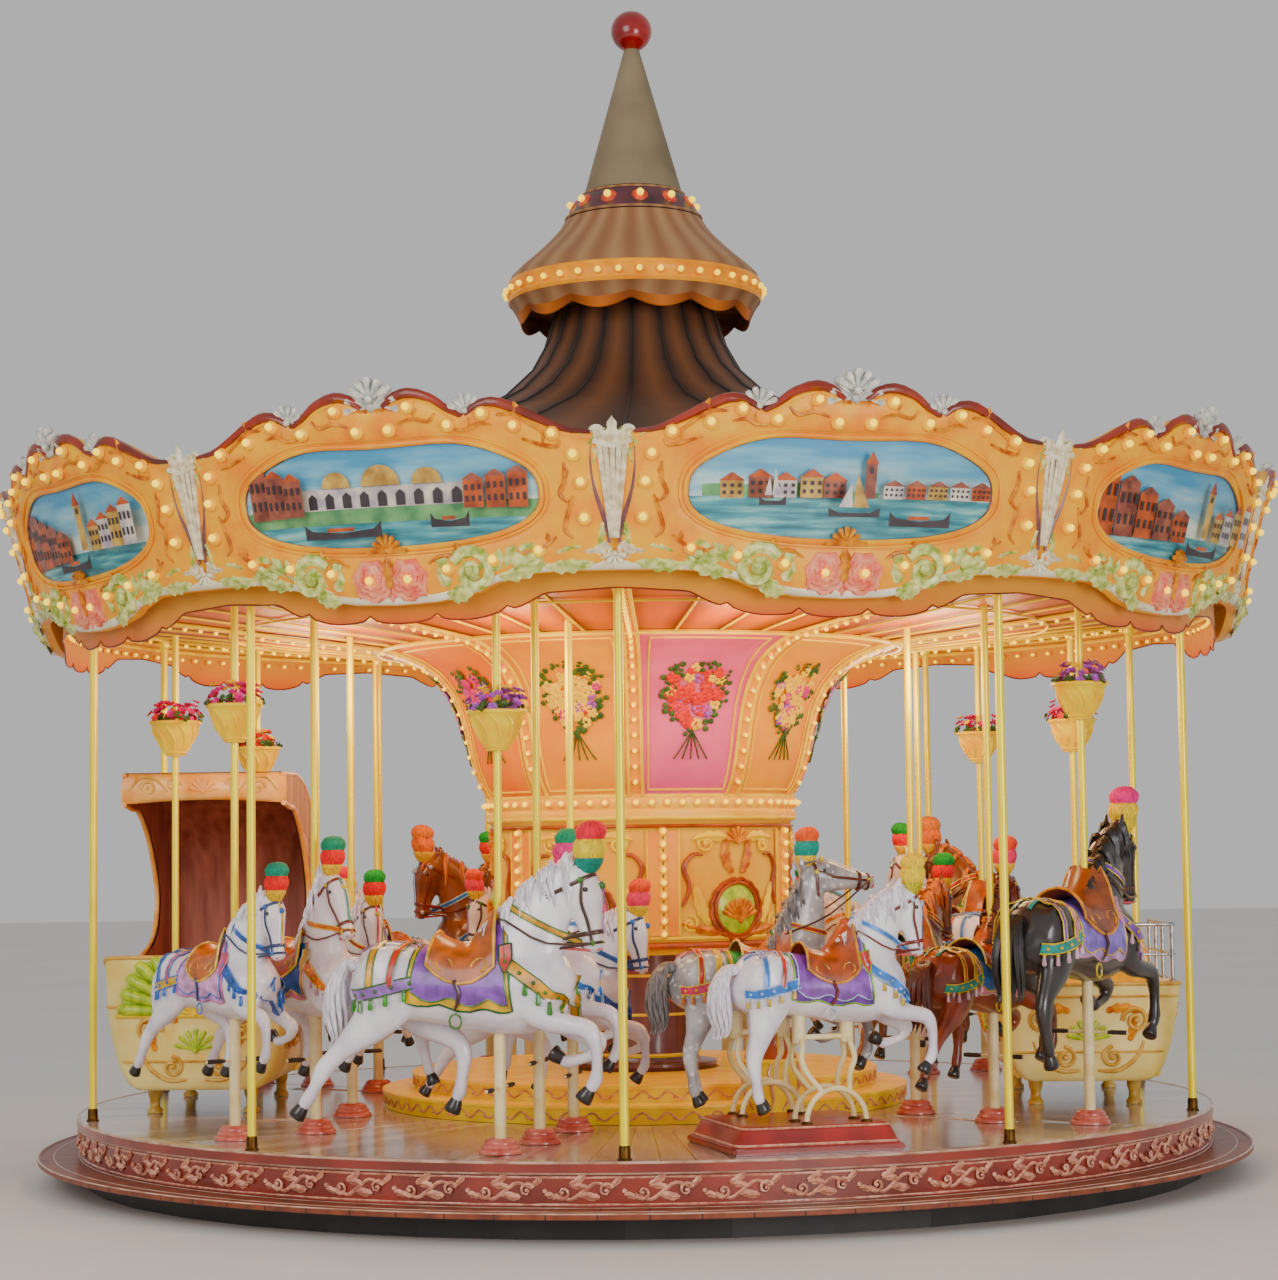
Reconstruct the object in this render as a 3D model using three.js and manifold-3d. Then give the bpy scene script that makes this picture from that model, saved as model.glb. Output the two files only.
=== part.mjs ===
// A fairground carousel with ten sections: a turntable with horses three abreast, two boats and a pair
// of standing horses under a round canopy with rounding boards, a cupola and a spire. Millimetres, +Z
// up, with the origin on the ground under the centre. Angles run from the front (-Y) towards +X.
import * as THREE from "three";
import { mergeVertices } from "three/addons/utils/BufferGeometryUtils.js";
import Module from "manifold-3d";

const wasm = await Module();
wasm.setup();

// Driving dimensions
const SECTIONS = 10;
const SECTION_DEG = 360 / SECTIONS;
const RING_SEGMENTS = 4 * SECTIONS;
const CORE_SEGMENTS = 2 * SECTIONS;
const SEAT_GAP = 0.3; // between pieces that rest on each other

// Plinth and bearing
const PLINTH = { radius: 3150, height: 100 };
const BEARING_RADIUS = 420;
const BEARING_NECK_RADIUS = 300;
const BEARING_FLANGE = 60;

// Deck, skirt and running board
const DECK_RADIUS = 3200;
const DECK_TOP = 360;
const DECK_THICKNESS = 60;
const SKIRT = { outer: 3180, inner: 3160 };
const BOARD_STEP = { outer: 3410, inner: 3130, top: 151, thickness: 30 };

// Horse rows: pole circles, and how finely a horse of each row is faceted
const FULL_SIDES = { body: 6, neck: 5, limb: 3 };
const SMALL_SIDES = { body: 5, neck: 4, limb: 3 };
const ROWS = [
  { name: "outer", radius: 2850, sides: FULL_SIDES },
  { name: "middle", radius: 2380, sides: SMALL_SIDES },
  { name: "inner", radius: 1780, sides: SMALL_SIDES },
];
const RIDE_HEIGHT = 70; // of a full-size horse's own frame above the deck, at mid travel
const PERCH = 350; // added to it in proportion to how much smaller a horse is
const STROKE = 100; // up and down from mid travel
const POLE_LOW_END = 110; // lowest point that a pole foot reaches
const POLE_TOP = DECK_TOP + 2960;
const UPPER_POLE_RADIUS = 20;
const LOWER_POLE_RADIUS = 30;
const POLE_SIDES = 6;
const HOLE_SIDES = 6;
const DECK_HOLE_RADIUS = LOWER_POLE_RADIUS + 0.7;
const CEILING_HOLE_RADIUS = 36;
const CUP = { bottom: 105, top: 64, height: 75, sides: 6 };
const FOOT_BAR = { height: 380, half_length: 225, radius: 9, sides: 4 };
const BASKET = { low: 78, high: 150, bottom: 1980, rim: 2180 };
const FLOWERS = { low: 165, high: 105, bottom: 2175, top: 2300 };

// Rim posts and the ring that they carry, with its wall behind the boards
const POST_CIRCLE = 3122;
const POST_RADIUS = 22;
const POST_SIDES = 6;
const RING_BEAM = { inner: 3060, bottom: DECK_TOP + 2762, top: DECK_TOP + 2808, wall: 26 };

// Rounding boards lie on a cone that leans outwards
const CONE = { radius: 3360, height: DECK_TOP + 2605, slope: 0.269 };
const BOARD_THICKNESS = 46;
const BOARD_TRIM_DEG = 0.004;
// Half of a board's outline: degrees from its middle, top edge and bottom edge above the deck
const BOARD_EDGE = [
  [0, 3651, 2587],
  [1.6, 3525, 2587],
  [3.6, 3555, 2597],
  [5.2, 3505, 2612],
  [7, 3424, 2627],
  [9, 3495, 2678],
  [11.5, 3444, 2713],
  [15.2, 3343, 2718],
  [18, 3373, 2718],
];
// Valance under the boards. Half of a section's lower edge: degrees from its middle, height above the
// deck. It has lobes in the middle and arches up over the posts.
const VALANCE = { radius: 3280, thickness: 12 };
const VALANCE_EDGE = [
  [0, 2506],
  [3, 2548],
  [6, 2516],
  [9, 2572],
  [12.5, 2630],
  [18, 2648],
];

// Ceiling, trumpet, drum and mast
const CEILING = { inner: 1500, outer: 3059.7, thickness: 30 };
const CEILING_HEIGHT = { inner: DECK_TOP + 2590, outer: DECK_TOP + 2762 };
const TRUMPET = [
  [880, 1735.3],
  [950, 1850],
  [1000, 2040],
  [1040, 2200],
  [1100, 2330],
  [1200, 2455],
  [1330, 2528],
  [1510, 2589.7],
];
const TRUMPET_THICKNESS = 30;
const DRUM = { radius: 850, bottom: 880, top: 1735, cornice: 45, cornice_bottom: 1605, cove: 60 };
const COLUMN = { radius: 300, foot: 420, foot_height: 230 };
const STEPS = [
  { radius: 1500, height: 100 },
  { radius: 1330, height: 190 },
];
const MAST_RADIUS = 140;
const MAST_TOP = 5090;
const MAST_SIDES = 6;

// Roof and cupola, above the deck
const ROOF = [
  [3463, 3218.3],
  [2000, 3610],
  [1000, 3930],
  [620, 4200],
  [470, 4560],
];
const ROOF_THICKNESS = 30;
const CUPOLA_RING = { radius: 745, bottom: 4620, top: 4740 };
const CUPOLA_SKIRT = { radius: 680, bottom: 4480 };
const LANTERN = { low: 400, high: 290, bottom: 5110, top: 5270 };
const SPIRE = { tip: 42, top: 6147 };
const BALL = { radius: 122, sunk: 20, columns: 10, rows: 6, seat_sides: 8 };

// Boats: both have the same hull. Widths and heights of its side, above the deck
const BOAT = { circle: 2450, half_length: 740, floor: 170, rear_rim: 675, front_rim: 880, end_wall: 40 };
const BOAT_SIDE = [
  { z: 140, outside: 360, inside: 320 },
  { z: 340, outside: 440, inside: 395 },
  { z: 580, outside: 500, inside: 425 },
];
const BOAT_RIM = { outside: 520, inside: 425 };
const BOAT_FOOT = { size: 90, forward: 520, outward: 270 };
const BOAT_BENCH = { back: -700, front: -300, top: 430 };
const BOAT_POLE = { forward: 675, outward: 125, radius: 20 };
const HOOD = { half_width: 460, wall: 30 };
const RAIL = { height: 1000, middle: 825, radius: 12, inset: 30 };

// Two horses without poles on one base
const STAND = { angle: 17.5, circle: 2655, height: 130 };
const STAND_FOOT = { length: 860, width: 790 };
const STAND_TOP = { length: 740, width: 700 };
const STAND_SIZE = 0.8;
const TRESTLE = { top: 560, peg: 34, peg_length: 60, tube: 14 };
const HOOP = { middle: -90, reach: 155, shoulder: 75, half_width: 72, bends: 4 };
const TRESTLE_PLACES = [-250, 0];
const PEG_DEPTH = 120; // of the pegs up into the horse, above the trestle
const TUB = { angle: 25, circle: 1665 };
const STAND_HORSES = [
  { row: 0, angle: 21.7, pose: "tucked", paint: "white_horse" },
  { row: 1, angle: 18.6, pose: "raised", paint: "grey_horse" },
];

// Each section's three jumpers, from the outer row inwards. Turn: degrees on from the section's middle.
const JUMPERS = [
  {
    section: 1,
    turns: [1.1, -2.5, 2.7],
    sizes: [1, 0.82, 0.78],
    lifts: [90, -40, 20],
    strides: ["short", "long", "long"],
    paints: ["black_horse", "brown_horse", "brown_horse"],
  },
  {
    section: 3,
    turns: [5.8, 8, 10],
    sizes: [1, 0.82, 0.78],
    lifts: [-20, 60, -60],
    strides: ["long", "long", "short"],
    paints: ["brown_horse", "white_horse", "white_horse"],
  },
  {
    section: 4,
    turns: [5.8, 6.7, 9],
    sizes: [1, 0.82, 0.78],
    lifts: [70, -60, 30],
    strides: ["long", "long", "short"],
    paints: ["white_horse", "white_horse", "black_horse"],
  },
  {
    section: 5,
    turns: [5, 5, 8],
    sizes: [1, 0.82, 0.78],
    lifts: [-30, 40, -50],
    strides: ["short", "long", "short"],
    paints: ["brown_horse", "brown_horse", "white_horse"],
  },
  {
    section: 6,
    turns: [6, 6, 12],
    sizes: [1, 0.82, 0.78],
    lifts: [-70, 50, -20],
    strides: ["long", "short", "short"],
    paints: ["white_horse", "brown_horse", "white_horse"],
  },
  {
    section: 8,
    turns: [9.3, 10.4, -8],
    sizes: [0.78, 0.82, 0.78],
    lifts: [18, 0, -30],
    strides: ["long", "long", "short"],
    paints: ["white_horse", "white_horse", "white_horse"],
  },
  {
    section: 9,
    turns: [5.8, 7.2, 7.9],
    sizes: [1, 0.82, 0.78],
    lifts: [-70, 20, -90],
    strides: ["long", "short", "long"],
    paints: ["white_horse", "white_horse", "white_horse"],
  },
];

// A full-size horse in its own frame: x forward from the pole, y to its left, z up from its own zero.
// Each station is [x, y, z, half height across the limb, half width].
const TORSO = [
  [-715, 0, 800, 55, 60],
  [-580, 0, 808, 188, 162],
  [-150, 0, 785, 195, 172],
  [130, 0, 785, 218, 168],
  [375, 0, 785, 62, 60],
];
// Necks, heads and plumes that a horse can have
const POSES = {
  tucked: {
    neck: [
      [110, 0, 890, 225, 122],
      [200, 0, 1110, 150, 86],
      [345, 0, 1300, 74, 54],
    ],
    head: [
      [350, 0, 1338, 60, 50],
      [418, 0, 1215, 98, 66],
      [468, 0, 962, 48, 46],
    ],
    plume: [
      [350, 0, 1320, 30, 30],
      [345, 0, 1480, 80, 74],
      [325, 0, 1600, 50, 48],
    ],
  },
  upright: {
    neck: [
      [70, 0, 890, 215, 120],
      [120, 0, 1130, 145, 85],
      [135, 0, 1370, 78, 54],
    ],
    head: [
      [110, 0, 1410, 66, 52],
      [215, 0, 1300, 95, 64],
      [325, 0, 1080, 48, 46],
    ],
    plume: [
      [100, 0, 1400, 30, 30],
      [90, 0, 1550, 80, 74],
      [70, 0, 1660, 50, 48],
    ],
  },
  raised: {
    neck: [
      [70, 0, 890, 215, 120],
      [130, 0, 1150, 145, 85],
      [190, 0, 1400, 80, 56],
    ],
    head: [
      [160, 0, 1420, 70, 54],
      [300, 0, 1430, 95, 62],
      [590, 0, 1400, 52, 46],
    ],
    plume: [
      [150, 0, 1440, 30, 30],
      [120, 0, 1580, 80, 74],
      [90, 0, 1690, 50, 48],
    ],
  },
};
const FORELEGS = [
  [
    [240, -95, 720, 110, 62],
    [500, -115, 590, 42, 36],
    [515, -118, 390, 27, 25],
    [455, -120, 290, 44, 38],
  ],
  [
    [240, 95, 720, 110, 62],
    [465, 115, 530, 42, 36],
    [340, 118, 435, 27, 25],
    [258, 120, 425, 44, 36],
  ],
];
const FAR_HIND_LEG = [
  [-500, 95, 790, 150, 75],
  [-330, 112, 590, 82, 54],
  [-218, 118, 450, 40, 34],
  [-275, 120, 205, 44, 40],
];
const HIND_LEGS = {
  long: [
    [
      [-520, -95, 790, 150, 75],
      [-660, -112, 580, 82, 54],
      [-850, -118, 400, 38, 34],
      [-990, -120, 180, 44, 40],
    ],
    FAR_HIND_LEG,
  ],
  short: [
    [
      [-520, -95, 790, 150, 75],
      [-620, -112, 590, 82, 54],
      [-690, -118, 420, 38, 34],
      [-640, -120, 200, 44, 40],
    ],
    FAR_HIND_LEG,
  ],
  standing: [
    [
      [-530, -95, 790, 150, 75],
      [-580, -105, 560, 82, 54],
      [-640, -105, 330, 36, 30],
      [-610, -105, 70, 46, 42],
    ],
    [
      [-500, 95, 790, 150, 75],
      [-510, 105, 560, 82, 54],
      [-560, 105, 330, 36, 30],
      [-520, 105, 70, 46, 42],
    ],
  ],
};
const TAIL = [
  [-640, 0, 870, 46, 40],
  [-800, 0, 760, 66, 42],
  [-785, 0, 480, 26, 22],
];

const PAINT = {
  frame: { color: 0x2b2826, roughness: 0.6, metalness: 0.4 },
  deck: { color: 0x9a6a45, roughness: 0.35, metalness: 0 },
  skirt: { color: 0x9c2f26, roughness: 0.4, metalness: 0 },
  step: { color: 0x6e4633, roughness: 0.4, metalness: 0 },
  brass: { color: 0xd9b13a, roughness: 0.25, metalness: 0.9 },
  cream: { color: 0xeed9a4, roughness: 0.45, metalness: 0 },
  gold_paint: { color: 0xf0b95c, roughness: 0.45, metalness: 0.1 },
  orange: { color: 0xe8893a, roughness: 0.5, metalness: 0 },
  valance: { color: 0xd59a2c, roughness: 0.7, metalness: 0 },
  roof: { color: 0x7a5238, roughness: 0.7, metalness: 0 },
  spire: { color: 0x8d7a66, roughness: 0.6, metalness: 0 },
  red_ball: { color: 0xa8242a, roughness: 0.3, metalness: 0 },
  white_horse: { color: 0xf1eeee, roughness: 0.35, metalness: 0 },
  grey_horse: { color: 0xa9a7a5, roughness: 0.35, metalness: 0 },
  brown_horse: { color: 0x6f3f28, roughness: 0.35, metalness: 0 },
  black_horse: { color: 0x25221f, roughness: 0.35, metalness: 0 },
  wood: { color: 0x7b4230, roughness: 0.45, metalness: 0 },
  red_paint: { color: 0xa03034, roughness: 0.4, metalness: 0 },
  steel: { color: 0xbfc2c4, roughness: 0.3, metalness: 0.9 },
};

const carousel = new THREE.Group();
const rad = THREE.MathUtils.degToRad;

// Solids and geometry

function solidFrom(geometry) {
  const bare = geometry.index ? geometry.toNonIndexed() : geometry.clone();
  bare.deleteAttribute("normal");
  bare.deleteAttribute("uv");
  const merged = mergeVertices(bare, 1e-3);
  const position = merged.attributes.position.array;
  const corner = (i) => new THREE.Vector3().fromArray(position, 3 * i);
  let volume = 0;
  const triangles = [];
  for (let i = 0; i < merged.index.count; i += 3) {
    const [a, b, c] = merged.index.array.slice(i, i + 3);
    if (a === b || b === c || c === a) continue;
    volume += corner(a).dot(corner(b).cross(corner(c)));
    triangles.push(a, b, c);
  }
  if (volume < 0) triangles.reverse();
  return new wasm.Manifold(
    new wasm.Mesh({
      numProp: 3,
      vertProperties: new Float32Array(position),
      triVerts: new Uint32Array(triangles),
    }),
  );
}

function geometryFrom(solid) {
  const mesh = solid.getMesh();
  const positions = new Float32Array(mesh.numVert * 3);
  for (let i = 0; i < mesh.numVert; i++) {
    positions.set(mesh.vertProperties.subarray(i * mesh.numProp, i * mesh.numProp + 3), i * 3);
  }
  const geometry = new THREE.BufferGeometry();
  geometry.setAttribute("position", new THREE.BufferAttribute(positions, 3));
  geometry.setIndex(new THREE.BufferAttribute(mesh.triVerts, 1));
  geometry.computeVertexNormals();
  return geometry;
}

function union(solids) {
  return solids.reduce((whole, next) => whole.add(next));
}

function addPiece(name, solid, paint, group = carousel) {
  const mesh = new THREE.Mesh(geometryFrom(solid), new THREE.MeshStandardMaterial(PAINT[paint]));
  mesh.name = name;
  group.add(mesh);
  return mesh;
}

// A group whose front (-Y) looks along the given angle, moved out to a circle.
function placeAt(degrees, radius = 0, height = 0) {
  const turn = new THREE.Group();
  turn.rotation.z = rad(degrees);
  const seat = new THREE.Group();
  seat.position.set(0, -radius, height);
  turn.add(seat);
  carousel.add(turn);
  return seat;
}

// Solid of revolution about Z. The profile is [radius, z] points that close on themselves.
function turned(profile, segments) {
  const points = profile.map(([r, z]) => new THREE.Vector2(r, z));
  points.push(points[0].clone());
  return solidFrom(new THREE.LatheGeometry(points, segments).rotateX(Math.PI / 2));
}

function ring(inner, outer, bottom, top, segments) {
  return turned([[inner, bottom], [outer, bottom], [outer, top], [inner, top]], segments);
}

// Solid round post; the profile starts and ends on the axis.
function post(radiusLow, radiusHigh, bottom, top, sides, x = 0, y = 0) {
  const geometry = new THREE.CylinderGeometry(radiusHigh, radiusLow, top - bottom, sides);
  geometry.rotateX(Math.PI / 2).translate(x, y, (bottom + top) / 2);
  return solidFrom(geometry);
}

// A post on a circle about the centre, turned with its place.
function postOnCircle([degrees, radius], radiusLow, radiusHigh, bottom, top, sides) {
  const geometry = new THREE.CylinderGeometry(radiusHigh, radiusLow, top - bottom, sides);
  geometry.rotateX(Math.PI / 2).translate(0, -radius, (bottom + top) / 2).rotateZ(rad(degrees));
  return solidFrom(geometry);
}

function box(sizeX, sizeY, sizeZ, x, y, z) {
  return solidFrom(new THREE.BoxGeometry(sizeX, sizeY, sizeZ).translate(x, y, z));
}

// A closed skin over rings of equal point counts.
function skin(rings) {
  const count = rings[0].length;
  const positions = [];
  const push = (...points) => points.forEach((p) => positions.push(p.x, p.y, p.z));
  for (let i = 0; i + 1 < rings.length; i++) {
    for (let j = 0; j < count; j++) {
      const k = (j + 1) % count;
      push(rings[i][j], rings[i][k], rings[i + 1][k]);
      push(rings[i][j], rings[i + 1][k], rings[i + 1][j]);
    }
  }
  const first = rings[0];
  const last = rings[rings.length - 1];
  for (let j = 1; j + 1 < count; j++) {
    push(first[0], first[j + 1], first[j]);
    push(last[0], last[j], last[j + 1]);
  }
  const geometry = new THREE.BufferGeometry();
  geometry.setAttribute("position", new THREE.Float32BufferAttribute(positions, 3));
  return solidFrom(geometry);
}

// A limb that tapers through stations [x, y, z, half height, half width] in a vertical plane along X.
function limb(stations, sides, scale = 1) {
  const centres = stations.map(([x, y, z]) => new THREE.Vector3(x, y, z).multiplyScalar(scale));
  const side = new THREE.Vector3(0, 1, 0);
  const rings = stations.map(([, , , high, wide], i) => {
    const before = centres[Math.max(i - 1, 0)];
    const after = centres[Math.min(i + 1, centres.length - 1)];
    const along = after.clone().sub(before).setY(0).normalize();
    const across = side.clone().cross(along);
    return Array.from({ length: sides }, (_, j) => {
      const angle = (2 * Math.PI * (j + 0.5)) / sides;
      return centres[i]
        .clone()
        .addScaledVector(across, Math.cos(angle) * high * scale)
        .addScaledVector(side, Math.sin(angle) * wide * scale);
    });
  });
  return skin(rings);
}

// A round bar between two points.
function bar(from, to, radius, sides) {
  const start = new THREE.Vector3(...from);
  const end = new THREE.Vector3(...to);
  const geometry = new THREE.CylinderGeometry(radius, radius, start.distanceTo(end), sides);
  const turn = new THREE.Quaternion().setFromUnitVectors(
    new THREE.Vector3(0, 1, 0),
    end.clone().sub(start).normalize(),
  );
  geometry.applyQuaternion(turn).translate(...start.add(end).multiplyScalar(0.5));
  return solidFrom(geometry);
}

function onCircle(degrees, radius) {
  return [radius * Math.sin(rad(degrees)), -radius * Math.cos(rad(degrees))];
}

// Plinth and bearing

function buildPlinth() {
  const plinth = post(PLINTH.radius, PLINTH.radius, 0, PLINTH.height, RING_SEGMENTS);
  addPiece("base_plinth", plinth, "frame");
}

function buildBearing() {
  const bottom = PLINTH.height + SEAT_GAP;
  const top = DECK_TOP - DECK_THICKNESS - SEAT_GAP;
  const flange = post(BEARING_RADIUS, BEARING_RADIUS, bottom, bottom + BEARING_FLANGE, CORE_SEGMENTS);
  const neck = post(BEARING_NECK_RADIUS, BEARING_NECK_RADIUS, bottom, top, CORE_SEGMENTS);
  addPiece("center_bearing", flange.add(neck), "frame");
}

// Deck and its rim

function polePlaces() {
  return JUMPERS.flatMap(({ section, turns }) =>
    ROWS.map(({ radius }, row) => [sectionAngle(section) + turns[row], radius]),
  );
}

function sectionAngle(section) {
  return (section + 0.5) * SECTION_DEG;
}

function buildDeck() {
  const bottom = DECK_TOP - DECK_THICKNESS;
  let deck = post(DECK_RADIUS, DECK_RADIUS, bottom, DECK_TOP, RING_SEGMENTS);
  const { bottom: low, top: high, height, sides } = CUP;
  for (const place of polePlaces()) {
    deck = deck.add(postOnCircle(place, low, high, DECK_TOP - 5, DECK_TOP + height, sides));
  }
  const hole = DECK_HOLE_RADIUS;
  for (const place of polePlaces()) {
    deck = deck.subtract(postOnCircle(place, hole, hole, bottom - 10, DECK_TOP + 100, HOLE_SIDES));
  }
  addPiece("deck", deck, "deck");
}

function buildDeckRim() {
  const skirtTop = DECK_TOP - DECK_THICKNESS - SEAT_GAP;
  const skirt = ring(SKIRT.inner, SKIRT.outer, BOARD_STEP.top + SEAT_GAP, skirtTop, RING_SEGMENTS);
  addPiece("deck_skirt", skirt, "skirt");
  const { inner, outer, top, thickness } = BOARD_STEP;
  addPiece("running_board", ring(inner, outer, top - thickness, top, RING_SEGMENTS), "step");
}

// Rim posts, joined by the ring that carries the boards and the roof edge

function coneRadius(z) {
  return CONE.radius + CONE.slope * (z - CONE.height);
}

function buildRimPosts() {
  const { inner, bottom, top, wall } = RING_BEAM;
  const behind = (z) => coneRadius(z) - BOARD_THICKNESS - SEAT_GAP;
  const wallTop = DECK_TOP + ROOF[0][1] - ROOF_THICKNESS - SEAT_GAP;
  const parts = [
    turned(
      [
        [inner, bottom],
        [behind(bottom), bottom],
        [behind(wallTop), wallTop],
        [behind(wallTop) - wall, wallTop],
        [behind(top) - wall, top],
        [inner, top],
      ],
      RING_SEGMENTS,
    ),
  ];
  for (let i = 0; i < SECTIONS; i++) {
    const [x, y] = onCircle(i * SECTION_DEG, POST_CIRCLE);
    parts.push(post(POST_RADIUS, POST_RADIUS, DECK_TOP + SEAT_GAP, bottom + 5, POST_SIDES, x, y));
  }
  addPiece("rim_posts", union(parts), "brass");
}

// Rounding boards

// A curved plate on the cone between a low and a high edge, each given as [degrees, z] rows.
function plateOnCone(rows, frontOffset, backOffset) {
  const corner = (degrees, z, offset) => {
    const [x, y] = onCircle(degrees, coneRadius(z) + offset);
    return new THREE.Vector3(x, y, z);
  };
  const rings = rows.map(([degrees, high, low]) => [
    corner(degrees, low, frontOffset),
    corner(degrees, high, frontOffset),
    corner(degrees, high, backOffset),
    corner(degrees, low, backOffset),
  ]);
  return skin(rings);
}

function mirroredRows(half) {
  const left = half.slice(1).map(([degrees, high, low]) => [-degrees, high, low]);
  return [...left.reverse(), ...half].map(([degrees, high, low]) => [
    degrees,
    DECK_TOP + high,
    DECK_TOP + low,
  ]);
}

function buildRoundingBoards() {
  const half = SECTION_DEG / 2 - BOARD_TRIM_DEG;
  const rows = mirroredRows(BOARD_EDGE).map(([degrees, high, low]) => [
    THREE.MathUtils.clamp(degrees, -half, half),
    high,
    low,
  ]);
  const board = plateOnCone(rows, 0, -BOARD_THICKNESS);
  for (let i = 0; i < SECTIONS; i++) {
    addPiece(`rounding_board_${i + 1}`, board, "gold_paint", placeAt(sectionAngle(i)));
  }
}

function buildValance() {
  const { radius, thickness } = VALANCE;
  const top = RING_BEAM.bottom - SEAT_GAP;
  const section = mirroredRows(VALANCE_EDGE.map(([degrees, low]) => [degrees, top - DECK_TOP, low]));
  const rings = [];
  for (let i = 0; i < SECTIONS; i++) {
    for (const [degrees, high, low] of section.slice(1)) {
      const inner = onCircle(sectionAngle(i) + degrees, radius - thickness);
      const outer = onCircle(sectionAngle(i) + degrees, radius);
      rings.push([
        new THREE.Vector3(...outer, low),
        new THREE.Vector3(...outer, high),
        new THREE.Vector3(...inner, high),
        new THREE.Vector3(...inner, low),
      ]);
    }
  }
  addPiece("valance", closedLoop(rings), "valance");
}

// A closed skin over rings of equal point counts that run round to the first one again.
function closedLoop(rings) {
  const positions = [];
  rings.forEach((ring, i) => {
    const next = rings[(i + 1) % rings.length];
    ring.forEach((a, j) => {
      const k = (j + 1) % ring.length;
      [a, ring[k], next[k], a, next[k], next[j]].forEach((p) => positions.push(p.x, p.y, p.z));
    });
  });
  const geometry = new THREE.BufferGeometry();
  geometry.setAttribute("position", new THREE.Float32BufferAttribute(positions, 3));
  return solidFrom(geometry);
}

// Ceiling, trumpet, drum, steps and mast

function buildCeiling() {
  const { inner, outer, thickness } = CEILING;
  const low = CEILING_HEIGHT;
  const profile = [
    [inner, low.inner],
    [outer, low.outer],
    [outer, low.outer + thickness],
    [inner, low.inner + thickness],
  ];
  let ceiling = turned(profile, RING_SEGMENTS);
  const hole = CEILING_HOLE_RADIUS;
  const below = low.inner - thickness;
  const above = low.outer + 2 * thickness;
  for (const place of polePlaces()) {
    ceiling = ceiling.subtract(postOnCircle(place, hole, hole, below, above, HOLE_SIDES));
  }
  addPiece("ceiling", ceiling, "orange");
}

function shell(profile, thickness, segments, lift) {
  const outer = profile.map(([r, z]) => [r, z + lift]);
  const inner = profile.map(([r, z]) => [r - thickness, z + lift]).reverse();
  return turned([...outer, ...inner], segments);
}

function buildTrumpet() {
  addPiece("trumpet", shell(TRUMPET, TRUMPET_THICKNESS, CORE_SEGMENTS, DECK_TOP), "orange");
}

function buildDrum() {
  const { radius, cornice, cornice_bottom, cove } = DRUM;
  const hole = MAST_RADIUS + 10;
  const bottom = DECK_TOP + DRUM.bottom;
  const top = DECK_TOP + DRUM.top;
  const profile = [
    [hole, bottom],
    [radius, bottom],
    [radius, DECK_TOP + cornice_bottom - cove],
    [radius + cornice, DECK_TOP + cornice_bottom],
    [radius + cornice, top],
    [hole, top],
  ];
  addPiece("center_drum", turned(profile, CORE_SEGMENTS), "gold_paint");
  const foot = DECK_TOP + SEAT_GAP;
  const column = [
    [hole, foot],
    [COLUMN.foot, foot],
    [COLUMN.foot, foot + COLUMN.foot_height],
    [COLUMN.radius, foot + COLUMN.foot_height],
    [COLUMN.radius, bottom - SEAT_GAP],
    [hole, bottom - SEAT_GAP],
  ];
  addPiece("center_column", turned(column, CORE_SEGMENTS), "wood");
  const mast = post(MAST_RADIUS, MAST_RADIUS, foot, DECK_TOP + MAST_TOP, MAST_SIDES);
  addPiece("center_mast", mast, "steel");
}

function buildSteps() {
  const inner = COLUMN.foot + 6;
  const bottom = DECK_TOP + SEAT_GAP;
  const profile = [[inner, bottom]];
  for (const [i, { radius, height }] of STEPS.entries()) {
    profile.push([radius, i ? DECK_TOP + STEPS[i - 1].height : bottom], [radius, DECK_TOP + height]);
  }
  profile.push([inner, DECK_TOP + STEPS[1].height]);
  addPiece("drum_steps", turned(profile, CORE_SEGMENTS), "cream");
}

// A small carved tub on the deck beside the steps.
function buildTub() {
  const outside = [
    [1, SEAT_GAP],
    [95, SEAT_GAP],
    [110, 30],
    [90, 60],
    [148, 190],
    [150, 300],
    [138, 330],
    [118, 500],
  ];
  const inside = [
    [96, 500],
    [112, 330],
    [110, 200],
    [1, 160],
  ];
  const seat = placeAt(TUB.angle, TUB.circle, DECK_TOP);
  addPiece("carved_tub", turned([...outside, ...inside], SECTIONS), "cream", seat);
}

// Roof, cupola and spire

function buildRoof() {
  const over = ROOF.map(([r, z]) => [r, z + DECK_TOP]);
  const under = ROOF.map(([r, z]) => [r, z + DECK_TOP - ROOF_THICKNESS]).reverse();
  under[0] = [ROOF.at(-1)[0] - ROOF_THICKNESS, ROOF.at(-1)[1] + DECK_TOP];
  under[1] = [ROOF.at(-2)[0] - ROOF_THICKNESS, ROOF.at(-2)[1] + DECK_TOP - 10];
  addPiece("canopy_roof", turned([...over, ...under], CORE_SEGMENTS), "roof");
}

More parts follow.
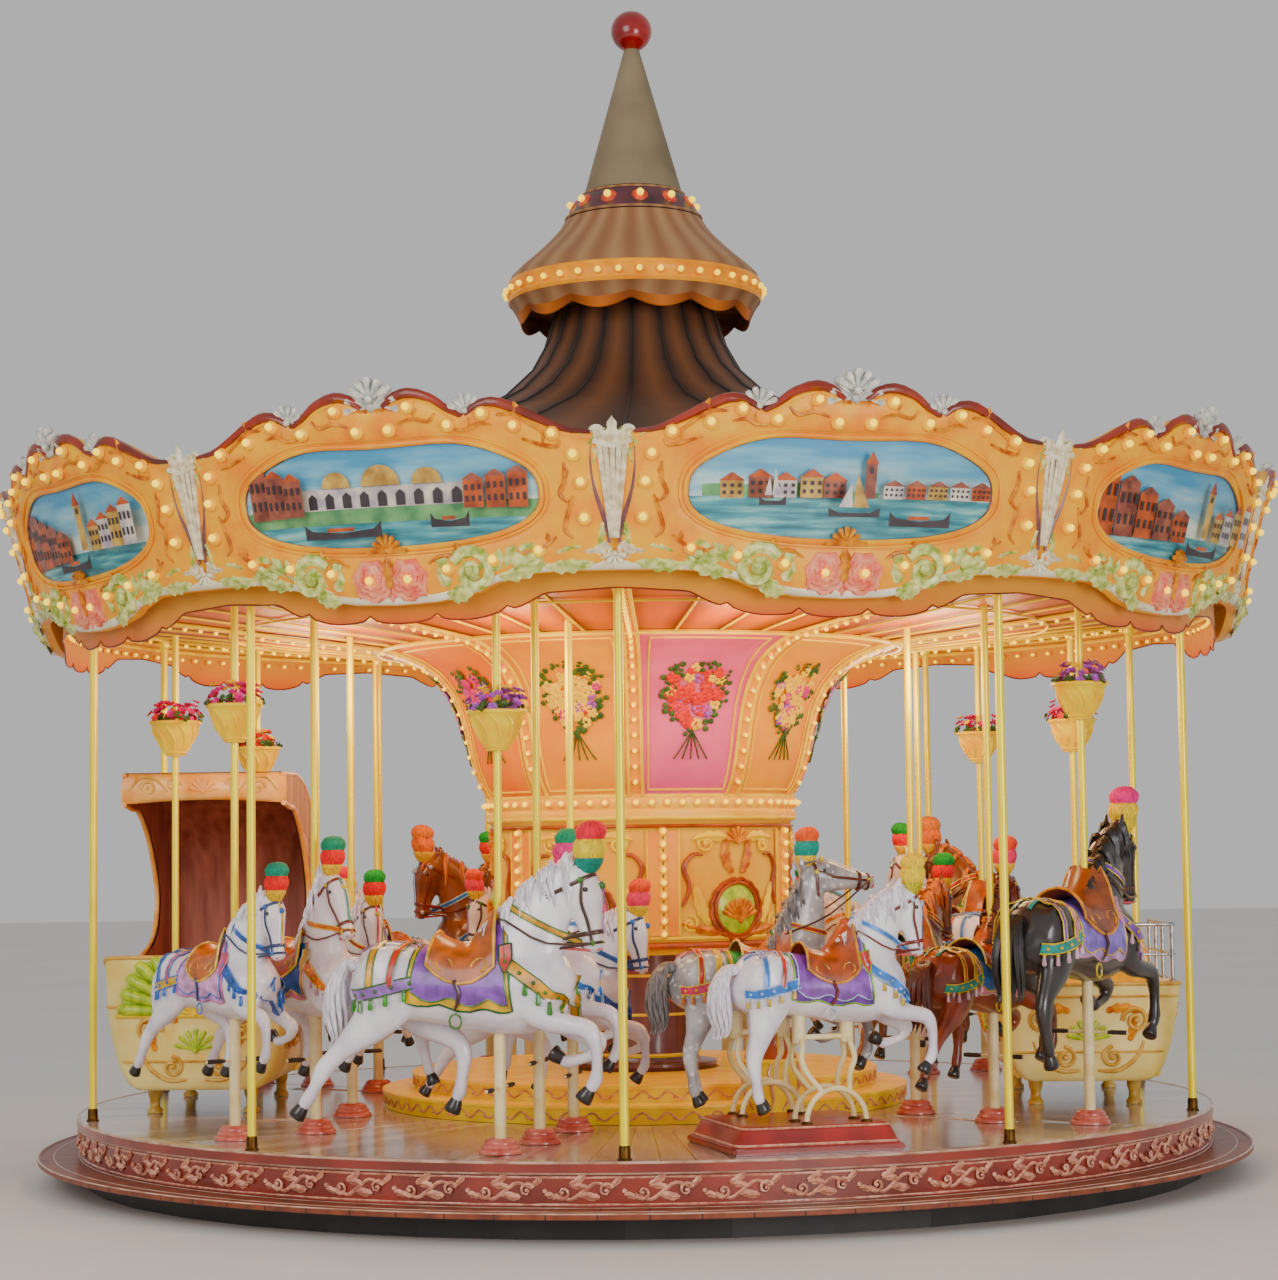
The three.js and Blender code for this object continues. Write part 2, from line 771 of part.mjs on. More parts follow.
function buildCupola() {
  const { radius, bottom, top } = CUPOLA_RING;
  const neck = ROOF.at(-1)[0];
  const wall = 26;
  const profile = [
    [neck - 60, ROOF.at(-1)[1] + SEAT_GAP],
    [CUPOLA_SKIRT.radius - wall, ROOF.at(-1)[1] + SEAT_GAP],
    [CUPOLA_SKIRT.radius - wall, CUPOLA_SKIRT.bottom],
    [CUPOLA_SKIRT.radius, CUPOLA_SKIRT.bottom],
    [radius, bottom],
    [radius, top],
    [560, 4880],
    [LANTERN.low, LANTERN.bottom - SEAT_GAP],
    [MAST_RADIUS + 4, LANTERN.bottom - SEAT_GAP],
    [MAST_RADIUS + 4, LANTERN.bottom - 30],
    [LANTERN.low - wall, LANTERN.bottom - 30],
    [530, 4870],
    [radius - 70, top - 20],
    [radius - 70, bottom + 10],
    [neck - 60, bottom - 15],
  ].map(([r, z]) => [r, z + DECK_TOP]);
  addPiece("cupola_bell", turned(profile, CORE_SEGMENTS), "gold_paint");
}

function buildSpire() {
  const { low, high, bottom, top } = LANTERN;
  const band = post(low, high, DECK_TOP + bottom, DECK_TOP + top, CORE_SEGMENTS);
  addPiece("lantern_band", band, "red_paint");
  const coneBottom = DECK_TOP + top + SEAT_GAP;
  const cone = post(high, SPIRE.tip, coneBottom, DECK_TOP + SPIRE.top, CORE_SEGMENTS);
  addPiece("spire", cone, "spire");
  const sphere = new THREE.SphereGeometry(BALL.radius, BALL.columns, BALL.rows).rotateX(Math.PI / 2);
  const foot = DECK_TOP + SPIRE.top + SEAT_GAP;
  const centre = DECK_TOP + SPIRE.top + BALL.radius - BALL.sunk;
  const seat = post(SPIRE.tip, SPIRE.tip, foot, centre, BALL.seat_sides);
  sphere.translate(0, 0, centre);
  const across = 3 * BALL.radius;
  const below = box(across, across, BALL.radius, 0, 0, foot - BALL.radius / 2);
  addPiece("finial_ball", solidFrom(sphere).add(seat).subtract(below), "red_ball");
}

// Horses

function horseBody(sides, pose, stride) {
  const { neck, head, plume } = POSES[pose];
  const legs = [...FORELEGS, ...HIND_LEGS[stride]];
  return union([
    limb(TORSO, sides.body),
    limb(neck, sides.neck),
    limb(head, sides.neck),
    limb(plume, sides.limb),
    limb(TAIL, sides.limb),
    ...legs.map((leg) => limb(leg, sides.limb)),
  ]);
}

// Height of a horse's own zero above the deck, at mid travel.
function rideHeight(size) {
  return RIDE_HEIGHT + (1 - size) * PERCH;
}

function basket(x = 0, y = 0) {
  const pot = post(BASKET.low, BASKET.high, BASKET.bottom, BASKET.rim, POLE_SIDES, x, y);
  return pot.add(post(FLOWERS.low, FLOWERS.high, FLOWERS.bottom, FLOWERS.top, POLE_SIDES, x, y));
}

// Horse, pole, foot bar and flower basket in one piece. Heights are above the deck at mid travel.
function jumper(row, size, stride) {
  const outer = row === 0;
  const pose = row === 1 ? "upright" : "tucked";
  const rise = rideHeight(size);
  const belly = rise + 600 * size;
  const withers = rise + 1000 * size;
  const foot = POLE_LOW_END - DECK_TOP + STROKE;
  const reach = FOOT_BAR.half_length * size;
  const parts = [
    horseBody(ROWS[row].sides, pose, stride).scale(size).translate([0, 0, rise]),
    post(LOWER_POLE_RADIUS, LOWER_POLE_RADIUS, foot, belly + 30, POLE_SIDES),
    post(UPPER_POLE_RADIUS, UPPER_POLE_RADIUS, withers - 60, POLE_TOP - DECK_TOP, POLE_SIDES),
    bar([0, -reach, FOOT_BAR.height], [0, reach, FOOT_BAR.height], FOOT_BAR.radius, FOOT_BAR.sides),
  ];
  if (outer) parts.push(basket());
  return union(parts);
}

function buildJumpers() {
  JUMPERS.forEach(({ section, turns, sizes, lifts, strides, paints }, i) => {
    ROWS.forEach(({ name, radius }, row) => {
      const seat = placeAt(sectionAngle(section) + turns[row], radius, DECK_TOP + lifts[row]);
      addPiece(`${name}_horse_${i + 1}`, jumper(row, sizes[row], strides[row]), paints[row], seat);
    });
  });
}

// A solid made in a seat's own frame, moved to the deck's frame.
function onDeck(solid, degrees, radius) {
  return solid.translate([0, -radius, 0]).rotate([0, 0, degrees]);
}

// A horse without a pole: two pegs under its belly stand on the trestle.
function standHorse(row, pose) {
  const size = STAND_SIZE;
  const body = horseBody(ROWS[row].sides, pose, "standing").scale(size);
  const { peg, top } = TRESTLE;
  const pegs = TRESTLE_PLACES.map((x) => post(peg, peg, top + SEAT_GAP, top + PEG_DEPTH, POLE_SIDES, x, 0));
  return union([body.translate([0, 0, rideHeight(size)]), ...pegs]);
}

// Two pegs on a rail, with leaning tubes down to a hoop at each side that stands on the base.
function trestle() {
  const { top, peg, peg_length, tube } = TRESTLE;
  const { middle, reach, shoulder, half_width, bends } = HOOP;
  const [rear, front] = TRESTLE_PLACES;
  const railHeight = top - peg_length / 2;
  const footHeight = STAND.height - tube;
  const parts = [bar([rear, 0, railHeight], [front, 0, railHeight], tube, 4)];
  for (const x of TRESTLE_PLACES) parts.push(post(peg, peg, top - peg_length, top, POLE_SIDES, x, 0));
  for (const y of [-half_width, half_width]) {
    const hoop = [];
    for (let i = 0; i <= bends; i++) {
      const angle = (Math.PI * i) / bends;
      hoop.push([middle + reach * Math.cos(angle), y, footHeight + reach * Math.sin(angle)]);
      if (i) parts.push(bar(hoop[i - 1], hoop[i], tube, 4));
    }
    const meet = footHeight + Math.sqrt(reach ** 2 - shoulder ** 2);
    parts.push(bar([rear, 0, railHeight], [middle - shoulder, y, meet], tube, 4));
    parts.push(bar([front, 0, railHeight], [middle + shoulder, y, meet], tube, 4));
  }
  return union(parts);
}

function standBase() {
  const plan = (halfLength, halfWidth, z) => [
    new THREE.Vector3(-halfLength, -halfWidth, z),
    new THREE.Vector3(halfLength, -halfWidth, z),
    new THREE.Vector3(halfLength, halfWidth, z),
    new THREE.Vector3(-halfLength, halfWidth, z),
  ];
  const foot = plan(STAND_FOOT.length / 2, STAND_FOOT.width / 2, SEAT_GAP);
  const top = plan(STAND_TOP.length / 2, STAND_TOP.width / 2, STAND.height);
  return skin([foot, top]);
}

function buildStand() {
  const parts = [onDeck(standBase(), STAND.angle, STAND.circle)];
  STAND_HORSES.forEach(({ row, angle, pose, paint }) => {
    const { name, radius } = ROWS[row];
    addPiece(`stand_horse_${name}`, standHorse(row, pose), paint, placeAt(angle, radius, DECK_TOP));
    parts.push(onDeck(trestle(), angle, radius));
  });
  addPiece("stand_base", union(parts), "red_paint", placeAt(0, 0, DECK_TOP));
}

// Boats

// Plan ring of a boat at one height, wider in the middle than at its end panels. Forward is +X and the
// outer side of the turntable is -Y. The rim rises towards the front by the given amount.
function boatRing(z, halfWidth, halfLength, rise = 0) {
  const plan = [
    [-1, 0.985],
    [-0.35, 1],
    [0.35, 1],
    [1, 0.985],
  ];
  const outline = [...plan.map(([f, w]) => [f, -w]), ...plan.reverse()];
  return outline.map(([f, w]) => {
    const lift = rise * Math.max(f, 0) ** 2;
    return new THREE.Vector3(f * halfLength, w * halfWidth, z + lift);
  });
}

// The hull without its hollow, grown on all sides by the given amount.
function boatOutside(grown) {
  const rise = BOAT.front_rim - BOAT.rear_rim;
  const length = BOAT.half_length + grown;
  return skin([
    ...BOAT_SIDE.map(({ z, outside }, i) => boatRing(i ? z : z - grown, outside + grown, length)),
    boatRing(BOAT.rear_rim + grown * SEAT_GAP, BOAT_RIM.outside + grown, length, rise),
  ]);
}

function boatHull() {
  const { floor, end_wall: wall, half_length: length } = BOAT;
  const hollow = skin([
    ...BOAT_SIDE.map(({ z, inside }, i) => boatRing(i ? z : floor, inside, length - wall)),
    boatRing(BOAT.front_rim + 300, BOAT_RIM.inside, length - wall),
  ]);
  const { size, forward, outward } = BOAT_FOOT;
  const feet = [-forward, forward].flatMap((x) =>
    [-outward, outward].map((y) => box(size, size, floor - SEAT_GAP - 10, x, y, (floor - 10 + SEAT_GAP) / 2)),
  );
  const { back, front, top } = BOAT_BENCH;
  const across = 2 * BOAT_RIM.outside;
  const bench = box(front - back, across, top - floor + 10, (front + back) / 2, 0, (top + floor - 10) / 2);
  const outside = boatOutside(0);
  return union([outside.subtract(hollow), bench.intersect(outside), ...feet]);
}

function boatPole() {
  const { radius, forward, outward } = BOAT_POLE;
  const circle = Math.hypot(BOAT.circle + outward, forward);
  const ceilingShare = (circle - CEILING.inner) / (CEILING.outer - CEILING.inner);
  const rise = CEILING_HEIGHT.outer - CEILING_HEIGHT.inner;
  const top = CEILING_HEIGHT.inner + ceilingShare * rise - DECK_TOP - 12;
  return union([
    post(radius, radius, BOAT.floor + SEAT_GAP, top, POLE_SIDES, forward, -outward),
    basket(forward, -outward),
  ]);
}

// A side outline, [forward, height] points, drawn across the boat.
function acrossBoat(outline, halfWidth) {
  const shape = new THREE.Shape(outline.map(([f, z]) => new THREE.Vector2(f, z)));
  const geometry = new THREE.ExtrudeGeometry(shape, { depth: 2 * halfWidth, bevelEnabled: false });
  return solidFrom(geometry.rotateX(Math.PI / 2).translate(0, halfWidth, 0));
}

function boatHood() {
  const outside = [
    [-740, 620],
    [-780, 900],
    [-760, 1300],
    [-620, 1620],
    [-350, 1820],
    [0, 1900],
    [500, 1900],
    [500, 1720],
    [100, 1680],
    [-200, 1500],
    [-420, 1200],
    [-300, 950],
    [100, 840],
    [300, 620],
  ];
  const inside = [
    [-700, 300],
    [-745, 900],
    [-725, 1300],
    [-590, 1590],
    [-335, 1785],
    [0, 1860],
    [460, 1860],
    [460, 1600],
    [900, 1600],
    [900, 300],
  ];
  const { half_width: half, wall } = HOOD;
  return acrossBoat(outside, half).subtract(acrossBoat(inside, half - wall)).subtract(boatOutside(1));
}

// Two bars and posts round the stern and the outer side.
function boatRail() {
  const { inset, height, middle, radius } = RAIL;
  const length = BOAT.half_length - inset;
  const width = BOAT_RIM.outside - inset;
  const path = [
    [length * 0.35, -width],
    [-length * 0.35, -width],
    [-length, -width],
    [-length, 0],
    [-length, width],
  ];
  const parts = [];
  path.forEach(([x, y], i) => {
    const foot = BOAT.rear_rim - 20;
    parts.push(bar([x, y, foot], [x, y, height], radius, 4));
    if (i === 0) return;
    const [fromX, fromY] = path[i - 1];
    for (const z of [middle, height - radius]) parts.push(bar([fromX, fromY, z], [x, y, z], radius, 4));
  });
  return union(parts).subtract(boatOutside(1));
}

function buildBoats() {
  const places = [
    { name: "railed_boat", section: 2 },
    { name: "hooded_boat", section: 7 },
  ];
  for (const { name, section } of places) {
    const seat = placeAt(sectionAngle(section), BOAT.circle, DECK_TOP);
    addPiece(name, boatHull(), "cream", seat);
    addPiece(`${name}_pole`, boatPole(), "brass", seat);
    if (section === 7) addPiece("boat_hood", boatHood(), "wood", seat);
    else addPiece("boat_rail", boatRail(), "steel", seat);
  }
}

buildPlinth();
buildBearing();
buildDeck();
buildDeckRim();
buildRimPosts();
buildRoundingBoards();
buildValance();
buildCeiling();
buildTrumpet();
buildDrum();
buildSteps();
buildTub();
buildRoof();
buildCupola();
buildSpire();
buildJumpers();
buildStand();
buildBoats();

export default carousel;
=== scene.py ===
"""Looks of the fairground carousel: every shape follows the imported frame. Metres, +Z up."""
from math import atan2, cos, hypot, pi, radians, sin, sqrt
from random import Random

import bmesh
import bpy
from mathutils import Matrix, Vector
from mathutils.bvhtree import BVHTree


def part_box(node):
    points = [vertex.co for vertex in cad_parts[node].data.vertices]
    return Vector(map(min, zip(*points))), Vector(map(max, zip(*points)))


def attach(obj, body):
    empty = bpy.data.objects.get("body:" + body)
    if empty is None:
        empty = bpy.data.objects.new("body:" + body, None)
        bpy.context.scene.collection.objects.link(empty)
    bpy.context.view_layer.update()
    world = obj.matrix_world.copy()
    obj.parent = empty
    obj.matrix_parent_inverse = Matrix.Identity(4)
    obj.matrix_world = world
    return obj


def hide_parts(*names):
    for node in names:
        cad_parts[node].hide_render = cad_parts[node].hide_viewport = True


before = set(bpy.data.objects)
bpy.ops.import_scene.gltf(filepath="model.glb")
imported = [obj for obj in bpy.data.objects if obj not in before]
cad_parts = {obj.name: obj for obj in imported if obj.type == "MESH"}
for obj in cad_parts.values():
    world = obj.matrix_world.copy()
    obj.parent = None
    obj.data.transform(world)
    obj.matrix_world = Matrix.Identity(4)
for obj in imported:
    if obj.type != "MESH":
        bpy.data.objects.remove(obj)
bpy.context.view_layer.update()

# Driving dimensions, repeated from the part where it needs them
SECTIONS = 10
SECTION_DEG = 360 / SECTIONS
DRUM_LOW = 0.88  # underside of the drum over the deck
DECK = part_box("center_drum")[0][2] - DRUM_LOW
POST_CIRCLE = 3.122
RIM = {"cone_radius": 3.36, "cone_height": 2.605, "slope": 0.269}
DRUM_RADIUS = 0.85
ROWS = (("outer", 2.85), ("middle", 2.38), ("inner", 1.78))
RIDE_HEIGHT = 0.07
PERCH = 0.35
STAND_SIZE = 0.8
POLE_TOP = 2.96
POLE_SOCKET = -0.148
FOOT_BAR = 0.38
BOAT_CIRCLE = 2.45
SKIRT_RADIUS = 3.178
ROUND = 160  # points on the big circles
HALF_SECTION = SECTION_DEG / 2
TUB_DEG, TUB_CIRCLE = 25, 1.665


# Points and meshes

def on_circle(degrees, radius, z=0.0):
    """Point at an angle from the front (-Y) towards +X."""
    return Vector((radius * sin(radians(degrees)), -radius * cos(radians(degrees)), z))


def section_angle(section):
    return (section + 0.5) * SECTION_DEG


def catmull(a, b, c, d, t):
    """Point on the smooth curve from b to c, at t from 0 to 1."""
    return 0.5 * (2 * b + (c - a) * t + (2 * a - 5 * b + 4 * c - d) * t * t
                  + (3 * b - a - 3 * c + d) * t ** 3)


def smooth_line(points, steps):
    """The points joined by a smooth curve, with a number of steps in each stretch."""
    knots = [Vector(p) for p in points]
    line = []
    for i in range(len(knots) - 1):
        around = [knots[min(max(i + k, 0), len(knots) - 1)] for k in (-1, 0, 1, 2)]
        for step in range(steps):
            line.append(catmull(*around, step / steps))
    line.append(knots[-1])
    return line


def add_grid(bm, rows, closed=False, caps=False, material=0):
    """Skins rows of points. Rows closed round on themselves make a tube, which can have end caps."""
    lines = [[bm.verts.new(p) for p in row] for row in rows]
    count = len(rows[0])
    faces = []
    for low, high in zip(lines, lines[1:]):
        for j in range(count if closed else count - 1):
            k = (j + 1) % count
            faces.append(bm.faces.new((low[j], low[k], high[k], high[j])))
    if caps:
        faces.append(bm.faces.new(lines[0][::-1]))
        faces.append(bm.faces.new(lines[-1]))
    for face in faces:
        face.material_index = material
    return faces


def add_lathe(bm, profile, segments, material=0, closed_profile=False, centre=(0, 0, 0)):
    """Turns (radius, z) points round the vertical line through the centre."""
    points = list(profile) + ([profile[0]] if closed_profile else [])
    x, y, z = centre
    rows = []
    for radius, height in points:
        row = []
        for j in range(segments):
            angle = 2 * pi * j / segments
            row.append((x + radius * cos(angle), y + radius * sin(angle), z + height))
        rows.append(row)
    return add_grid(bm, rows, closed=True, material=material)


def add_tube(bm, points, radius, sides=8, closed=False, material=0, flat=1.0):
    """A round tube along points. The radius is one number or one a point; flat squeezes it upright."""
    line = [Vector(p) for p in points]
    count = len(line)
    radii = radius if isinstance(radius, (list, tuple)) else [radius] * count
    normal = None
    rows = []
    for i, here in enumerate(line):
        if closed:
            tangent = line[(i + 1) % count] - line[i - 1]
        else:
            tangent = line[min(i + 1, count - 1)] - line[max(i - 1, 0)]
        tangent.normalize()
        if normal is None:
            helper = Vector((0, 0, 1)) if abs(tangent.z) < 0.9 else Vector((1, 0, 0))
            normal = tangent.cross(helper).normalized()
        normal = (normal - tangent * normal.dot(tangent)).normalized()
        other = tangent.cross(normal)
        row = []
        for j in range(sides):
            angle = 2 * pi * j / sides
            row.append(here + normal * cos(angle) * radii[i] + other * sin(angle) * radii[i] * flat)
        rows.append(row)
    if closed:
        rows.append(rows[0])
    return add_grid(bm, rows, closed=True, caps=not closed, material=material)


def above_deck(profile):
    """(radius, height over the deck) points as (radius, z) points."""
    return [(radius, DECK + height) for radius, height in profile]


def add_ring(bm, radius, z, thick, sides=6, material=0, count=ROUND):
    """A round bead about the carousel's axis."""
    circle = [on_circle(360 * i / count, radius, z) for i in range(count)]
    add_tube(bm, circle, thick, sides, closed=True, material=material)


def mirrored(surface, sign):
    """The same surface, turned over left to right where the sign is -1."""
    return lambda u, z, out=0.0: surface(sign * u, z, out)


def add_ball(bm, centre, radii, detail=2, material=0):
    made = bmesh.ops.create_icosphere(bm, subdivisions=detail, radius=1)["verts"]
    centre = Vector(centre)
    if not isinstance(radii, (list, tuple)):
        radii = (radii, radii, radii)
    for v in made:
        v.co = centre + Vector((v.co.x * radii[0], v.co.y * radii[1], v.co.z * radii[2]))
    for face in {f for v in made for f in v.link_faces}:
        face.material_index = material


def add_block(bm, low, high, material=0, bevel=0.0):
    made = bmesh.ops.create_cube(bm, size=1)["verts"]
    low, high = Vector(low), Vector(high)
    middle, size = (low + high) / 2, high - low
    for v in made:
        v.co = Vector((middle[k] + v.co[k] * size[k] for k in range(3)))
    for face in {f for v in made for f in v.link_faces}:
        face.material_index = material
    if bevel:
        edges = {e for v in made for e in v.link_edges}
        bmesh.ops.bevel(bm, geom=list(edges), offset=bevel, segments=2, affect="EDGES", material=-1)


def new_object(name, data):
    """An object in the scene for a mesh, a light or a camera."""
    made = bpy.data.objects.new(name, data)
    bpy.context.scene.collection.objects.link(made)
    return made


def mesh_from(name, bm, crease=40, keep=1.0):
    """A smooth mesh of what bm holds; keep is the share of its triangles that stays."""
    bmesh.ops.remove_doubles(bm, verts=bm.verts, dist=1e-6)
    bmesh.ops.recalc_face_normals(bm, faces=bm.faces)
    mesh = bpy.data.meshes.new(name)
    bm.to_mesh(mesh)
    bm.free()
    if keep < 1:
        whole = new_object(name, mesh)
        whole.modifiers.new("thin", "DECIMATE").ratio = keep
        mesh = apply_modifiers(whole).data
        bpy.data.objects.remove(whole)
    for face in mesh.polygons:
        face.use_smooth = True
    mesh.set_sharp_from_angle(angle=radians(crease))
    return mesh


def looks(keys):
    """The materials with these keys, which stand in one string."""
    return [MATERIALS[key] for key in keys.split()]


def piece_from(bm, name, keys, crease=40, keep=1.0, **ways):
    """A piece of what bm holds, in the materials with these keys."""
    return add_piece(name, mesh_from(name, bm, crease, keep), looks(keys), **ways)


def add_piece(name, mesh, materials, body="turntable", slot="board_paint", replaces=()):
    """An object of its own for a mesh; its materials sit on the object, so that meshes can be shared."""
    piece = new_object(name, mesh)
    while len(mesh.materials) < len(materials):
        mesh.materials.append(None)
    for place, material in zip(piece.material_slots, materials):
        place.link = "OBJECT"
        place.material = material
    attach(piece, body)
    if replaces:
        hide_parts(*replaces)
    return piece


def apply_modifiers(piece):
    """Bakes the piece's modifiers into its mesh."""
    depsgraph = bpy.context.evaluated_depsgraph_get()
    mesh = bpy.data.meshes.new_from_object(piece.evaluated_get(depsgraph))
    piece.modifiers.clear()
    piece.data = mesh
    return piece


# Materials

RICHNESS = 1.3


def rgb(code):
    """Linear colour from a display code such as #f0b95c, mixed richer: the picture's tone pales it."""
    values = [int(code[i:i + 2], 16) / 255 for i in (1, 3, 5)]
    linear = [((v + 0.055) / 1.055) ** 2.4 if v > 0.04045 else v / 12.92 for v in values]
    grey = 0.21 * linear[0] + 0.72 * linear[1] + 0.07 * linear[2]
    return tuple(min(max(grey + (v - grey) * RICHNESS, 0.0), 0.95) for v in linear) + (1.0,)


class Paint:
    """A node material that is put together step by step."""

    def __init__(self, name, roughness=0.45, metallic=0.0):
        self.material = bpy.data.materials.new(name)
        self.material.use_nodes = True
        self.nodes = self.material.node_tree.nodes
        self.links = self.material.node_tree.links
        self.shader = self.nodes["Principled BSDF"]
        self.shader.inputs["Roughness"].default_value = roughness
        self.shader.inputs["Metallic"].default_value = metallic
        self.place = self.nodes.new("ShaderNodeTexCoord").outputs["Object"]

    def noise(self, scale, detail=4.0, place=None):
        node = self.nodes.new("ShaderNodeTexNoise")
        node.inputs["Scale"].default_value = scale
        node.inputs["Detail"].default_value = detail
        self.links.new(place or self.place, node.inputs["Vector"])
        return node.outputs["Fac"]

    def math(self, operation, a, b=0.0):
        node = self.nodes.new("ShaderNodeMath")
        node.operation = operation
        for socket, value in zip(node.inputs, (a, b)):
            if isinstance(value, (int, float)):
                socket.default_value = value
            else:
                self.links.new(value, socket)
        return node.outputs[0]

    def times(self, a, b):
        return self.math("MULTIPLY", a, b)

    def plus(self, a, b):
        return self.math("ADD", a, b)

    def streaks(self, stretch, scale, detail):
        """Noise that is drawn out along an axis."""
        node = self.nodes.new("ShaderNodeMapping")
        node.inputs["Scale"].default_value = stretch
        self.links.new(self.place, node.inputs["Vector"])
        return self.noise(scale, detail, node.outputs["Vector"])

    def bays(self, count):
        """0 in the middle of each of the bays that go round the axis, 0.5 at its seams."""
        turn, _ = self.polar()
        share = self.math("FRACT", self.times(turn, float(count)))
        return self.math("ABSOLUTE", self.math("SUBTRACT", share, 0.5))

    def between_heights(self, low, high):
        """0 at the lower height over the deck and 1 at the upper one."""
        node = self.nodes.new("ShaderNodeMapRange")
        node.inputs["From Min"].default_value = DECK + low
        node.inputs["From Max"].default_value = DECK + high
        self.links.new(self.height(), node.inputs["Value"])
        return node.outputs[0]

    def ramp(self, fac, stops):
        """Colours at places from 0 to 1."""
        node = self.nodes.new("ShaderNodeValToRGB")
        points = node.color_ramp.elements
        while len(points) < len(stops):
            points.new(0.5)
        for point, (place, code) in zip(points, stops):
            point.position = place
            point.color = rgb(code)
        self.links.new(fac, node.inputs["Fac"])
        return node.outputs["Color"]

    def blend(self, fac, a, b):
        node = self.nodes.new("ShaderNodeMix")
        node.data_type = "RGBA"
        for socket, value in ((node.inputs[0], fac), (node.inputs[6], a), (node.inputs[7], b)):
            if isinstance(value, (int, float, tuple)):
                socket.default_value = value
            else:
                self.links.new(value, socket)
        return node.outputs[2]

    def colour(self, socket):
        self.links.new(socket, self.shader.inputs["Base Color"])
        return self

    def rough(self, socket, low, high):
        node = self.nodes.new("ShaderNodeMapRange")
        node.inputs["To Min"].default_value = low
        node.inputs["To Max"].default_value = high
        self.links.new(socket, node.inputs["Value"])
        self.links.new(node.outputs[0], self.shader.inputs["Roughness"])
        return self

    def bump(self, socket, depth=0.001, strength=0.5):
        node = self.nodes.new("ShaderNodeBump")
        node.inputs["Distance"].default_value = depth
        node.inputs["Strength"].default_value = strength
        self.links.new(socket, node.inputs["Height"])
        self.links.new(node.outputs["Normal"], self.shader.inputs["Normal"])
        return self

    def coat(self, weight, roughness=0.1):
        self.shader.inputs["Coat Weight"].default_value = weight
        self.shader.inputs["Coat Roughness"].default_value = roughness
        return self

    def glow(self, code, strength):
        self.shader.inputs["Emission Color"].default_value = rgb(code)
        self.shader.inputs["Emission Strength"].default_value = strength
        # The glow shows on its own surface, and the scene's lamps light the rest
        self.material.cycles.emission_sampling = "NONE"
        return self

    def height(self):
        node = self.nodes.new("ShaderNodeSeparateXYZ")
        self.links.new(self.place, node.inputs["Vector"])
        return node.outputs["Z"]

    def polar(self):
        """Angle as a share of a turn, and distance from the vertical axis."""
        split = self.nodes.new("ShaderNodeSeparateXYZ")
        self.links.new(self.place, split.inputs["Vector"])
        x, y = split.outputs["X"], split.outputs["Y"]
        turn = self.math("ADD", self.math("DIVIDE", self.math("ARCTAN2", y, x), 2 * pi), 0.5)
        distance = self.math("SQRT", self.plus(self.times(x, x), self.times(y, y)))
        return turn, distance


def gloss_paint(name, code, shade, scale=3.0, roughness=0.35, coat=0.25, grain=90, painted_glow=0.0):
    """Brushed-on enamel: two close colours in soft patches, a fine uneven surface and a varnish coat.

    The last argument sets a painted glow in its own colour, which stands in for the bulbs' light on it."""
    paint = Paint(name, roughness)
    patches = paint.noise(scale, 5)
    paint.colour(paint.ramp(patches, [(0.35, shade), (0.65, code)]))
    fine = paint.noise(grain, 2)
    paint.rough(fine, roughness - 0.08, roughness + 0.12)
    paint.bump(fine, 0.0006, 0.35)
    # Painted glow: the enamel gives off light in its own colour, in place of the bulbs' light falling on it
    if painted_glow:
        paint.shader.inputs["Specular IOR Level"].default_value = 0.25
        paint.glow(code, painted_glow)
    return paint.coat(coat).material


def metal(name, code, shade, roughness=0.22, scale=25):
    """Polished tube with faint smears."""
    paint = Paint(name, roughness, 1.0)
    smears = paint.noise(scale, 3)
    paint.colour(paint.ramp(smears, [(0.3, shade), (0.7, code)]))
    paint.rough(smears, roughness - 0.06, roughness + 0.14)
    return paint.material


def brass_paint():
    """Yellow lacquered brass: half metal, with long soft smears and a faint painted glow in its own colour.
    """
    paint = Paint("lacquered_brass", 0.34, 0.35)
    smears = paint.noise(5, 2)
    paint.colour(paint.ramp(smears, [(0.3, "#e6d000"), (0.7, "#f4e408")]))
    paint.rough(smears, 0.28, 0.4)
    paint.glow("#dccc00", 0.12)
    return paint.coat(0.12, 0.12).material


def bulb_glass():
    """Lit bulbs: a warm skin that shines, a little uneven from bulb to bulb."""
    paint = Paint("lit_bulbs", 0.15)
    paint.colour(paint.ramp(paint.noise(2.5, 1), [(0.3, "#ffcc10"), (0.7, "#ffdc24")]))
    return paint.glow("#ffd400", 1.7).material


def deck_wood():
    """Varnished boards laid like spokes, with dark seams and long grain."""
    paint = Paint("deck_boards", 0.25)
    turn, distance = paint.polar()
    boards = paint.times(turn, 120.0)
    share = paint.math("FRACT", boards)
    number = paint.math("FLOOR", boards)
    tone = paint.nodes.new("ShaderNodeTexWhiteNoise")
    tone.noise_dimensions = "1D"
    paint.links.new(number, tone.inputs["W"])
    grain_place = paint.nodes.new("ShaderNodeCombineXYZ")
    paint.links.new(paint.times(turn, 400.0), grain_place.inputs["X"])
    paint.links.new(paint.times(distance, 2.2), grain_place.inputs["Y"])
    grain = paint.noise(1.0, 6, grain_place.outputs[0])
    shade = paint.plus(paint.times(grain, 0.7), paint.times(tone.outputs["Value"], 0.3))
    wood = paint.ramp(shade, [(0.3, "#86756c"), (0.55, "#b6a69c"), (0.75, "#d8c8be")])
    seam = paint.math("LESS_THAN", share, 0.05)
    paint.colour(paint.blend(seam, wood, rgb("#3a1d12")))
    paint.bump(paint.math("SUBTRACT", 1.0, seam), 0.002, 0.5)
    return paint.coat(0.7, 0.12).material


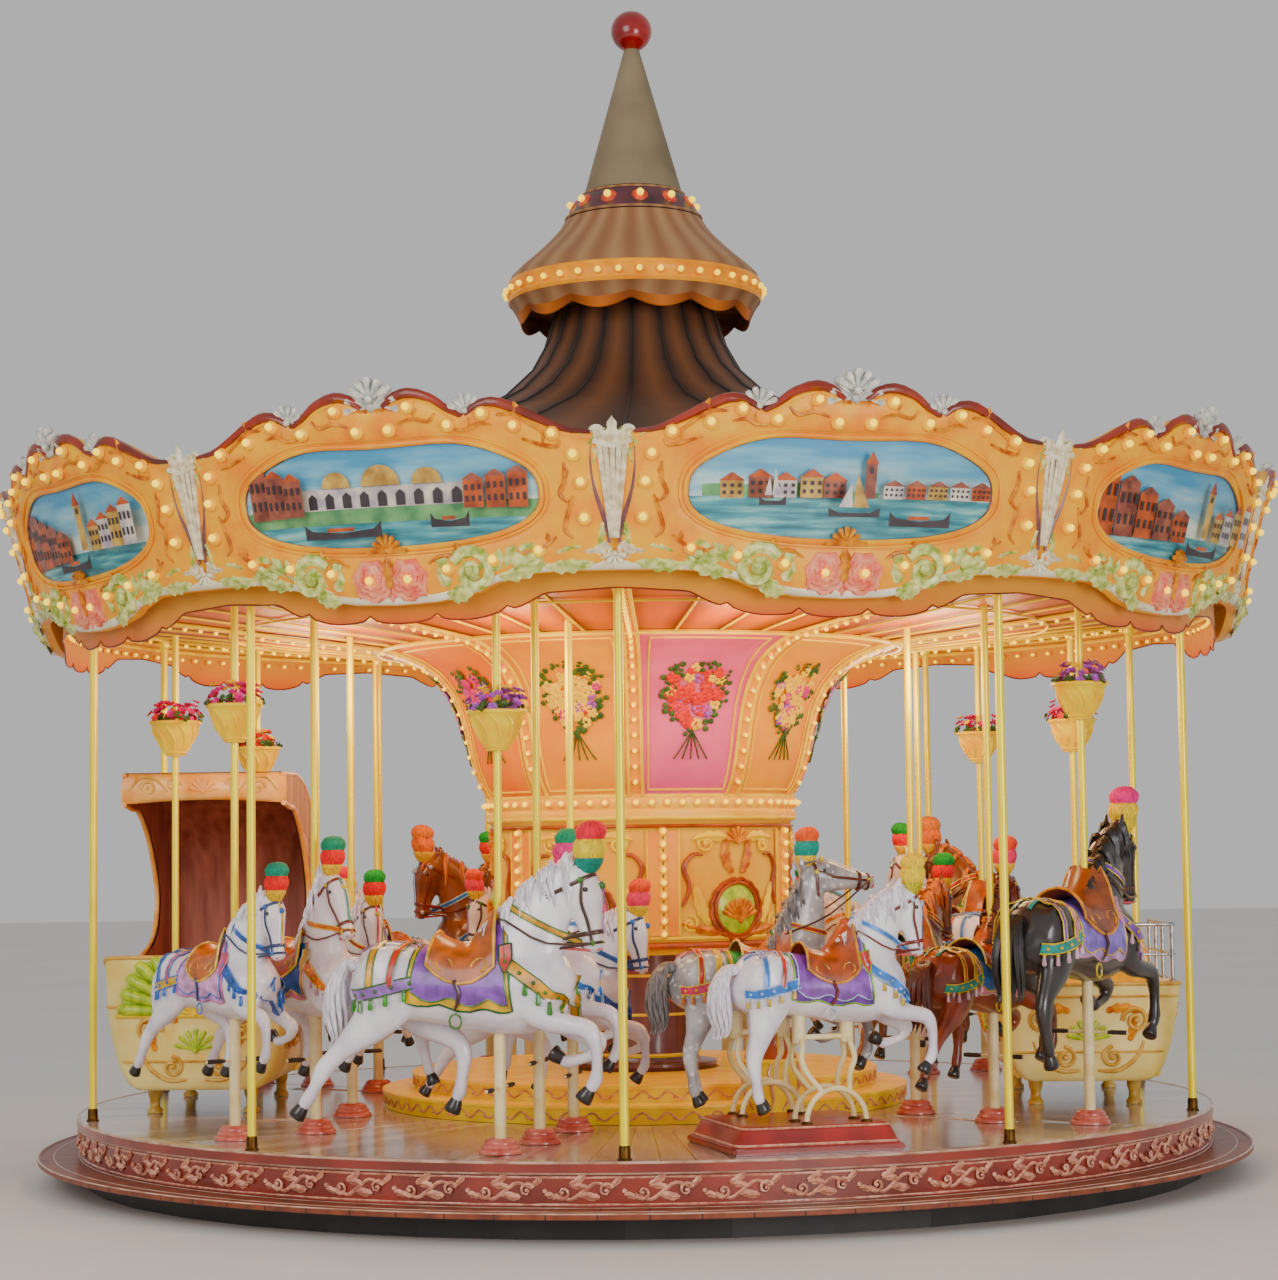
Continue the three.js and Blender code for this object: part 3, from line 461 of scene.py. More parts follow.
def plank_wood(name, dark, light, scale=9.0, turn_boards=0, roughness=0.35, coat=0.5):
    """Varnished timber with grain along Z, or across spokes where turn_boards is given."""
    paint = Paint(name, roughness)
    grain = paint.streaks((scale, scale, scale * 0.12), 2.0, 7)
    wood = paint.ramp(grain, [(0.3, dark), (0.7, light)])
    if turn_boards:
        turn, _ = paint.polar()
        seam = paint.math("LESS_THAN", paint.math("FRACT", paint.times(turn, float(turn_boards))), 0.03)
        wood = paint.blend(seam, wood, rgb("#24120c"))
    paint.colour(wood)
    paint.bump(grain, 0.0015, 0.4)
    return paint.coat(coat, 0.15).material


def gore_cloth(name, light, dark, gores):
    """Taut sheet in gores, each shaded towards its seams, with a fine weave."""
    paint = Paint(name, 0.6)
    mottle = paint.times(paint.noise(2.0, 5), 0.35)
    paint.colour(paint.ramp(paint.plus(paint.bays(gores), mottle), [(0.2, light), (0.62, dark)]))
    weave = paint.noise(400, 1)
    paint.bump(weave, 0.0005, 0.3)
    return paint.material


def floor_material():
    paint = Paint("studio_floor", 0.7)
    paint.colour(paint.ramp(paint.noise(0.4, 3), [(0.3, "#dedcd8"), (0.7, "#e4e2de")]))
    return paint.material


def coat_paint(name, light, dark, dapple, code_dapple):
    """A horse's enamel coat: shaded, with soft dapples."""
    paint = Paint(name, 0.28)
    base = paint.ramp(paint.noise(5.0, 4), [(0.3, dark), (0.65, light)])
    cells = paint.nodes.new("ShaderNodeTexVoronoi")
    cells.inputs["Scale"].default_value = 22
    paint.links.new(paint.place, cells.inputs["Vector"])
    spots = paint.times(paint.math("LESS_THAN", cells.outputs["Distance"], 0.3), dapple)
    paint.colour(paint.blend(spots, base, rgb(code_dapple)))
    fine = paint.noise(120, 2)
    paint.bump(fine, 0.0005, 0.25)
    return paint.coat(0.45, 0.12).material


MATERIALS = {}


# Name, colour, its shade, scale of the patches, roughness, coat, grain, and the strength of its painted glow,
# which stands in for the bulbs' light
GLOSS_PAINTS = {
    "bulb_cup": ("bulb_cup_paint", "#ffca30", "#ee9c1c", 9, 0.4, 0.08, 60, 0.12),
    "nosing": ("nosing_lacquer", "#d6b8a4", "#a07864", 8, 0.3, 0.4),
    "skirt": ("skirt_enamel", "#924036", "#6a2c24", 2.5, 0.3, 0.4),
    "gilt": ("gilt_relief", "#e0ac94", "#ac7464", 30, 0.3, 0.4),
    "frame": ("frame_enamel", "#33302d", "#1f1d1b", 3, 0.5, 0.1),
    "cup": ("cup_enamel", "#c9776b", "#a3463d", 14, 0.3, 0.5),
    "tube": ("cream_tube_enamel", "#f2e4bd", "#dcc893", 8, 0.35),
    "grip": ("grip_rubber", "#3b2c26", "#241a16", 30, 0.55, 0.0),
    "board": ("board_cream_orange", "#f0b81c", "#e08c0c", 5, 0.42, 0.08, 60, 0.06),
    "board_edge": ("board_red_orange", "#8e3414", "#541a0a", 5, 0.35, 0.4),
    "board_scroll": ("board_peach_scroll", "#dc9c34", "#a4500e", 18, 0.4, 0.08, 60, 0.05),
    "acanthus": ("acanthus_cream_green", "#ecebac", "#90a050", 22, 0.4),
    "silver": ("shell_silver_blue", "#e6e2d6", "#a7a9a8", 26, 0.35),
    "pink": ("cartouche_pink", "#ffa68a", "#e2685a", 20, 0.4),
    "trim": ("lower_white_trim", "#fff6e2", "#dccfb0", 9, 0.35),
    "soffit": ("soffit_ochre", "#d09610", "#a06c06", 4, 0.5, 0.08, 60, 0.05),
    "plum": ("plum_shadow_line", "#8a5a5c", "#5c3540", 12, 0.4),
    "peach": ("panel_peach", "#f29034", "#de701a", 2.5, 0.45, 0.08, 60, 0.06),
    "rose": ("panel_rose", "#ea7c9c", "#ce5a84", 2.5, 0.45, 0.08, 60, 0.05),
    "lemon": ("panel_lemon", "#f0ae22", "#e29012", 2.5, 0.45, 0.08, 60, 0.06),
    "cream": ("cream_enamel", "#f6da62", "#e4b63c", 7, 0.4, 0.08, 60, 0.05),
    "terracotta": ("terracotta_enamel", "#b0582c", "#83401f", 9, 0.4),
    "drum": ("drum_orange_cream", "#ffd27c", "#f5b055", 3, 0.42, 0.08, 60, 0.05),
    "lime": ("lime_enamel", "#c9dc6e", "#94b340", 25, 0.35),
    "lantern": ("lantern_purple", "#5a2a30", "#35171c", 6, 0.4),
    "rosette": ("rosette_orange_red", "#e8653a", "#b03a1e", 20, 0.35),
    "golden": ("golden_enamel", "#f0a800", "#d08200", 6, 0.38, 0.08, 60, 0.2),
    "pilaster": ("pilaster_cream", "#f4ead0", "#bfae90", 26, 0.4),
    "cornice": ("cornice_orange_cream", "#f8c48a", "#e09a56", 6, 0.35, 0.4),
    "spire": ("spire_sheet", "#8e806a", "#746852", 2.5, 0.6, 0.0, 200),
    "ball": ("ball_red", "#b0242a", "#7c141a", 5, 0.22, 0.6),
    "hull": ("hull_cream", "#f7ecb0", "#e6cd80", 4, 0.38),
    "scroll_brown": ("scroll_brown", "#e2c078", "#b98c46", 12, 0.4),
    "stand": ("stand_red", "#9a2c22", "#701d18", 4, 0.35, 0.4),
    "leaf": ("leaf_green", "#4f6b38", "#2e4524", 30, 0.6, 0.0),
    "magenta": ("petal_magenta", "#d83a86", "#b02468", 40, 0.6, 0.0),
    "violet": ("petal_violet", "#b46bc0", "#7d4496", 40, 0.6, 0.0),
    "petal_red": ("petal_red", "#e0443a", "#b52a24", 40, 0.6, 0.0),
    "petal_yellow": ("petal_yellow", "#ffd84a", "#e8b428", 40, 0.6, 0.0),
    "wall_pink": ("picture_rose_wall", "#a0604c", "#623028", 12, 0.5),
    "wall_sand": ("picture_sand_wall", "#d2b070", "#94703e", 12, 0.5),
    "wall_white": ("picture_white_wall", "#e0d6c6", "#a296a0", 12, 0.5),
    "shade": ("picture_shadow", "#3a3034", "#241c22", 12, 0.5),
    "meadow": ("picture_green", "#86b07c", "#4f7f58", 9, 0.5),
    "coral": ("picture_coral", "#c0623a", "#7e3820", 12, 0.5),
}
# Name, dark and light colour, scale of the grain, boards round the axis, roughness, coat
PLANK_WOODS = {
    "step": ("step_timber", "#5e2c20", "#8a4c36", 6, 90, 0.5, 0.15),
    "column": ("column_stain", "#4b2a2c", "#7a4a44", 8),
    "hood": ("hood_boards", "#86604c", "#be967c", 7, 0, 0.6, 0.0),
    "hood_in": ("hood_lining", "#70362c", "#a86a5c", 7, 0, 0.5, 0.1),
}


def make_materials():
    m = MATERIALS
    for maker, table in ((gloss_paint, GLOSS_PAINTS), (plank_wood, PLANK_WOODS)):
        for key, values in table.items():
            m[key] = maker(*values)
    m["bulb"] = bulb_glass()
    m["deck"] = deck_wood()
    m["brass"] = brass_paint()
    m["bronze"] = metal("post_socket_bronze", "#6d5234", "#3d2c1c", 0.4)
    m["valance"] = valance_cloth()
    m["ceiling"] = gore_paint("ceiling_red_orange", "#c8682f", "#8a3c1e", 40)
    m["roof"] = gore_cloth("roof_sheet", "#6b4630", "#38231a", 20)
    m["bell"] = gore_cloth("bell_sheet", "#a88464", "#8c6448", 24)
    m["copper"] = gore_cloth("copper_skirt", "#c87840", "#8a4c2a", 12)
    m["steel"] = metal("rail_steel", "#d9dadb", "#9b9ea0", 0.25)
    m["sky"] = sky_paint()
    m["water"] = water_paint()


def gore_paint(name, light, dark, gores):
    """Painted sheet in narrow bays: each one lighter in its middle."""
    paint = Paint(name, 0.45)
    mottle = paint.times(paint.noise(3), 0.2)
    paint.colour(paint.ramp(paint.plus(paint.bays(gores), mottle), [(0.25, light), (0.55, dark)]))
    paint.bump(paint.noise(80, 2), 0.0006, 0.3)
    return paint.material


def valance_cloth():
    """Woven cloth, ochre above and orange at its hem."""
    paint = Paint("valance_weave", 0.75)
    fade = paint.plus(paint.between_heights(2.50, 2.70), paint.times(paint.noise(6), 0.2))
    paint.colour(paint.ramp(fade, [(0.15, "#cc6410"), (0.5, "#d48a0e"), (1.0, "#d09812")]))
    weave = paint.nodes.new("ShaderNodeTexWave")
    weave.inputs["Scale"].default_value = 220
    paint.links.new(paint.place, weave.inputs["Vector"])
    paint.bump(weave.outputs["Fac"], 0.0005, 0.3)
    paint.shader.inputs["Sheen Weight"].default_value = 0.3
    return paint.material


def sky_paint():
    """A painted sky: deep blue above, pale at the horizon, with long clouds."""
    paint = Paint("picture_sky", 0.45)
    clouds = paint.times(paint.math("SUBTRACT", paint.streaks((2.5, 2.5, 14), 1.0, 7), 0.5), 1.6)
    paint.colour(paint.ramp(paint.math("SUBTRACT", paint.between_heights(3.0, 3.3), clouds),
                            [(0.0, "#e8ecdf"), (0.25, "#b5cfd0"), (0.6, "#7fb0c4"), (1.0, "#4f8db0")]))
    paint.bump(paint.noise(70, 3), 0.0006, 0.4)
    return paint.coat(0.3).material


def water_paint():
    paint = Paint("picture_water", 0.4)
    paint.colour(paint.ramp(paint.streaks((4, 4, 40), 1.0, 5),
                            [(0.3, "#2f6470"), (0.52, "#5c98a0"), (0.74, "#a9cfc6")]))
    paint.bump(paint.noise(70, 3), 0.0006, 0.4)
    return paint.coat(0.3).material


# Stage, light and camera

FLOOR_SIZE = 60
SKY_STRENGTH = 0.62
KEY_POWER, FILL_POWER, BULB_POWER = 880, 800, 26  # watts; the last one for the bulbs of a section
CAMERA_DISTANCE, CAMERA_DEG, CAMERA_HEIGHT = 16.21, 1.78, 1.436
CAMERA_PITCH, CAMERA_LEAN = 4.27, 0.73
LENS, SENSOR = 78.7, 36


def build_stage():
    """Bare studio floor."""
    bm = bmesh.new()
    bmesh.ops.create_grid(bm, x_segments=1, y_segments=1, size=FLOOR_SIZE)
    floor = new_object("floor", mesh_from("floor", bm))
    floor.data.materials.append(floor_material())


def add_area(name, place, target, size, power, colour):
    light = bpy.data.lights.new(name, "AREA")
    light.size = size
    light.energy = power
    light.color = colour
    lamp = new_object(name, light)
    lamp.location = place
    lamp.rotation_euler = (Vector(target) - Vector(place)).to_track_quat("-Z", "Y").to_euler()


def build_light():
    """Even studio light, with the bulbs' warmth under the canopy."""
    world = bpy.data.worlds.new("studio")
    bpy.context.scene.world = world
    world.use_nodes = True
    sky = world.node_tree.nodes["Background"]
    sky.inputs["Color"].default_value = (0.90, 0.89, 0.89, 1)
    sky.inputs["Strength"].default_value = SKY_STRENGTH
    add_area("key", (-7, -14, 7), (0, 0, 2), 8, KEY_POWER, (1, 0.98, 0.95))
    add_area("fill", (8, -14, 3), (0, 0, 1.5), 5, FILL_POWER, (1, 0.98, 0.97))
    # The bulbs' own warm light under the canopy
    for i in range(SECTIONS):
        light = bpy.data.lights.new(f"warm_{i}", "POINT")
        light.energy = BULB_POWER
        light.color = (1, 0.80, 0.42)
        light.shadow_soft_size = 0.25
        lamp = new_object(f"warm_{i}", light)
        lamp.location = on_circle(section_angle(i), 2.0, DECK + 2.35)


def build_camera():
    """Eye, pitch and lean that a camera fitted to the photograph gives."""
    pitch, lean = radians(CAMERA_PITCH), radians(CAMERA_LEAN)
    data = bpy.data.cameras.new("camera")
    data.sensor_width = SENSOR
    data.lens = LENS
    camera = new_object("camera", data)
    camera.location = on_circle(CAMERA_DEG, CAMERA_DISTANCE, DECK + CAMERA_HEIGHT)
    forward = (-on_circle(CAMERA_DEG, 1)) * cos(pitch) + Vector((0, 0, sin(pitch)))
    right = forward.cross(Vector((0, 0, 1))).normalized()
    up = right.cross(forward)
    tipped_up = up * cos(lean) + right * sin(lean)
    tipped_right = forward.cross(tipped_up)
    camera.rotation_euler = Matrix((tipped_right, tipped_up, -forward)).transposed().to_euler()
    bpy.context.scene.camera = camera


# Shared ornament. A surface is a function of (u, z, out): metres along it, height, and metres proud of it.

def add_bulb(bm, place, out, radius=0.015, cup=0.024):
    """A bulb (material 0) on a domed boss (material 1)."""
    place, out = Vector(place), Vector(out).normalized()
    boss = [(-0.004, cup), (0.004, cup * 0.96), (0.010, cup * 0.74), (0.012, cup * 0.4)]
    add_tube(bm, [place + out * rise for rise, _ in boss], [reach for _, reach in boss], 9, material=1)
    add_ball(bm, place + out * (0.009 + radius * 0.7), radius, 2 if radius > 0.016 else 1, 0)


def bulbs_mesh(name, places, radius=0.013, cup=0.024):
    bm = bmesh.new()
    for place, out in places:
        add_bulb(bm, place, out, radius, cup)
    return mesh_from(name, bm, 60)


def add_spiral(bm, surface, u, z, reach, start, turns, thick, material, sides=6, sign=1):
    """A volute that winds in from the reach to its eye."""
    steps = int(12 * abs(turns))
    line, radii = [], []
    for i in range(steps + 1):
        t = i / steps
        angle = radians(start) + sign * 2 * pi * turns * t
        r = reach * (1 - 0.88 * t)
        line.append(surface(u + r * cos(angle), z + r * sin(angle), thick * 0.5 + 0.012 * t))
        radii.append(thick * (1 - 0.55 * t))
    add_tube(bm, line, radii, sides, material=material)
    add_ball(bm, surface(u, z, thick + 0.006), thick * 1.1, 1, material)


def add_scroll(bm, surface, points, thick, material, sides=6, steps=6, out=0.006):
    """A tapered tube through (u, z) points on a surface."""
    line = smooth_line([(u, 0, z) for u, z in points], steps)
    count = len(line) - 1
    path = [surface(p.x, p.z, out) for p in line]
    radii = [thick * (0.35 + 0.65 * sin(pi * min(0.98, 0.12 + 0.8 * i / count))) for i in range(count + 1)]
    add_tube(bm, path, radii, sides, material=material)


def add_leaf(bm, surface, u, z, direction, length, width, material, curl=0.0, lobes=4, lift=0.004):
    """A carved leaf with a midrib and lobed edges, lying on a surface."""
    rows = []
    steps = 3 * lobes
    angle = radians(direction)
    x, y = u, z
    for i in range(steps + 1):
        t = i / steps
        half = (width * (sin(pi * min(1, 0.08 + 0.92 * t)) ** 0.7)
                * (1 + 0.22 * sin(2 * pi * lobes * t)) + 0.001)
        side_u, side_z = -sin(angle), cos(angle)
        row = []
        for k in (-1, -0.55, 0, 0.55, 1):
            proud = lift + 0.35 * half * (1 - abs(k)) + (0.006 if k == 0 else 0) + 0.25 * width * t * t
            row.append(surface(x + side_u * half * k, y + side_z * half * k, proud))
        rows.append(row)
        x += cos(angle) * length / steps
        y += sin(angle) * length / steps
        angle += radians(curl) / steps
    add_grid(bm, rows, material=material)


def add_shell(bm, surface, u, z, reach, start, end, ribs, material, thick=0.014, out=0.01):
    """A fan of ribs that swell towards a scalloped rim."""
    for i in range(ribs):
        angle = radians(start + (end - start) * i / (ribs - 1))
        line = [surface(u + reach * t * cos(angle), z + reach * t * sin(angle), out + 0.4 * thick * t)
                for t in (0.12, 0.4, 0.7, 0.9, 1.0)]
        add_tube(bm, line, [thick * 0.35, thick * 0.6, thick * 0.9, thick, thick * 0.6], 6, material=material)
    add_ball(bm, surface(u, z, out + thick * 0.6), thick * 1.2, 1, material)


# Rounding boards

ARC_RADIUS = 3.45  # turns metres along a board into degrees
WINDOW = {"half_deg": 12.6, "middle": 3.065, "up": 0.262, "down": 0.222}
TOP_ARCS = (
    ((0.9, 3.495), (1.7, 3.535), (3.0, 3.552), (4.6, 3.525), (6.0, 3.465), (7.0, 3.432)),
    ((7.2, 3.44), (8.0, 3.478), (9.3, 3.494), (11.0, 3.458), (12.8, 3.405), (14.6, 3.36), (16.4, 3.345)),
)
BOTTOM_EDGE = ((0, 2.587), (3.6, 2.595), (5.4, 2.612), (7, 2.632), (8.8, 2.675), (11.0, 2.71), (14, 2.718),
               (18, 2.718))
BOARD_BACK = -0.045
FULLNESS = 0.82  # power of the window's rim; 1 would make it an ellipse
BOARD_BULBS = (
    (1.3, 3.375), (2.9, 3.475), (5.9, 3.385), (8.5, 3.43), (10.8, 3.37), (13.6, 3.33), (15.1, 3.235),
    (15.6, 3.11), (15.8, 2.95), (12.2, 2.81), (8.6, 2.775), (4.9, 2.74), (1.65, 2.70),
)


def board_surface(u, z, out=0.0):
    """Point on the boards' cone for the section in front; u runs from the board's middle."""
    radius = RIM["cone_radius"] + RIM["slope"] * (z - RIM["cone_height"]) + out
    return on_circle(u / ARC_RADIUS * 180 / pi, radius, DECK + z)


def along(degrees):
    """Metres along a board for degrees from its middle."""
    return radians(degrees) * ARC_RADIUS


def between(points, x):
    """Height at x on a line of (x, height) points."""
    for (x0, y0), (x1, y1) in zip(points, points[1:]):
        if x <= x1:
            t = (x - x0) / (x1 - x0)
            t = t * t * (3 - 2 * t) * 0.35 + t * 0.65
            return y0 + (y1 - y0) * t
    return points[-1][1]


def top_edge(degrees):
    arcs = [p for arc in TOP_ARCS for p in arc]
    return between([(0, 3.49)] + arcs + [(18, 3.345)], abs(degrees))


def window_wave(angle):
    """The frame's lip over the picture: a notch under the crest, with a swell on each side of it."""
    place = (angle / pi * 180 - 90 + 180) % 360 - 180
    if abs(place) > 75:
        return 0.0
    return 0.016 * cos(radians(place * 6)) * (1 - abs(place) / 75)


def window_point(angle):
    """Point (u, z) on the picture's rim; the rim is fuller than an ellipse and flatter below."""
    c, s = cos(angle), sin(angle)
    u = along(WINDOW["half_deg"]) * (abs(c) ** FULLNESS) * (1 if c > 0 else -1)
    reach = WINDOW["up"] if s > 0 else WINDOW["down"]
    z = WINDOW["middle"] + reach * (abs(s) ** FULLNESS) * (1 if s > 0 else -1)
    return u, z


def board_outline(columns=34):
    """The board's rim as (u, z) points, once round from the middle of its top."""
    degrees = [HALF_SECTION * i / columns for i in range(columns + 1)]
    right_top = [(along(d), top_edge(d)) for d in degrees]
    right_side = [(along(HALF_SECTION), z) for z in (3.22, 3.09, 2.96, 2.84)]
    bottom = [(along(d), between(BOTTOM_EDGE, d)) for d in reversed(degrees)]
    right = right_top + right_side + bottom
    left = [(-u, z) for u, z in reversed(right[1:-1])]
    return right + left


def build_board_meshes():
    """The carved frame that all ten boards share, and its bulbs."""
    bm = bmesh.new()
    outline = board_outline()
    inner = []
    for u, z in outline:
        angle = atan2((z - WINDOW["middle"]) / 0.30, u / along(15.5))
        u_in, z_in = window_point(angle)
        inner.append((u_in, z_in - window_wave(angle)))
    rows = []
    for t in (0, 0.06, 0.2, 0.4, 0.6, 0.8, 0.94, 1.0):
        swell = 0.004 + 0.03 * sin(pi * t) ** 0.6
        rows.append([board_surface(a + (c - a) * t, b + (d - b) * t, swell)
                     for (a, b), (c, d) in zip(inner, outline)])
    rows.append([board_surface(u, z, BOARD_BACK) for u, z in outline])
    rows.append([board_surface(u * 0.5, 3.06 + (z - 3.06) * 0.5, BOARD_BACK) for u, z in outline])
    add_grid(bm, rows, closed=True)
    # Moulding round the picture
    lip = []
    for i in range(80):
        u, z = window_point(2 * pi * i / 80)
        lip.append((u, z - window_wave(2 * pi * i / 80)))
    rim = [board_surface(u, z, 0.014) for u, z in lip]
    add_tube(bm, rim, 0.013, 6, closed=True, material=0)
    middle = WINDOW["middle"]
    bead = [board_surface(u * 1.035, middle + (z - middle) * 1.11, 0.026) for u, z in lip]
    add_tube(bm, bead, 0.007, 5, closed=True, material=0)
    edge = [board_surface(u * 0.985, middle + (z - middle) * 0.965, 0.010) for u, z in lip]
    add_tube(bm, edge, 0.005, 4, closed=True, material=7)
    for sign in (-1, 1):
        board_half(bm, sign)
    crest(bm)
    cartouche(bm)
    frame_mesh = mesh_from("board_frame", bm, 50, 0.52)
    places = []
    for degrees, z in BOARD_BULBS:
        for sign in (-1, 1):
            u = along(degrees) * sign
            foot, tip = board_surface(u, z, 0.036), board_surface(u, z, 0.06)
            places.append((foot, tip - foot))
    return frame_mesh, bulbs_mesh("board_bulbs", places, 0.019, 0.036)


# Degrees from the board's middle and heights over the deck; leaves also have a direction, a length and a curl
WANDERING_SCROLLS = (
    ((2.0, 3.40), (3.2, 3.42), (4.4, 3.405), (5.0, 3.44)),
    ((6.4, 3.36), (7.4, 3.36), (8.2, 3.385), (9.2, 3.375)),
    ((9.6, 3.42), (10.8, 3.42), (12.2, 3.37), (13.0, 3.33)),
    ((11.4, 3.31), (12.8, 3.28), (13.9, 3.27), (14.2, 3.30)),
    ((14.4, 3.20), (14.4, 3.12), (14.0, 3.06), (14.6, 3.02)),
    ((15.0, 3.05), (14.6, 2.98), (14.3, 2.90), (14.9, 2.86)),
    ((13.6, 2.87), (12.8, 2.83), (11.2, 2.80), (10.2, 2.82)),
    ((6.6, 2.80), (5.6, 2.80), (4.4, 2.80), (3.4, 2.77)),
)
SIDE_LEAVES = (
    (16.6, 3.02, 96, 0.20), (16.3, 3.14, 80, 0.20), (16.9, 3.20, 105, 0.17), (16.0, 3.26, 60, 0.13),
    (16.4, 2.90, 100, 0.16), (16.9, 2.80, 95, 0.15),
)
VOLUTE_LEAVES = ((4.7, 2.66, 100), (5.3, 2.72, 130), (8.6, 2.73, 60), (9.4, 2.76, 40), (10.2, 2.735, 15))
LOW_LEAVES = (
    (5.2, 2.65, 20, 0.22, 40), (5.6, 2.68, 60, 0.15, -50), (8.9, 2.70, 10, 0.24, 10),
    (9.4, 2.74, 35, 0.16, -40), (12.5, 2.74, 5, 0.24, -6), (13.0, 2.78, 30, 0.16, -30),
    (4.6, 2.63, -12, 0.14, 50),
)


def board_half(bm, sign):
    """Scrolls and leaves of one half; materials: 1 red-orange, 2 peach, 3 acanthus, 4 silver, 6 white."""
    surface = mirrored(board_surface, sign)
    for arc in TOP_ARCS:
        line = smooth_line([(along(d), 0, z - 0.012) for d, z in arc], 6)
        count = len(line) - 1
        radii = [0.026 - 0.012 * abs(2 * i / count - 0.8) for i in range(count + 1)]
        add_tube(bm, [surface(p.x, p.z, 0.016) for p in line], radii, 7, material=1)
        thin = [surface(p.x, p.z - 0.034, 0.024) for p in line]
        add_tube(bm, thin, 0.009, 5, material=0)
    add_spiral(bm, surface, along(1.15), 3.468, 0.036, 90, 1.2, 0.011, 1, sign=1)
    add_spiral(bm, surface, along(7.35), 3.405, 0.036, 90, 1.2, 0.011, 1, sign=1)
    band = []
    for rise, out in ((0.0, 0.0), (0.004, 0.018), (0.024, 0.024), (0.040, 0.019), (0.046, 0.0)):
        places = [HALF_SECTION * i / 40 for i in range(41)]
        band.append([surface(along(d), between(BOTTOM_EDGE, d) + rise, out) for d in places])
    add_grid(bm, band, material=6)
    # Small silver finials between the two arcs
    add_shell(bm, surface, along(7.25), 3.445, 0.085, 20, 160, 6, 4, 0.016)
    add_spiral(bm, surface, along(6.2), 3.405, 0.034, 20, 1.2, 0.010, 1, sign=-1)
    add_spiral(bm, surface, along(17.0), 3.30, 0.030, 60, 1.2, 0.009, 7, sign=-1)
    # Scrolls that wander between the bulbs
    for line in WANDERING_SCROLLS:
        points = [(along(d), z) for d, z in line]
        add_scroll(bm, surface, points, 0.011, 2, 5, 4, 0.034)
        add_spiral(bm, surface, points[-1][0], points[-1][1] + 0.012, 0.017, -90, 1.0, 0.006, 2, 5)
        add_leaf(bm, surface, *points[1], 60, 0.06, 0.014, 2, 60, 2, 0.03)
    # Leaves beside the fluted pilaster, and the big volutes under the picture
    for k, (degrees, z, direction, length) in enumerate(SIDE_LEAVES):
        add_leaf(bm, surface, along(degrees), z, direction, length, 0.03, 3, -35 if k % 2 else 40, 4, 0.012)
    add_spiral(bm, surface, along(6.9), 2.725, 0.105, 150, 1.5, 0.036, 3, 7, sign=-1)
    add_spiral(bm, surface, along(11.6), 2.785, 0.062, 180, 1.3, 0.026, 3, 6, sign=-1)
    for degrees, z, direction in VOLUTE_LEAVES:
        add_leaf(bm, surface, along(degrees), z, direction, 0.10, 0.030, 3, 30, 2, 0.03)
    for degrees, z, direction, length, curl in LOW_LEAVES:
        add_leaf(bm, surface, along(degrees), z, direction, length, 0.040, 3, curl, 4, 0.016)


def crest(bm):
    """Silver shell on top and two curled leaves under it."""
    add_shell(bm, board_surface, 0, 3.485, 0.135, -5, 185, 9, 4, 0.022)
    add_shell(bm, board_surface, 0, 3.52, 0.10, 25, 155, 5, 4, 0.019, 0.030)
    for sign in (-1, 1):
        add_spiral(bm, board_surface, sign * 0.062, 3.452, 0.034, 90, 1.2, 0.012, 4, sign=sign)
    for sign in (-1, 1):
        add_leaf(bm, board_surface, sign * 0.02, 3.46, 90 - sign * 70, 0.11, 0.02, 2, -sign * 60, 3, 0.02)
    add_shell(bm, board_surface, 0, 2.835, 0.075, 0, 180, 7, 2, 0.014, 0.03)
    add_tube(bm, [board_surface(u, 2.832, 0.036) for u in (-0.1, -0.05, 0, 0.05, 0.1)], 0.012, 6, material=2)


def cartouche(bm):
    """Pink ruffled shield at the bottom, in two round halves."""
    for sign in (-1, 1):
        for ring, reach in enumerate((0.088, 0.062, 0.038)):
            line = []
            for i in range(22):
                angle = 2 * pi * i / 22
                ruffle = 0.008 * sin(7 * angle)
                line.append(board_surface(sign * 0.092 + (reach + ruffle) * cos(angle),
                                          2.70 + (reach + ruffle) * sin(angle) * 0.95, 0.026 + 0.008 * ring))
            add_tube(bm, line, 0.017, 5, closed=True, material=5)
    for i in range(7):
        u = (i - 3) * 0.05
        z = 2.622 + 0.006 * abs(i - 3)
        add_leaf(bm, board_surface, u, z + 0.05, -90 + (i - 3) * 6, 0.075, 0.02, 5, 0, 2, 0.02)
    add_leaf(bm, board_surface, 0, 2.66, 90, 0.15, 0.025, 2, 0, 3, 0.045)


PICTURE_LOOKS = "sky water wall_pink wall_sand wall_white shade meadow coral"
PAINT_DEPTH, PAINT_STEP = 0.004, 0.0011  # each shape of a picture lies a step over the one before
SKY, WATER, ROSE, SAND, WHITE, SHADE, MEADOW, CORAL = range(8)


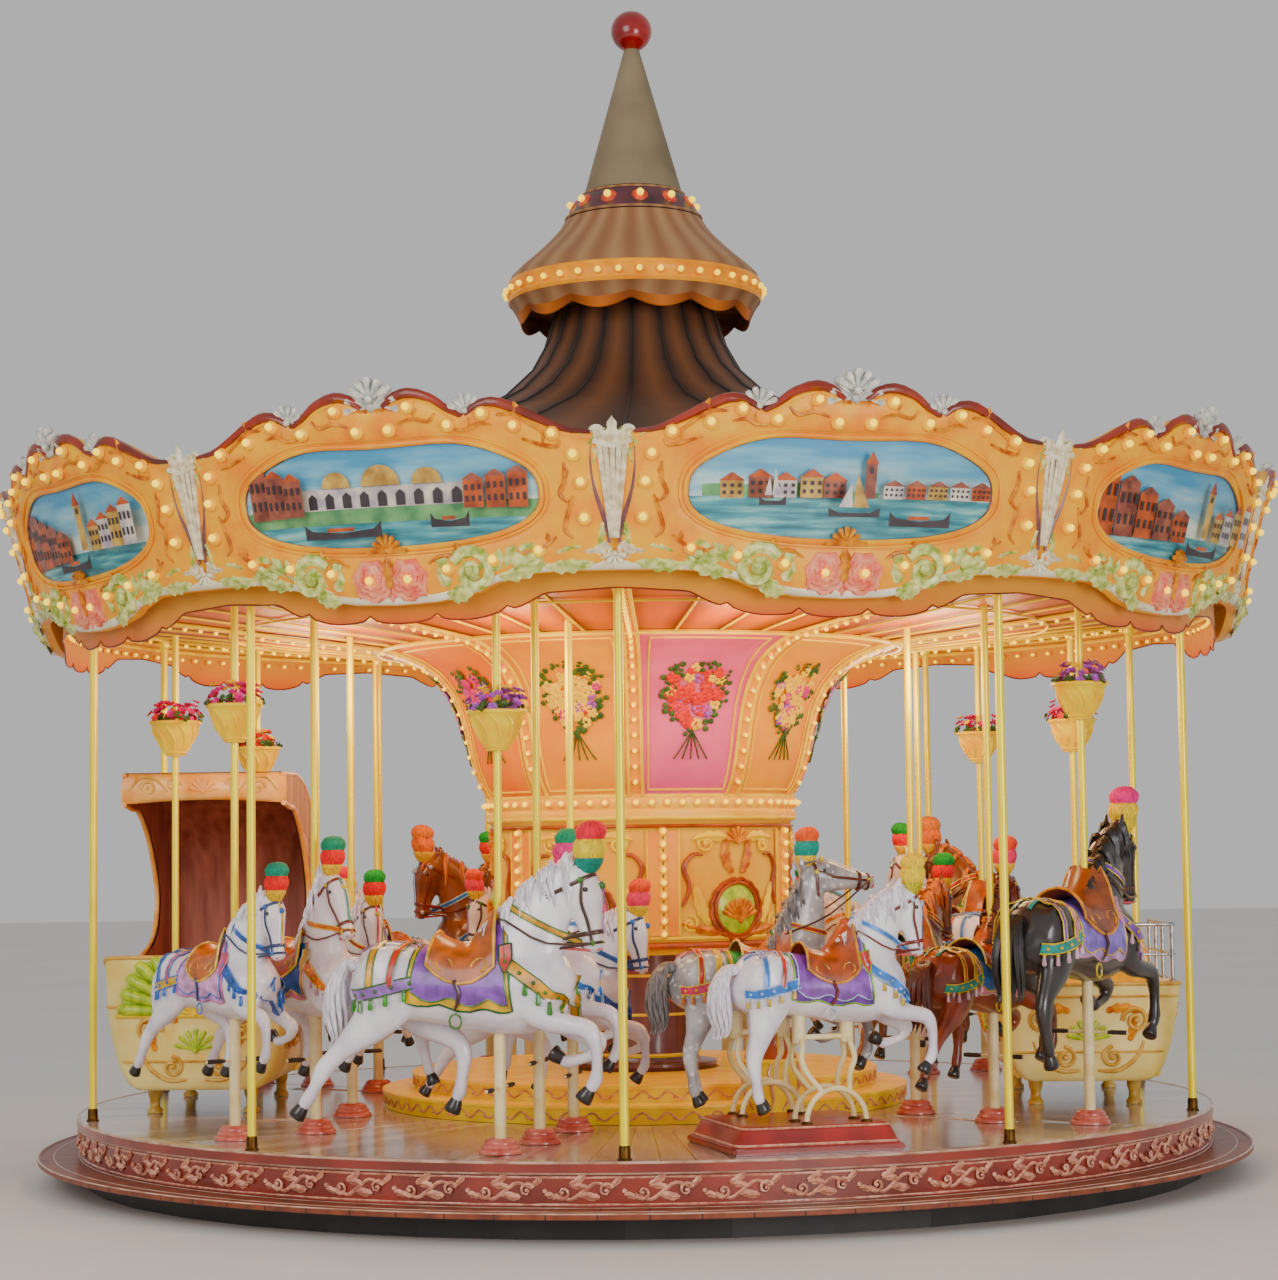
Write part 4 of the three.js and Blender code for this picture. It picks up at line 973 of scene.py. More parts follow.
class Picture:
    """A painted scene in a board's window; f runs from -1 to 1 across it and h from 0 to 1 up it."""

    def __init__(self):
        self.bm = bmesh.new()
        self.depth = PAINT_DEPTH
        self.low = WINDOW["middle"] - WINDOW["down"]
        self.high = WINDOW["middle"] + WINDOW["up"]
        self.half = along(WINDOW["half_deg"])

    def rim(self, u):
        """Lowest and highest point of the window at u."""
        share = min(abs(u) / self.half, 0.9999)
        s = sin(arc_cosine(share ** (1 / FULLNESS))) ** FULLNESS
        return WINDOW["middle"] - WINDOW["down"] * s, WINDOW["middle"] + WINDOW["up"] * s

    def area(self, material, top, base=0.0):
        """Everything under a line of (f, h) points, down to a base, clipped by the window."""
        self.depth += PAINT_STEP
        left, right = top[0][0], top[-1][0]
        columns = max(2, int(80 * (right - left)))
        rows = []
        for i in range(columns + 1):
            f = left + (right - left) * i / columns
            u = f * self.half
            floor, roof = self.rim(u)
            h = straight(top, f)
            z_top = min(max(self.low + (self.high - self.low) * h, floor), roof)
            z_base = min(max(self.low + (self.high - self.low) * base, floor), z_top)
            rows.append([board_surface(u, z_base + (z_top - z_base) * k / 2, self.depth) for k in range(3)])
        add_grid(self.bm, rows, material=material)

    def house(self, f, width, base, wall, roof, material, roof_material, windows=3):
        """A gabled house with rows of dark windows."""
        self.area(material, [(f - width / 2, wall), (f + width / 2, wall)], base)
        self.area(roof_material, [(f - width / 2 - 0.01, wall), (f, roof), (f + width / 2 + 0.01, wall)],
                  wall)
        for row in range(2):
            low = base + (wall - base) * (0.22 + 0.4 * row)
            for i in range(windows):
                x = f - width / 2 + width * (i + 0.5) / windows
                span = width / windows * 0.22
                self.area(SHADE, [(x - span, low + (wall - base) * 0.2),
                                  (x + span, low + (wall - base) * 0.2)], low)

    def tower(self, f, width, base, top, cap, material, roof_material):
        self.area(material, [(f - width / 2, top), (f + width / 2, top)], base)
        self.area(roof_material, [(f - width * 0.62, top), (f, cap), (f + width * 0.62, top)], top)
        self.area(SHADE, [(f - width * 0.16, top - 0.03), (f + width * 0.16, top - 0.03)], top - 0.09)

    def dome(self, f, reach, base, material):
        line = [(f + reach * cos(a), base + reach * 1.5 * sin(a))
                for a in [pi * (1 - i / 12) for i in range(13)]]
        self.area(material, line, base)

    def hills(self, material, height, waves, base=0.0, left=-1.0, right=1.0):
        line = []
        for i in range(41):
            f = left + (right - left) * i / 40
            line.append((f, height + 0.05 * sin(waves * f + height * 20) + 0.02 * sin(3.1 * waves * f)))
        self.area(material, line, base)

    def sailing_boat(self, f, h, size, sail):
        hull = [(f - size, h + 0.05), (f - size * 0.6, h + 0.01), (f + size * 0.6, h + 0.01),
                (f + size, h + 0.06)]
        self.area(SHADE, hull, h - 0.03)
        self.area(sail, [(f - size * 0.05, h + 0.06), (f, h + 0.40), (f + size * 0.55, h + 0.07)], h + 0.06)
        self.area(WHITE, [(f - size * 0.6, h + 0.07), (f - size * 0.08, h + 0.32),
                          (f - size * 0.07, h + 0.07)], h + 0.06)

    def rowing_boat(self, f, h, size):
        line = [(f - size, h + 0.09), (f - size * 0.8, h + 0.03), (f, h), (f + size * 0.8, h + 0.03),
                (f + size, h + 0.10)]
        self.area(SHADE, line, h - 0.05)
        self.area(CORAL, [(f - size * 0.4, h + 0.05), (f + size * 0.3, h + 0.05)], h + 0.015)

    def tree(self, f, h, size):
        self.area(SHADE, [(f - 0.006, h + size), (f + 0.006, h + size)], h)
        for shift, grow in ((-0.02, 0.7), (0.02, 0.8), (0, 1)):
            self.dome(f + shift, 0.05 * grow, h + size * 0.7, MEADOW)

    def mesh(self, name):
        return mesh_from(name, self.bm, 60)


def arc_cosine(value):
    return atan2(sqrt(max(0.0, 1 - value * value)), value)


def straight(points, x):
    for (x0, y0), (x1, y1) in zip(points, points[1:]):
        if x <= x1 + 1e-9:
            return y0 + (y1 - y0) * (x - x0) / max(x1 - x0, 1e-9)
    return points[-1][1]


def plain_picture(horizon):
    """Sky over water."""
    picture = Picture()
    picture.area(SKY, [(-1, 1), (1, 1)])
    picture.area(WATER, [(-1, horizon), (1, horizon)])
    return picture


def picture_harbour():
    picture = plain_picture(0.42)
    picture.hills(MEADOW, 0.50, 4, 0.42, -0.9, 0.2)
    for i, f in enumerate((-0.72, -0.55, -0.4, -0.24, -0.1)):
        picture.house(f, 0.14, 0.40, 0.56 + 0.03 * (i % 2), 0.64 + 0.03 * (i % 2),
                      (SAND, ROSE, WHITE)[i % 3], CORAL)
    picture.tower(0.12, 0.07, 0.40, 0.72, 0.84, ROSE, CORAL)
    for i in range(5):
        picture.house(0.27 + 0.14 * i, 0.13, 0.40, 0.52, 0.58, (WHITE, CORAL, SAND)[i % 3], ROSE, 4)
    picture.sailing_boat(0.0, 0.24, 0.16, SAND)
    picture.sailing_boat(-0.5, 0.34, 0.08, WHITE)
    picture.rowing_boat(0.42, 0.18, 0.2)
    return picture.mesh("picture_harbour")


def picture_square():
    picture = plain_picture(0.30)
    picture.area(MEADOW, [(-1, 0.42), (1, 0.42)], 0.26)
    picture.area(WHITE, [(-0.55, 0.60), (0.55, 0.60)], 0.40)
    for i in range(9):
        f = -0.48 + 0.12 * i
        picture.area(SHADE, [(f - 0.03, 0.52), (f, 0.56), (f + 0.03, 0.52)], 0.41)
    for f, reach in ((-0.3, 0.10), (0, 0.13), (0.3, 0.10)):
        picture.dome(f, reach, 0.60, SAND)
    for i in range(3):
        picture.house(-0.86 + 0.14 * i, 0.13, 0.34, 0.78 - 0.05 * i, 0.86 - 0.05 * i, ROSE, CORAL)
        picture.house(0.86 - 0.13 * i, 0.12, 0.34, 0.66 - 0.03 * i, 0.73 - 0.03 * i, CORAL, ROSE)
    picture.rowing_boat(-0.25, 0.16, 0.26)
    picture.rowing_boat(0.45, 0.22, 0.12)
    return picture.mesh("picture_square")


def picture_street():
    picture = plain_picture(0.28)
    for i in range(5):
        picture.house(-0.9 + 0.2 * i, 0.2, 0.2, 0.82 - 0.09 * i, 0.9 - 0.09 * i, (CORAL, ROSE)[i % 2], ROSE)
    picture.tower(0.25, 0.09, 0.28, 0.74, 0.88, SAND, CORAL)
    for i in range(4):
        picture.house(0.42 + 0.15 * i, 0.14, 0.26, 0.50 + 0.05 * i, 0.58 + 0.05 * i, (SAND, WHITE)[i % 2],
                      CORAL)
    picture.rowing_boat(0.15, 0.12, 0.22)
    return picture.mesh("picture_street")


def picture_lake():
    picture = plain_picture(0.38)
    picture.hills(WHITE, 0.66, 3, 0.38)
    picture.hills(MEADOW, 0.52, 5, 0.36)
    picture.tower(-0.42, 0.1, 0.44, 0.72, 0.84, SAND, CORAL)
    picture.house(-0.28, 0.2, 0.42, 0.56, 0.66, SAND, CORAL, 4)
    for f in (-0.75, -0.62, 0.22, 0.38, 0.6, 0.74):
        picture.tree(f, 0.36, 0.16)
    picture.sailing_boat(0.12, 0.2, 0.18, CORAL)
    picture.sailing_boat(0.6, 0.28, 0.09, WHITE)
    return picture.mesh("picture_lake")


def picture_bridge():
    picture = plain_picture(0.32)
    picture.hills(MEADOW, 0.46, 4, 0.30)
    for i in range(4):
        picture.house(0.35 + 0.17 * i, 0.15, 0.36, 0.58 + 0.04 * i, 0.68 + 0.04 * i, (ROSE, SAND)[i % 2],
                      CORAL)
    picture.area(SAND, [(-0.75, 0.40), (-0.45, 0.52), (-0.15, 0.52), (0.15, 0.40)], 0.30)
    for f in (-0.52, -0.3, -0.08):
        picture.dome(f, 0.07, 0.30, SHADE)
    picture.tree(-0.85, 0.34, 0.22)
    picture.tree(0.26, 0.32, 0.18)
    picture.rowing_boat(0.05, 0.14, 0.2)
    return picture.mesh("picture_bridge")


def pilaster_mesh():
    """Fluted spray over the joint between two boards: broad on top and drawn together below."""
    bm = bmesh.new()
    heights = [2.86 + 0.42 * i / 8 for i in range(9)]
    for k in range(-2, 3):
        line = [board_surface(k * 0.026 * (0.30 + 0.85 * (z - 2.86) / 0.42), z, 0.036 - 0.004 * abs(k))
                for z in heights]
        add_tube(bm, line, [0.008 + 0.007 * i / 8 for i in range(9)], 6, material=0)
    for sign in (-1, 1):
        half = mirrored(board_surface, sign)
        add_scroll(bm, half, ((0.02, 2.84), (0.045, 2.95), (0.085, 3.08), (0.10, 3.20), (0.095, 3.30)),
                   0.012, 2, 6, 5, 0.02)
        add_spiral(bm, half, 0.075, 3.33, 0.035, 180, 1.3, 0.012, 1, 6, sign=-1)
        add_spiral(bm, half, 0.055, 2.80, 0.04, 90, 1.4, 0.013, 0, 6, sign=1)
        add_leaf(bm, half, 0.03, 3.24, 80, 0.12, 0.022, 0, -40, 3, 0.03)
        add_leaf(bm, half, 0.02, 3.28, 70, 0.10, 0.020, 0, -60, 3, 0.034)
        add_leaf(bm, half, 0.03, 2.84, -40, 0.13, 0.024, 0, 50, 3, 0.02)
    line = [board_surface(0.085 * k / 3, 3.268 + 0.008 * abs(k), 0.040) for k in range(-3, 4)]
    add_tube(bm, line, 0.013, 6, material=1)
    add_leaf(bm, board_surface, 0, 3.28, 90, 0.12, 0.024, 0, 0, 3, 0.036)
    add_shell(bm, board_surface, 0, 2.79, 0.055, 190, 350, 5, 1, 0.013, 0.02)
    return mesh_from("pilaster", bm, 50)


def build_boards():
    """Ten boards with their pictures and bulbs, and the pilasters between them."""
    frame_mesh, bulb_mesh = build_board_meshes()
    pictures = [picture_square(), picture_harbour(), picture_street(), picture_bridge(), picture_lake()]
    order = (1, 2, 4, 3, 0, 1, 4, 3, 2, 0)
    pilaster = pilaster_mesh()
    paints = looks("board board_edge board_scroll acanthus silver pink trim plum")
    for i in range(SECTIONS):
        node = f"rounding_board_{i + 1}"
        pieces = [
            add_piece(f"board_frame_{i + 1}", frame_mesh, paints, replaces=(node,)),
            add_piece(f"board_picture_{i + 1}", pictures[order[i]], looks(PICTURE_LOOKS)),
            add_piece(f"board_bulbs_{i + 1}", bulb_mesh, looks("bulb bulb_cup")),
        ]
        for piece in pieces:
            piece.rotation_euler.z = radians(section_angle(i))
        joint = add_piece(f"pilaster_{i + 1}", pilaster, looks("pilaster trim plum"))
        joint.rotation_euler.z = radians(i * SECTION_DEG)


# Valance

VALANCE_RADIUS = 3.274
VALANCE_TOP = 2.76
VALANCE_ROWS = 6
VALANCE_BASE = ((0, 2.548), (3, 2.548), (6, 2.556), (9, 2.574), (12.5, 2.63), (18, 2.648))


def valance_low(degrees):
    """Lower edge of the cloth, in degrees from a section's middle."""
    a = abs(degrees)
    place = ((a + 3) % 6) / 3 - 1
    lobe = sqrt(max(0.0, 1 - place * place))
    fade = min(1.0, max(0.0, (12 - a) / 3))
    return between(VALANCE_BASE, a) - 0.04 * lobe * fade


def build_valance():
    """Cloth with an arched lower edge, and the piping along it."""
    bm = bmesh.new()
    columns = 60
    rows, hem, area = [], [], 0.0
    for i in range(SECTIONS * columns):
        degrees = SECTION_DEG * i / columns
        local = degrees % SECTION_DEG - HALF_SECTION
        low = valance_low(local)
        row = []
        for k in range(VALANCE_ROWS + 1):
            z = VALANCE_TOP + (low - VALANCE_TOP) * k / VALANCE_ROWS
            fold = 0.004 * sin(radians(local) * 60) * k / VALANCE_ROWS
            row.append(on_circle(degrees, VALANCE_RADIUS + fold, DECK + z))
        rows.append(row)
        hem.append(row[-1])
        area += (VALANCE_TOP - low) * 2 * pi * VALANCE_RADIUS / (SECTIONS * columns)
    rows.append(rows[0])
    add_grid(bm, rows)
    cloth = piece_from(bm, "valance_cloth", "valance", slot="valance_cloth", replaces=("valance",))
    bm = bmesh.new()
    add_tube(bm, hem, 0.0045, 6, closed=True)
    cord = piece_from(bm, "valance_hem", "board_edge", slot="valance_cloth")


# Rim posts and ring

def build_rim():
    """Ten posts and the ring on top of them."""
    bm = bmesh.new()
    for i in range(SECTIONS):
        x, y, _ = on_circle(i * SECTION_DEG, POST_CIRCLE)
        tube = [(0.0215, 0.02), (0.0215, 2.768)]
        add_lathe(bm, above_deck(tube), 20, 0, centre=(x, y, 0))
        socket = [(0.001, 0.001), (0.034, 0.001), (0.034, 0.006), (0.028, 0.012), (0.0265, 0.06),
                  (0.023, 0.068), (0.001, 0.068)]
        add_lathe(bm, above_deck(socket), 20, 1, centre=(x, y, 0))
        cap = [(0.0216, 2.70), (0.032, 2.715), (0.034, 2.735), (0.034, 2.765), (0.001, 2.765)]
        add_lathe(bm, above_deck(cap), 20, 0, centre=(x, y, 0))
    back = [(z, RIM["cone_radius"] + RIM["slope"] * (z - RIM["cone_height"]) - 0.0475)
            for z in (2.762, 3.188)]
    (low, low_r), (high, high_r) = back
    wall = 0.026
    profile = [(3.062, low), (low_r, low), (high_r, high), (high_r - wall, high),
               (low_r - wall + 0.012, low + 0.046), (3.062, low + 0.046)]
    add_lathe(bm, above_deck(profile), ROUND, 2, closed_profile=True)
    piece_from(bm, "ring_and_posts", "brass bronze soffit", slot="brass", replaces=("rim_posts",))


def build_rim_lights():
    """Rails and two rows of bulbs inside the valance."""
    bm = bmesh.new()
    for radius, z, thick in ((3.245, 2.71, 0.012), (3.235, 2.745, 0.010), (3.075, 2.752, 0.012)):
        add_ring(bm, radius, DECK + z, thick)
    piece_from(bm, "rim_rails", "cream")
    places = []
    for i in range(150):
        foot = on_circle(360 * i / 150, 3.262, DECK + 2.665)
        places.append((foot, on_circle(360 * i / 150 + 180, 1)))
    for i in range(140):
        foot = on_circle(360 * i / 140, 3.14, DECK + 2.760)
        places.append((foot, (0, 0, -1)))
    add_piece("rim_bulbs", bulbs_mesh("rim_bulbs", places, 0.012, 0.016), looks("bulb bulb_cup"))


# Ceiling, trumpet and ribs

TRUMPET_LINE = ((0.882, 1.737), (0.925, 1.80), (0.955, 1.87), (0.985, 1.97), (1.01, 2.09), (1.045, 2.22),
                (1.10, 2.335), (1.185, 2.44), (1.30, 2.515), (1.42, 2.56), (1.508, 2.586))
TRUMPET_SHARE = 10 / 13  # where the ceiling begins on the line of both
RIB_HALF_WIDTH = 0.036
RIB_BULB_PITCH = 0.086
PANEL_PAINTS = ("rose", "lemon", "peach")
CEILING_LINE = ((1.51, 2.586), (2.0, 2.638), (2.5, 2.698), (3.05, 2.757))


def trumpet_point(share, degrees, out=0.0):
    """Point on the trumpet and ceiling, from its foot (0) to the rim (1), moved out to the seen side."""
    line = TRUMPET_LINE + CEILING_LINE[1:]
    place = share * (len(line) - 1)
    i = min(int(place), len(line) - 2)
    t = place - i
    (r0, z0), (r1, z1) = line[i], line[i + 1]
    run = hypot(r1 - r0, z1 - z0)
    radius = r0 + (r1 - r0) * t + out * (z1 - z0) / run
    z = z0 + (z1 - z0) * t - out * (r1 - r0) / run
    return on_circle(degrees, radius, DECK + z)


def rib_line():
    """Shares along the trumpet and ceiling at even steps, with their lengths."""
    line = TRUMPET_LINE + CEILING_LINE[1:]
    lengths = [0.0]
    for (r0, z0), (r1, z1) in zip(line, line[1:]):
        lengths.append(lengths[-1] + hypot(r1 - r0, z1 - z0))
    return [(d, i / (len(line) - 1)) for i, d in enumerate(lengths)]


def share_at(distance):
    table = rib_line()
    for (d0, s0), (d1, s1) in zip(table, table[1:]):
        if distance <= d1:
            return s0 + (s1 - s0) * (distance - d0) / (d1 - d0)
    return 1.0


def build_trumpet():
    """Painted panels of the trumpet, and the ceiling's paint."""
    m = MATERIALS
    colours = ("rose", "lemon", "peach", "rose", "lemon", "peach", "lemon", "rose", "peach", "lemon")
    bm = bmesh.new()
    for section in range(SECTIONS):
        rows = []
        for k in range(31):
            share = TRUMPET_SHARE * k / 30
            rows.append([trumpet_point(share, section * SECTION_DEG + SECTION_DEG * j / 12)
                         for j in range(13)])
        add_grid(bm, rows, material=PANEL_PAINTS.index(colours[section]))
    profile = [(r - 0.028, DECK + z + 0.006) for r, z in TRUMPET_LINE]
    add_lathe(bm, profile, 120, 3)
    piece_from(bm, "trumpet_panels", "rose lemon peach frame", slot="orange_paint", replaces=("trumpet",))
    bpy.data.objects["ceiling"].material_slots[0].material = m["ceiling"]


def build_ribs():
    """Ten cream ribs with a row of bulbs, one over each post, from the drum to the rim."""
    bm = bmesh.new()
    length = rib_line()[-1][0]
    steps = 60
    for edge in (-RIB_HALF_WIDTH, RIB_HALF_WIDTH):
        line = []
        for i in range(steps + 1):
            share = share_at(length * i / steps)
            radius = hypot(*trumpet_point(share, 0)[:2])
            line.append(trumpet_point(share, degrees_of(edge / radius), 0.010))
        add_tube(bm, line, 0.011, 6)
    rows = []
    for i in range(steps + 1):
        share = share_at(length * i / steps)
        radius = hypot(*trumpet_point(share, 0)[:2])
        across = (-RIB_HALF_WIDTH, 0, RIB_HALF_WIDTH)
        rows.append([trumpet_point(share, degrees_of(x / radius), 0.008) for x in across])
    add_grid(bm, rows, material=1)
    rib = mesh_from("rib", bm)
    places = []
    count = int(length / RIB_BULB_PITCH)
    for i in range(1, count):
        share = share_at(length * i / count)
        foot = trumpet_point(share, 0, 0.012)
        places.append((foot, trumpet_point(share, 0, 0.05) - foot))
    bulbs = bulbs_mesh("rib_bulbs", places, 0.013, 0.018)
    for i in range(SECTIONS):
        for piece in (
            add_piece(f"rib_{i}", rib, looks("cream lemon"), slot="orange_paint"),
            add_piece(f"rib_bulbs_{i}", bulbs, looks("bulb bulb_cup"), slot="orange_paint"),
        ):
            piece.rotation_euler.z = radians(i * SECTION_DEG)


def degrees_of(angle):
    return angle * 180 / pi


def build_battens():
    """Thin cream battens on the ceiling and round the edge of each trumpet panel."""
    bm = bmesh.new()
    start = TRUMPET_SHARE + 0.005
    for i in range(4 * SECTIONS):
        if i % 4 == 0:
            continue
        degrees = i * SECTION_DEG / 4
        line = [trumpet_point(start + (0.995 - start) * k / 8, degrees, 0.006) for k in range(9)]
        add_tube(bm, line, 0.007, 5)
    for share, thick in ((TRUMPET_SHARE, 0.014), (0.9, 0.008)):
        line = [trumpet_point(share, 360 * i / ROUND, 0.010) for i in range(ROUND)]
        add_tube(bm, line, thick, 6, closed=True)
    for section in range(SECTIONS):
        border = []
        for k in range(25):
            border.append((0.03 + 0.66 * k / 24, 4.2))
        for k in range(1, 9):
            border.append((0.69, 4.2 + 27.6 * k / 9))
        for k in range(25):
            border.append((0.69 - 0.66 * k / 24, 31.8))
        for k in range(1, 9):
            border.append((0.03, 31.8 - 27.6 * k / 9))
        line = [trumpet_point(share, section * SECTION_DEG + d, 0.005) for share, d in border]
        add_tube(bm, line, 0.006, 5, closed=True)
    piece_from(bm, "ceiling_battens", "cream", slot="orange_paint")


def build_bouquets():
    """A hanging bunch of painted flowers on each trumpet panel, each one laid out anew."""
    bm = bmesh.new()
    random = Random(7)
    for section in range(SECTIONS):
        middle = (section + 0.5) * SECTION_DEG
        main = (0, 3, 2, 1, 3)[section % 5]
        for i in range(105):
            kind = 4 if i % 3 == 0 else (main if random.random() < 0.7 else random.choice((0, 1, 2, 3, 5)))
            spread = 0.75 + 0.3 * random.random() if kind == 4 else 0.85 * random.random() ** 0.6
            angle = random.random() * 2 * pi
            share = 0.42 + 0.125 * spread * sin(angle)
            degrees = middle + 9.5 * spread * cos(angle) * (0.75 + 0.5 * (share - 0.3) / 0.25)
            place = trumpet_point(share, degrees, 0.010 + 0.006 * random.random())
            out = trumpet_point(share, degrees, 0.1) - trumpet_point(share, degrees)
            add_flower(bm, place, out, 0.023 + 0.016 * random.random(), kind, random)
        for k in range(5):
            tail = [trumpet_point(0.30 - 0.026 * t, middle + (k - 2) * 0.7 * t, 0.008) for t in range(5)]
            add_tube(bm, tail, 0.004, 5, material=4)
    piece_from(bm, "painted_bouquets", "petal_red magenta violet petal_yellow leaf cream", 80,
               slot="orange_paint")


def add_flower(bm, place, out, size, material, random):
    """Five petals, or a leaf, as low discs facing outwards."""
    out = Vector(out).normalized()
    side = out.cross(Vector((0, 0, 1)))
    side = side.normalized() if side.length > 0.01 else Vector((1, 0, 0))
    up = side.cross(out)
    start = random.random() * 2 * pi
    petals = 5 if material != 4 else 2
    for k in range(petals):
        angle = start + 2 * pi * k / petals
        middle = place + (side * cos(angle) + up * sin(angle)) * size * 0.55
        ring = []
        for j in range(7):
            a = 2 * pi * j / 7
            ring.append(middle + (side * cos(a) + up * sin(a)) * size * 0.5)
        hub = bm.verts.new(middle + out * size * 0.3)
        verts = [bm.verts.new(p) for p in ring]
        for j in range(7):
            face = bm.faces.new((hub, verts[j], verts[(j + 1) % 7]))
            face.material_index = material


# Centre drum, its column, the steps and the carved tub

DRUM_PANELS = 6
DRUM_TURN = 39.6
PANEL_DEG = 360 / DRUM_PANELS
PANEL_MIDDLE = 1.1  # height of a panel's shell over the deck


def drum_surface(middle):
    """Surface function of the drum round a panel's middle."""
    def surface(u, z, out=0.0):
        return on_circle(middle + degrees_of(u / DRUM_RADIUS), DRUM_RADIUS + out, DECK + z)
    return surface


def build_drum():
    """Hanging drum with its facings and bulbs."""
    bm = bmesh.new()
    skin = [(0.16, 0.885), (0.80, 0.885), (0.835, 0.90), (0.846, 0.93), (0.846, 1.54), (0.852, 1.555),
            (0.86, 1.575), (0.885, 1.60), (0.893, 1.61), (0.893, 1.64), (0.878, 1.655), (0.888, 1.67),
            (0.888, 1.71), (0.88, 1.734), (0.16, 1.734)]
    add_lathe(bm, above_deck(skin), 96)
    for radius, z, thick, material in ((0.882, 1.605, 0.014, 1), (0.879, 1.725, 0.013, 1),
                                       (0.868, 1.56, 0.010, 2),
                                       (0.845, 0.905, 0.020, 2), (0.852, 0.945, 0.012, 1)):
        add_ring(bm, radius, DECK + z, thick, 8, material=material, count=96)
    for panel in range(DRUM_PANELS):
        drum_panel(bm, drum_surface(DRUM_TURN + PANEL_DEG * panel), 3 if panel % 2 == 0 else 4)
    paints = looks("drum cream terracotta lime rose lemon board_scroll")
    add_piece("drum_panels", mesh_from("drum_panels", bm, 40, 0.55), paints, replaces=("center_drum",))
    places = []
    for i in range(66):
        foot = on_circle(360 * i / 66, 0.889, DECK + 1.69)
        places.append((foot, on_circle(360 * i / 66, 1)))
    for panel in range(DRUM_PANELS):
        surface = drum_surface(DRUM_TURN + PANEL_DEG * panel + 30)
        for k in range(9):
            foot = surface(0, 0.97 + 0.07 * k, 0.014)
            places.append((foot, surface(0, 0.97 + 0.07 * k, 0.1) - foot))
    add_piece("drum_bulbs", bulbs_mesh("drum_bulbs", places, 0.016, 0.028), looks("bulb bulb_cup"))


def drum_panel(bm, surface, field):
    """One facing: a shell in a scroll frame, spirals over it and upright bands at its edges."""
    edge = DRUM_RADIUS * radians(PANEL_DEG / 2)
    for sign in (-1, 1):
        rows = [[surface(sign * (edge - w), z, 0.008) for w in (0.012, 0.05, 0.088)]
                for z in (0.96, 1.15, 1.35, 1.53)]
        add_grid(bm, rows, material=5)
        for w in (0.012, 0.088):
            add_tube(bm, [surface(sign * (edge - w), z, 0.01) for z in (0.96, 1.15, 1.35, 1.54)], 0.007, 6,
                     material=1)

    def disc_edge(reach, out):
        turns = [2 * pi * i / 40 for i in range(40)]
        return [surface(reach * cos(a), PANEL_MIDDLE + reach * sin(a), out) for a in turns]

    add_tube(bm, disc_edge(0.146, 0.012), 0.011, 8, closed=True, material=2)
    outer = []
    for i in range(60):
        angle = 2 * pi * i / 60
        reach = 0.168 + 0.010 * abs(sin(8 * angle))
        outer.append(surface(reach * cos(angle), PANEL_MIDDLE + reach * sin(angle) * 0.94, 0.010))
    add_tube(bm, outer, 0.013, 6, closed=True, material=2)
    rows = [disc_edge(reach, out) for reach, out in ((0.002, 0.03), (0.07, 0.026), (0.125, 0.014),
                                                     (0.145, 0.004))]
    add_grid(bm, rows, closed=True, material=field)
    add_shell(bm, surface, 0, 1.035, 0.125, 25, 155, 9, 6, 0.014, 0.028)
    for sign in (-1, 1):
        half = mirrored(surface, sign)
        add_spiral(bm, half, 0.20, 1.46, 0.055, 120, 1.6, 0.013, 1, 8, sign=-1)
        add_spiral(bm, half, 0.30, 1.02, 0.05, 90, 1.5, 0.012, 1, 8, sign=1)
        add_leaf(bm, half, 0.03, 1.30, 50, 0.2, 0.03, 6, 60, 4, 0.01)
        add_leaf(bm, half, 0.05, 1.49, 12, 0.24, 0.028, 1, -30, 4, 0.012)
        add_leaf(bm, half, 0.19, 1.02, 60, 0.24, 0.032, 1, 25, 4, 0.01)
        add_leaf(bm, half, 0.08, 0.965, 8, 0.28, 0.025, 6, 10, 4, 0.01)
        add_scroll(bm, half, ((0.34, 1.12), (0.30, 1.22), (0.33, 1.33), (0.28, 1.40), (0.22, 1.40)), 0.014,
                   2, 8)
    add_shell(bm, surface, 0, 1.47, 0.085, 10, 170, 7, 6, 0.014, 0.016)


def build_core():
    """Column under the drum."""
    bm = bmesh.new()
    shaft = [(0.155, 0.002), (0.418, 0.002), (0.42, 0.02), (0.412, 0.03), (0.412, 0.2), (0.42, 0.212),
             (0.418, 0.228), (0.31, 0.232), (0.30, 0.25), (0.298, 0.40), (0.298, 0.82), (0.30, 0.874),
             (0.155, 0.876)]
    add_lathe(bm, above_deck(shaft), 64, 0)
    for radius, z, thick in ((0.296, 0.27, 0.012), (0.296, 0.5, 0.009), (0.296, 0.72, 0.009),
                             (0.292, 0.85, 0.018)):
        add_ring(bm, radius, DECK + z, thick, material=1, count=64)
    piece_from(bm, "core_shaft", "column cream", replaces=("center_column",))


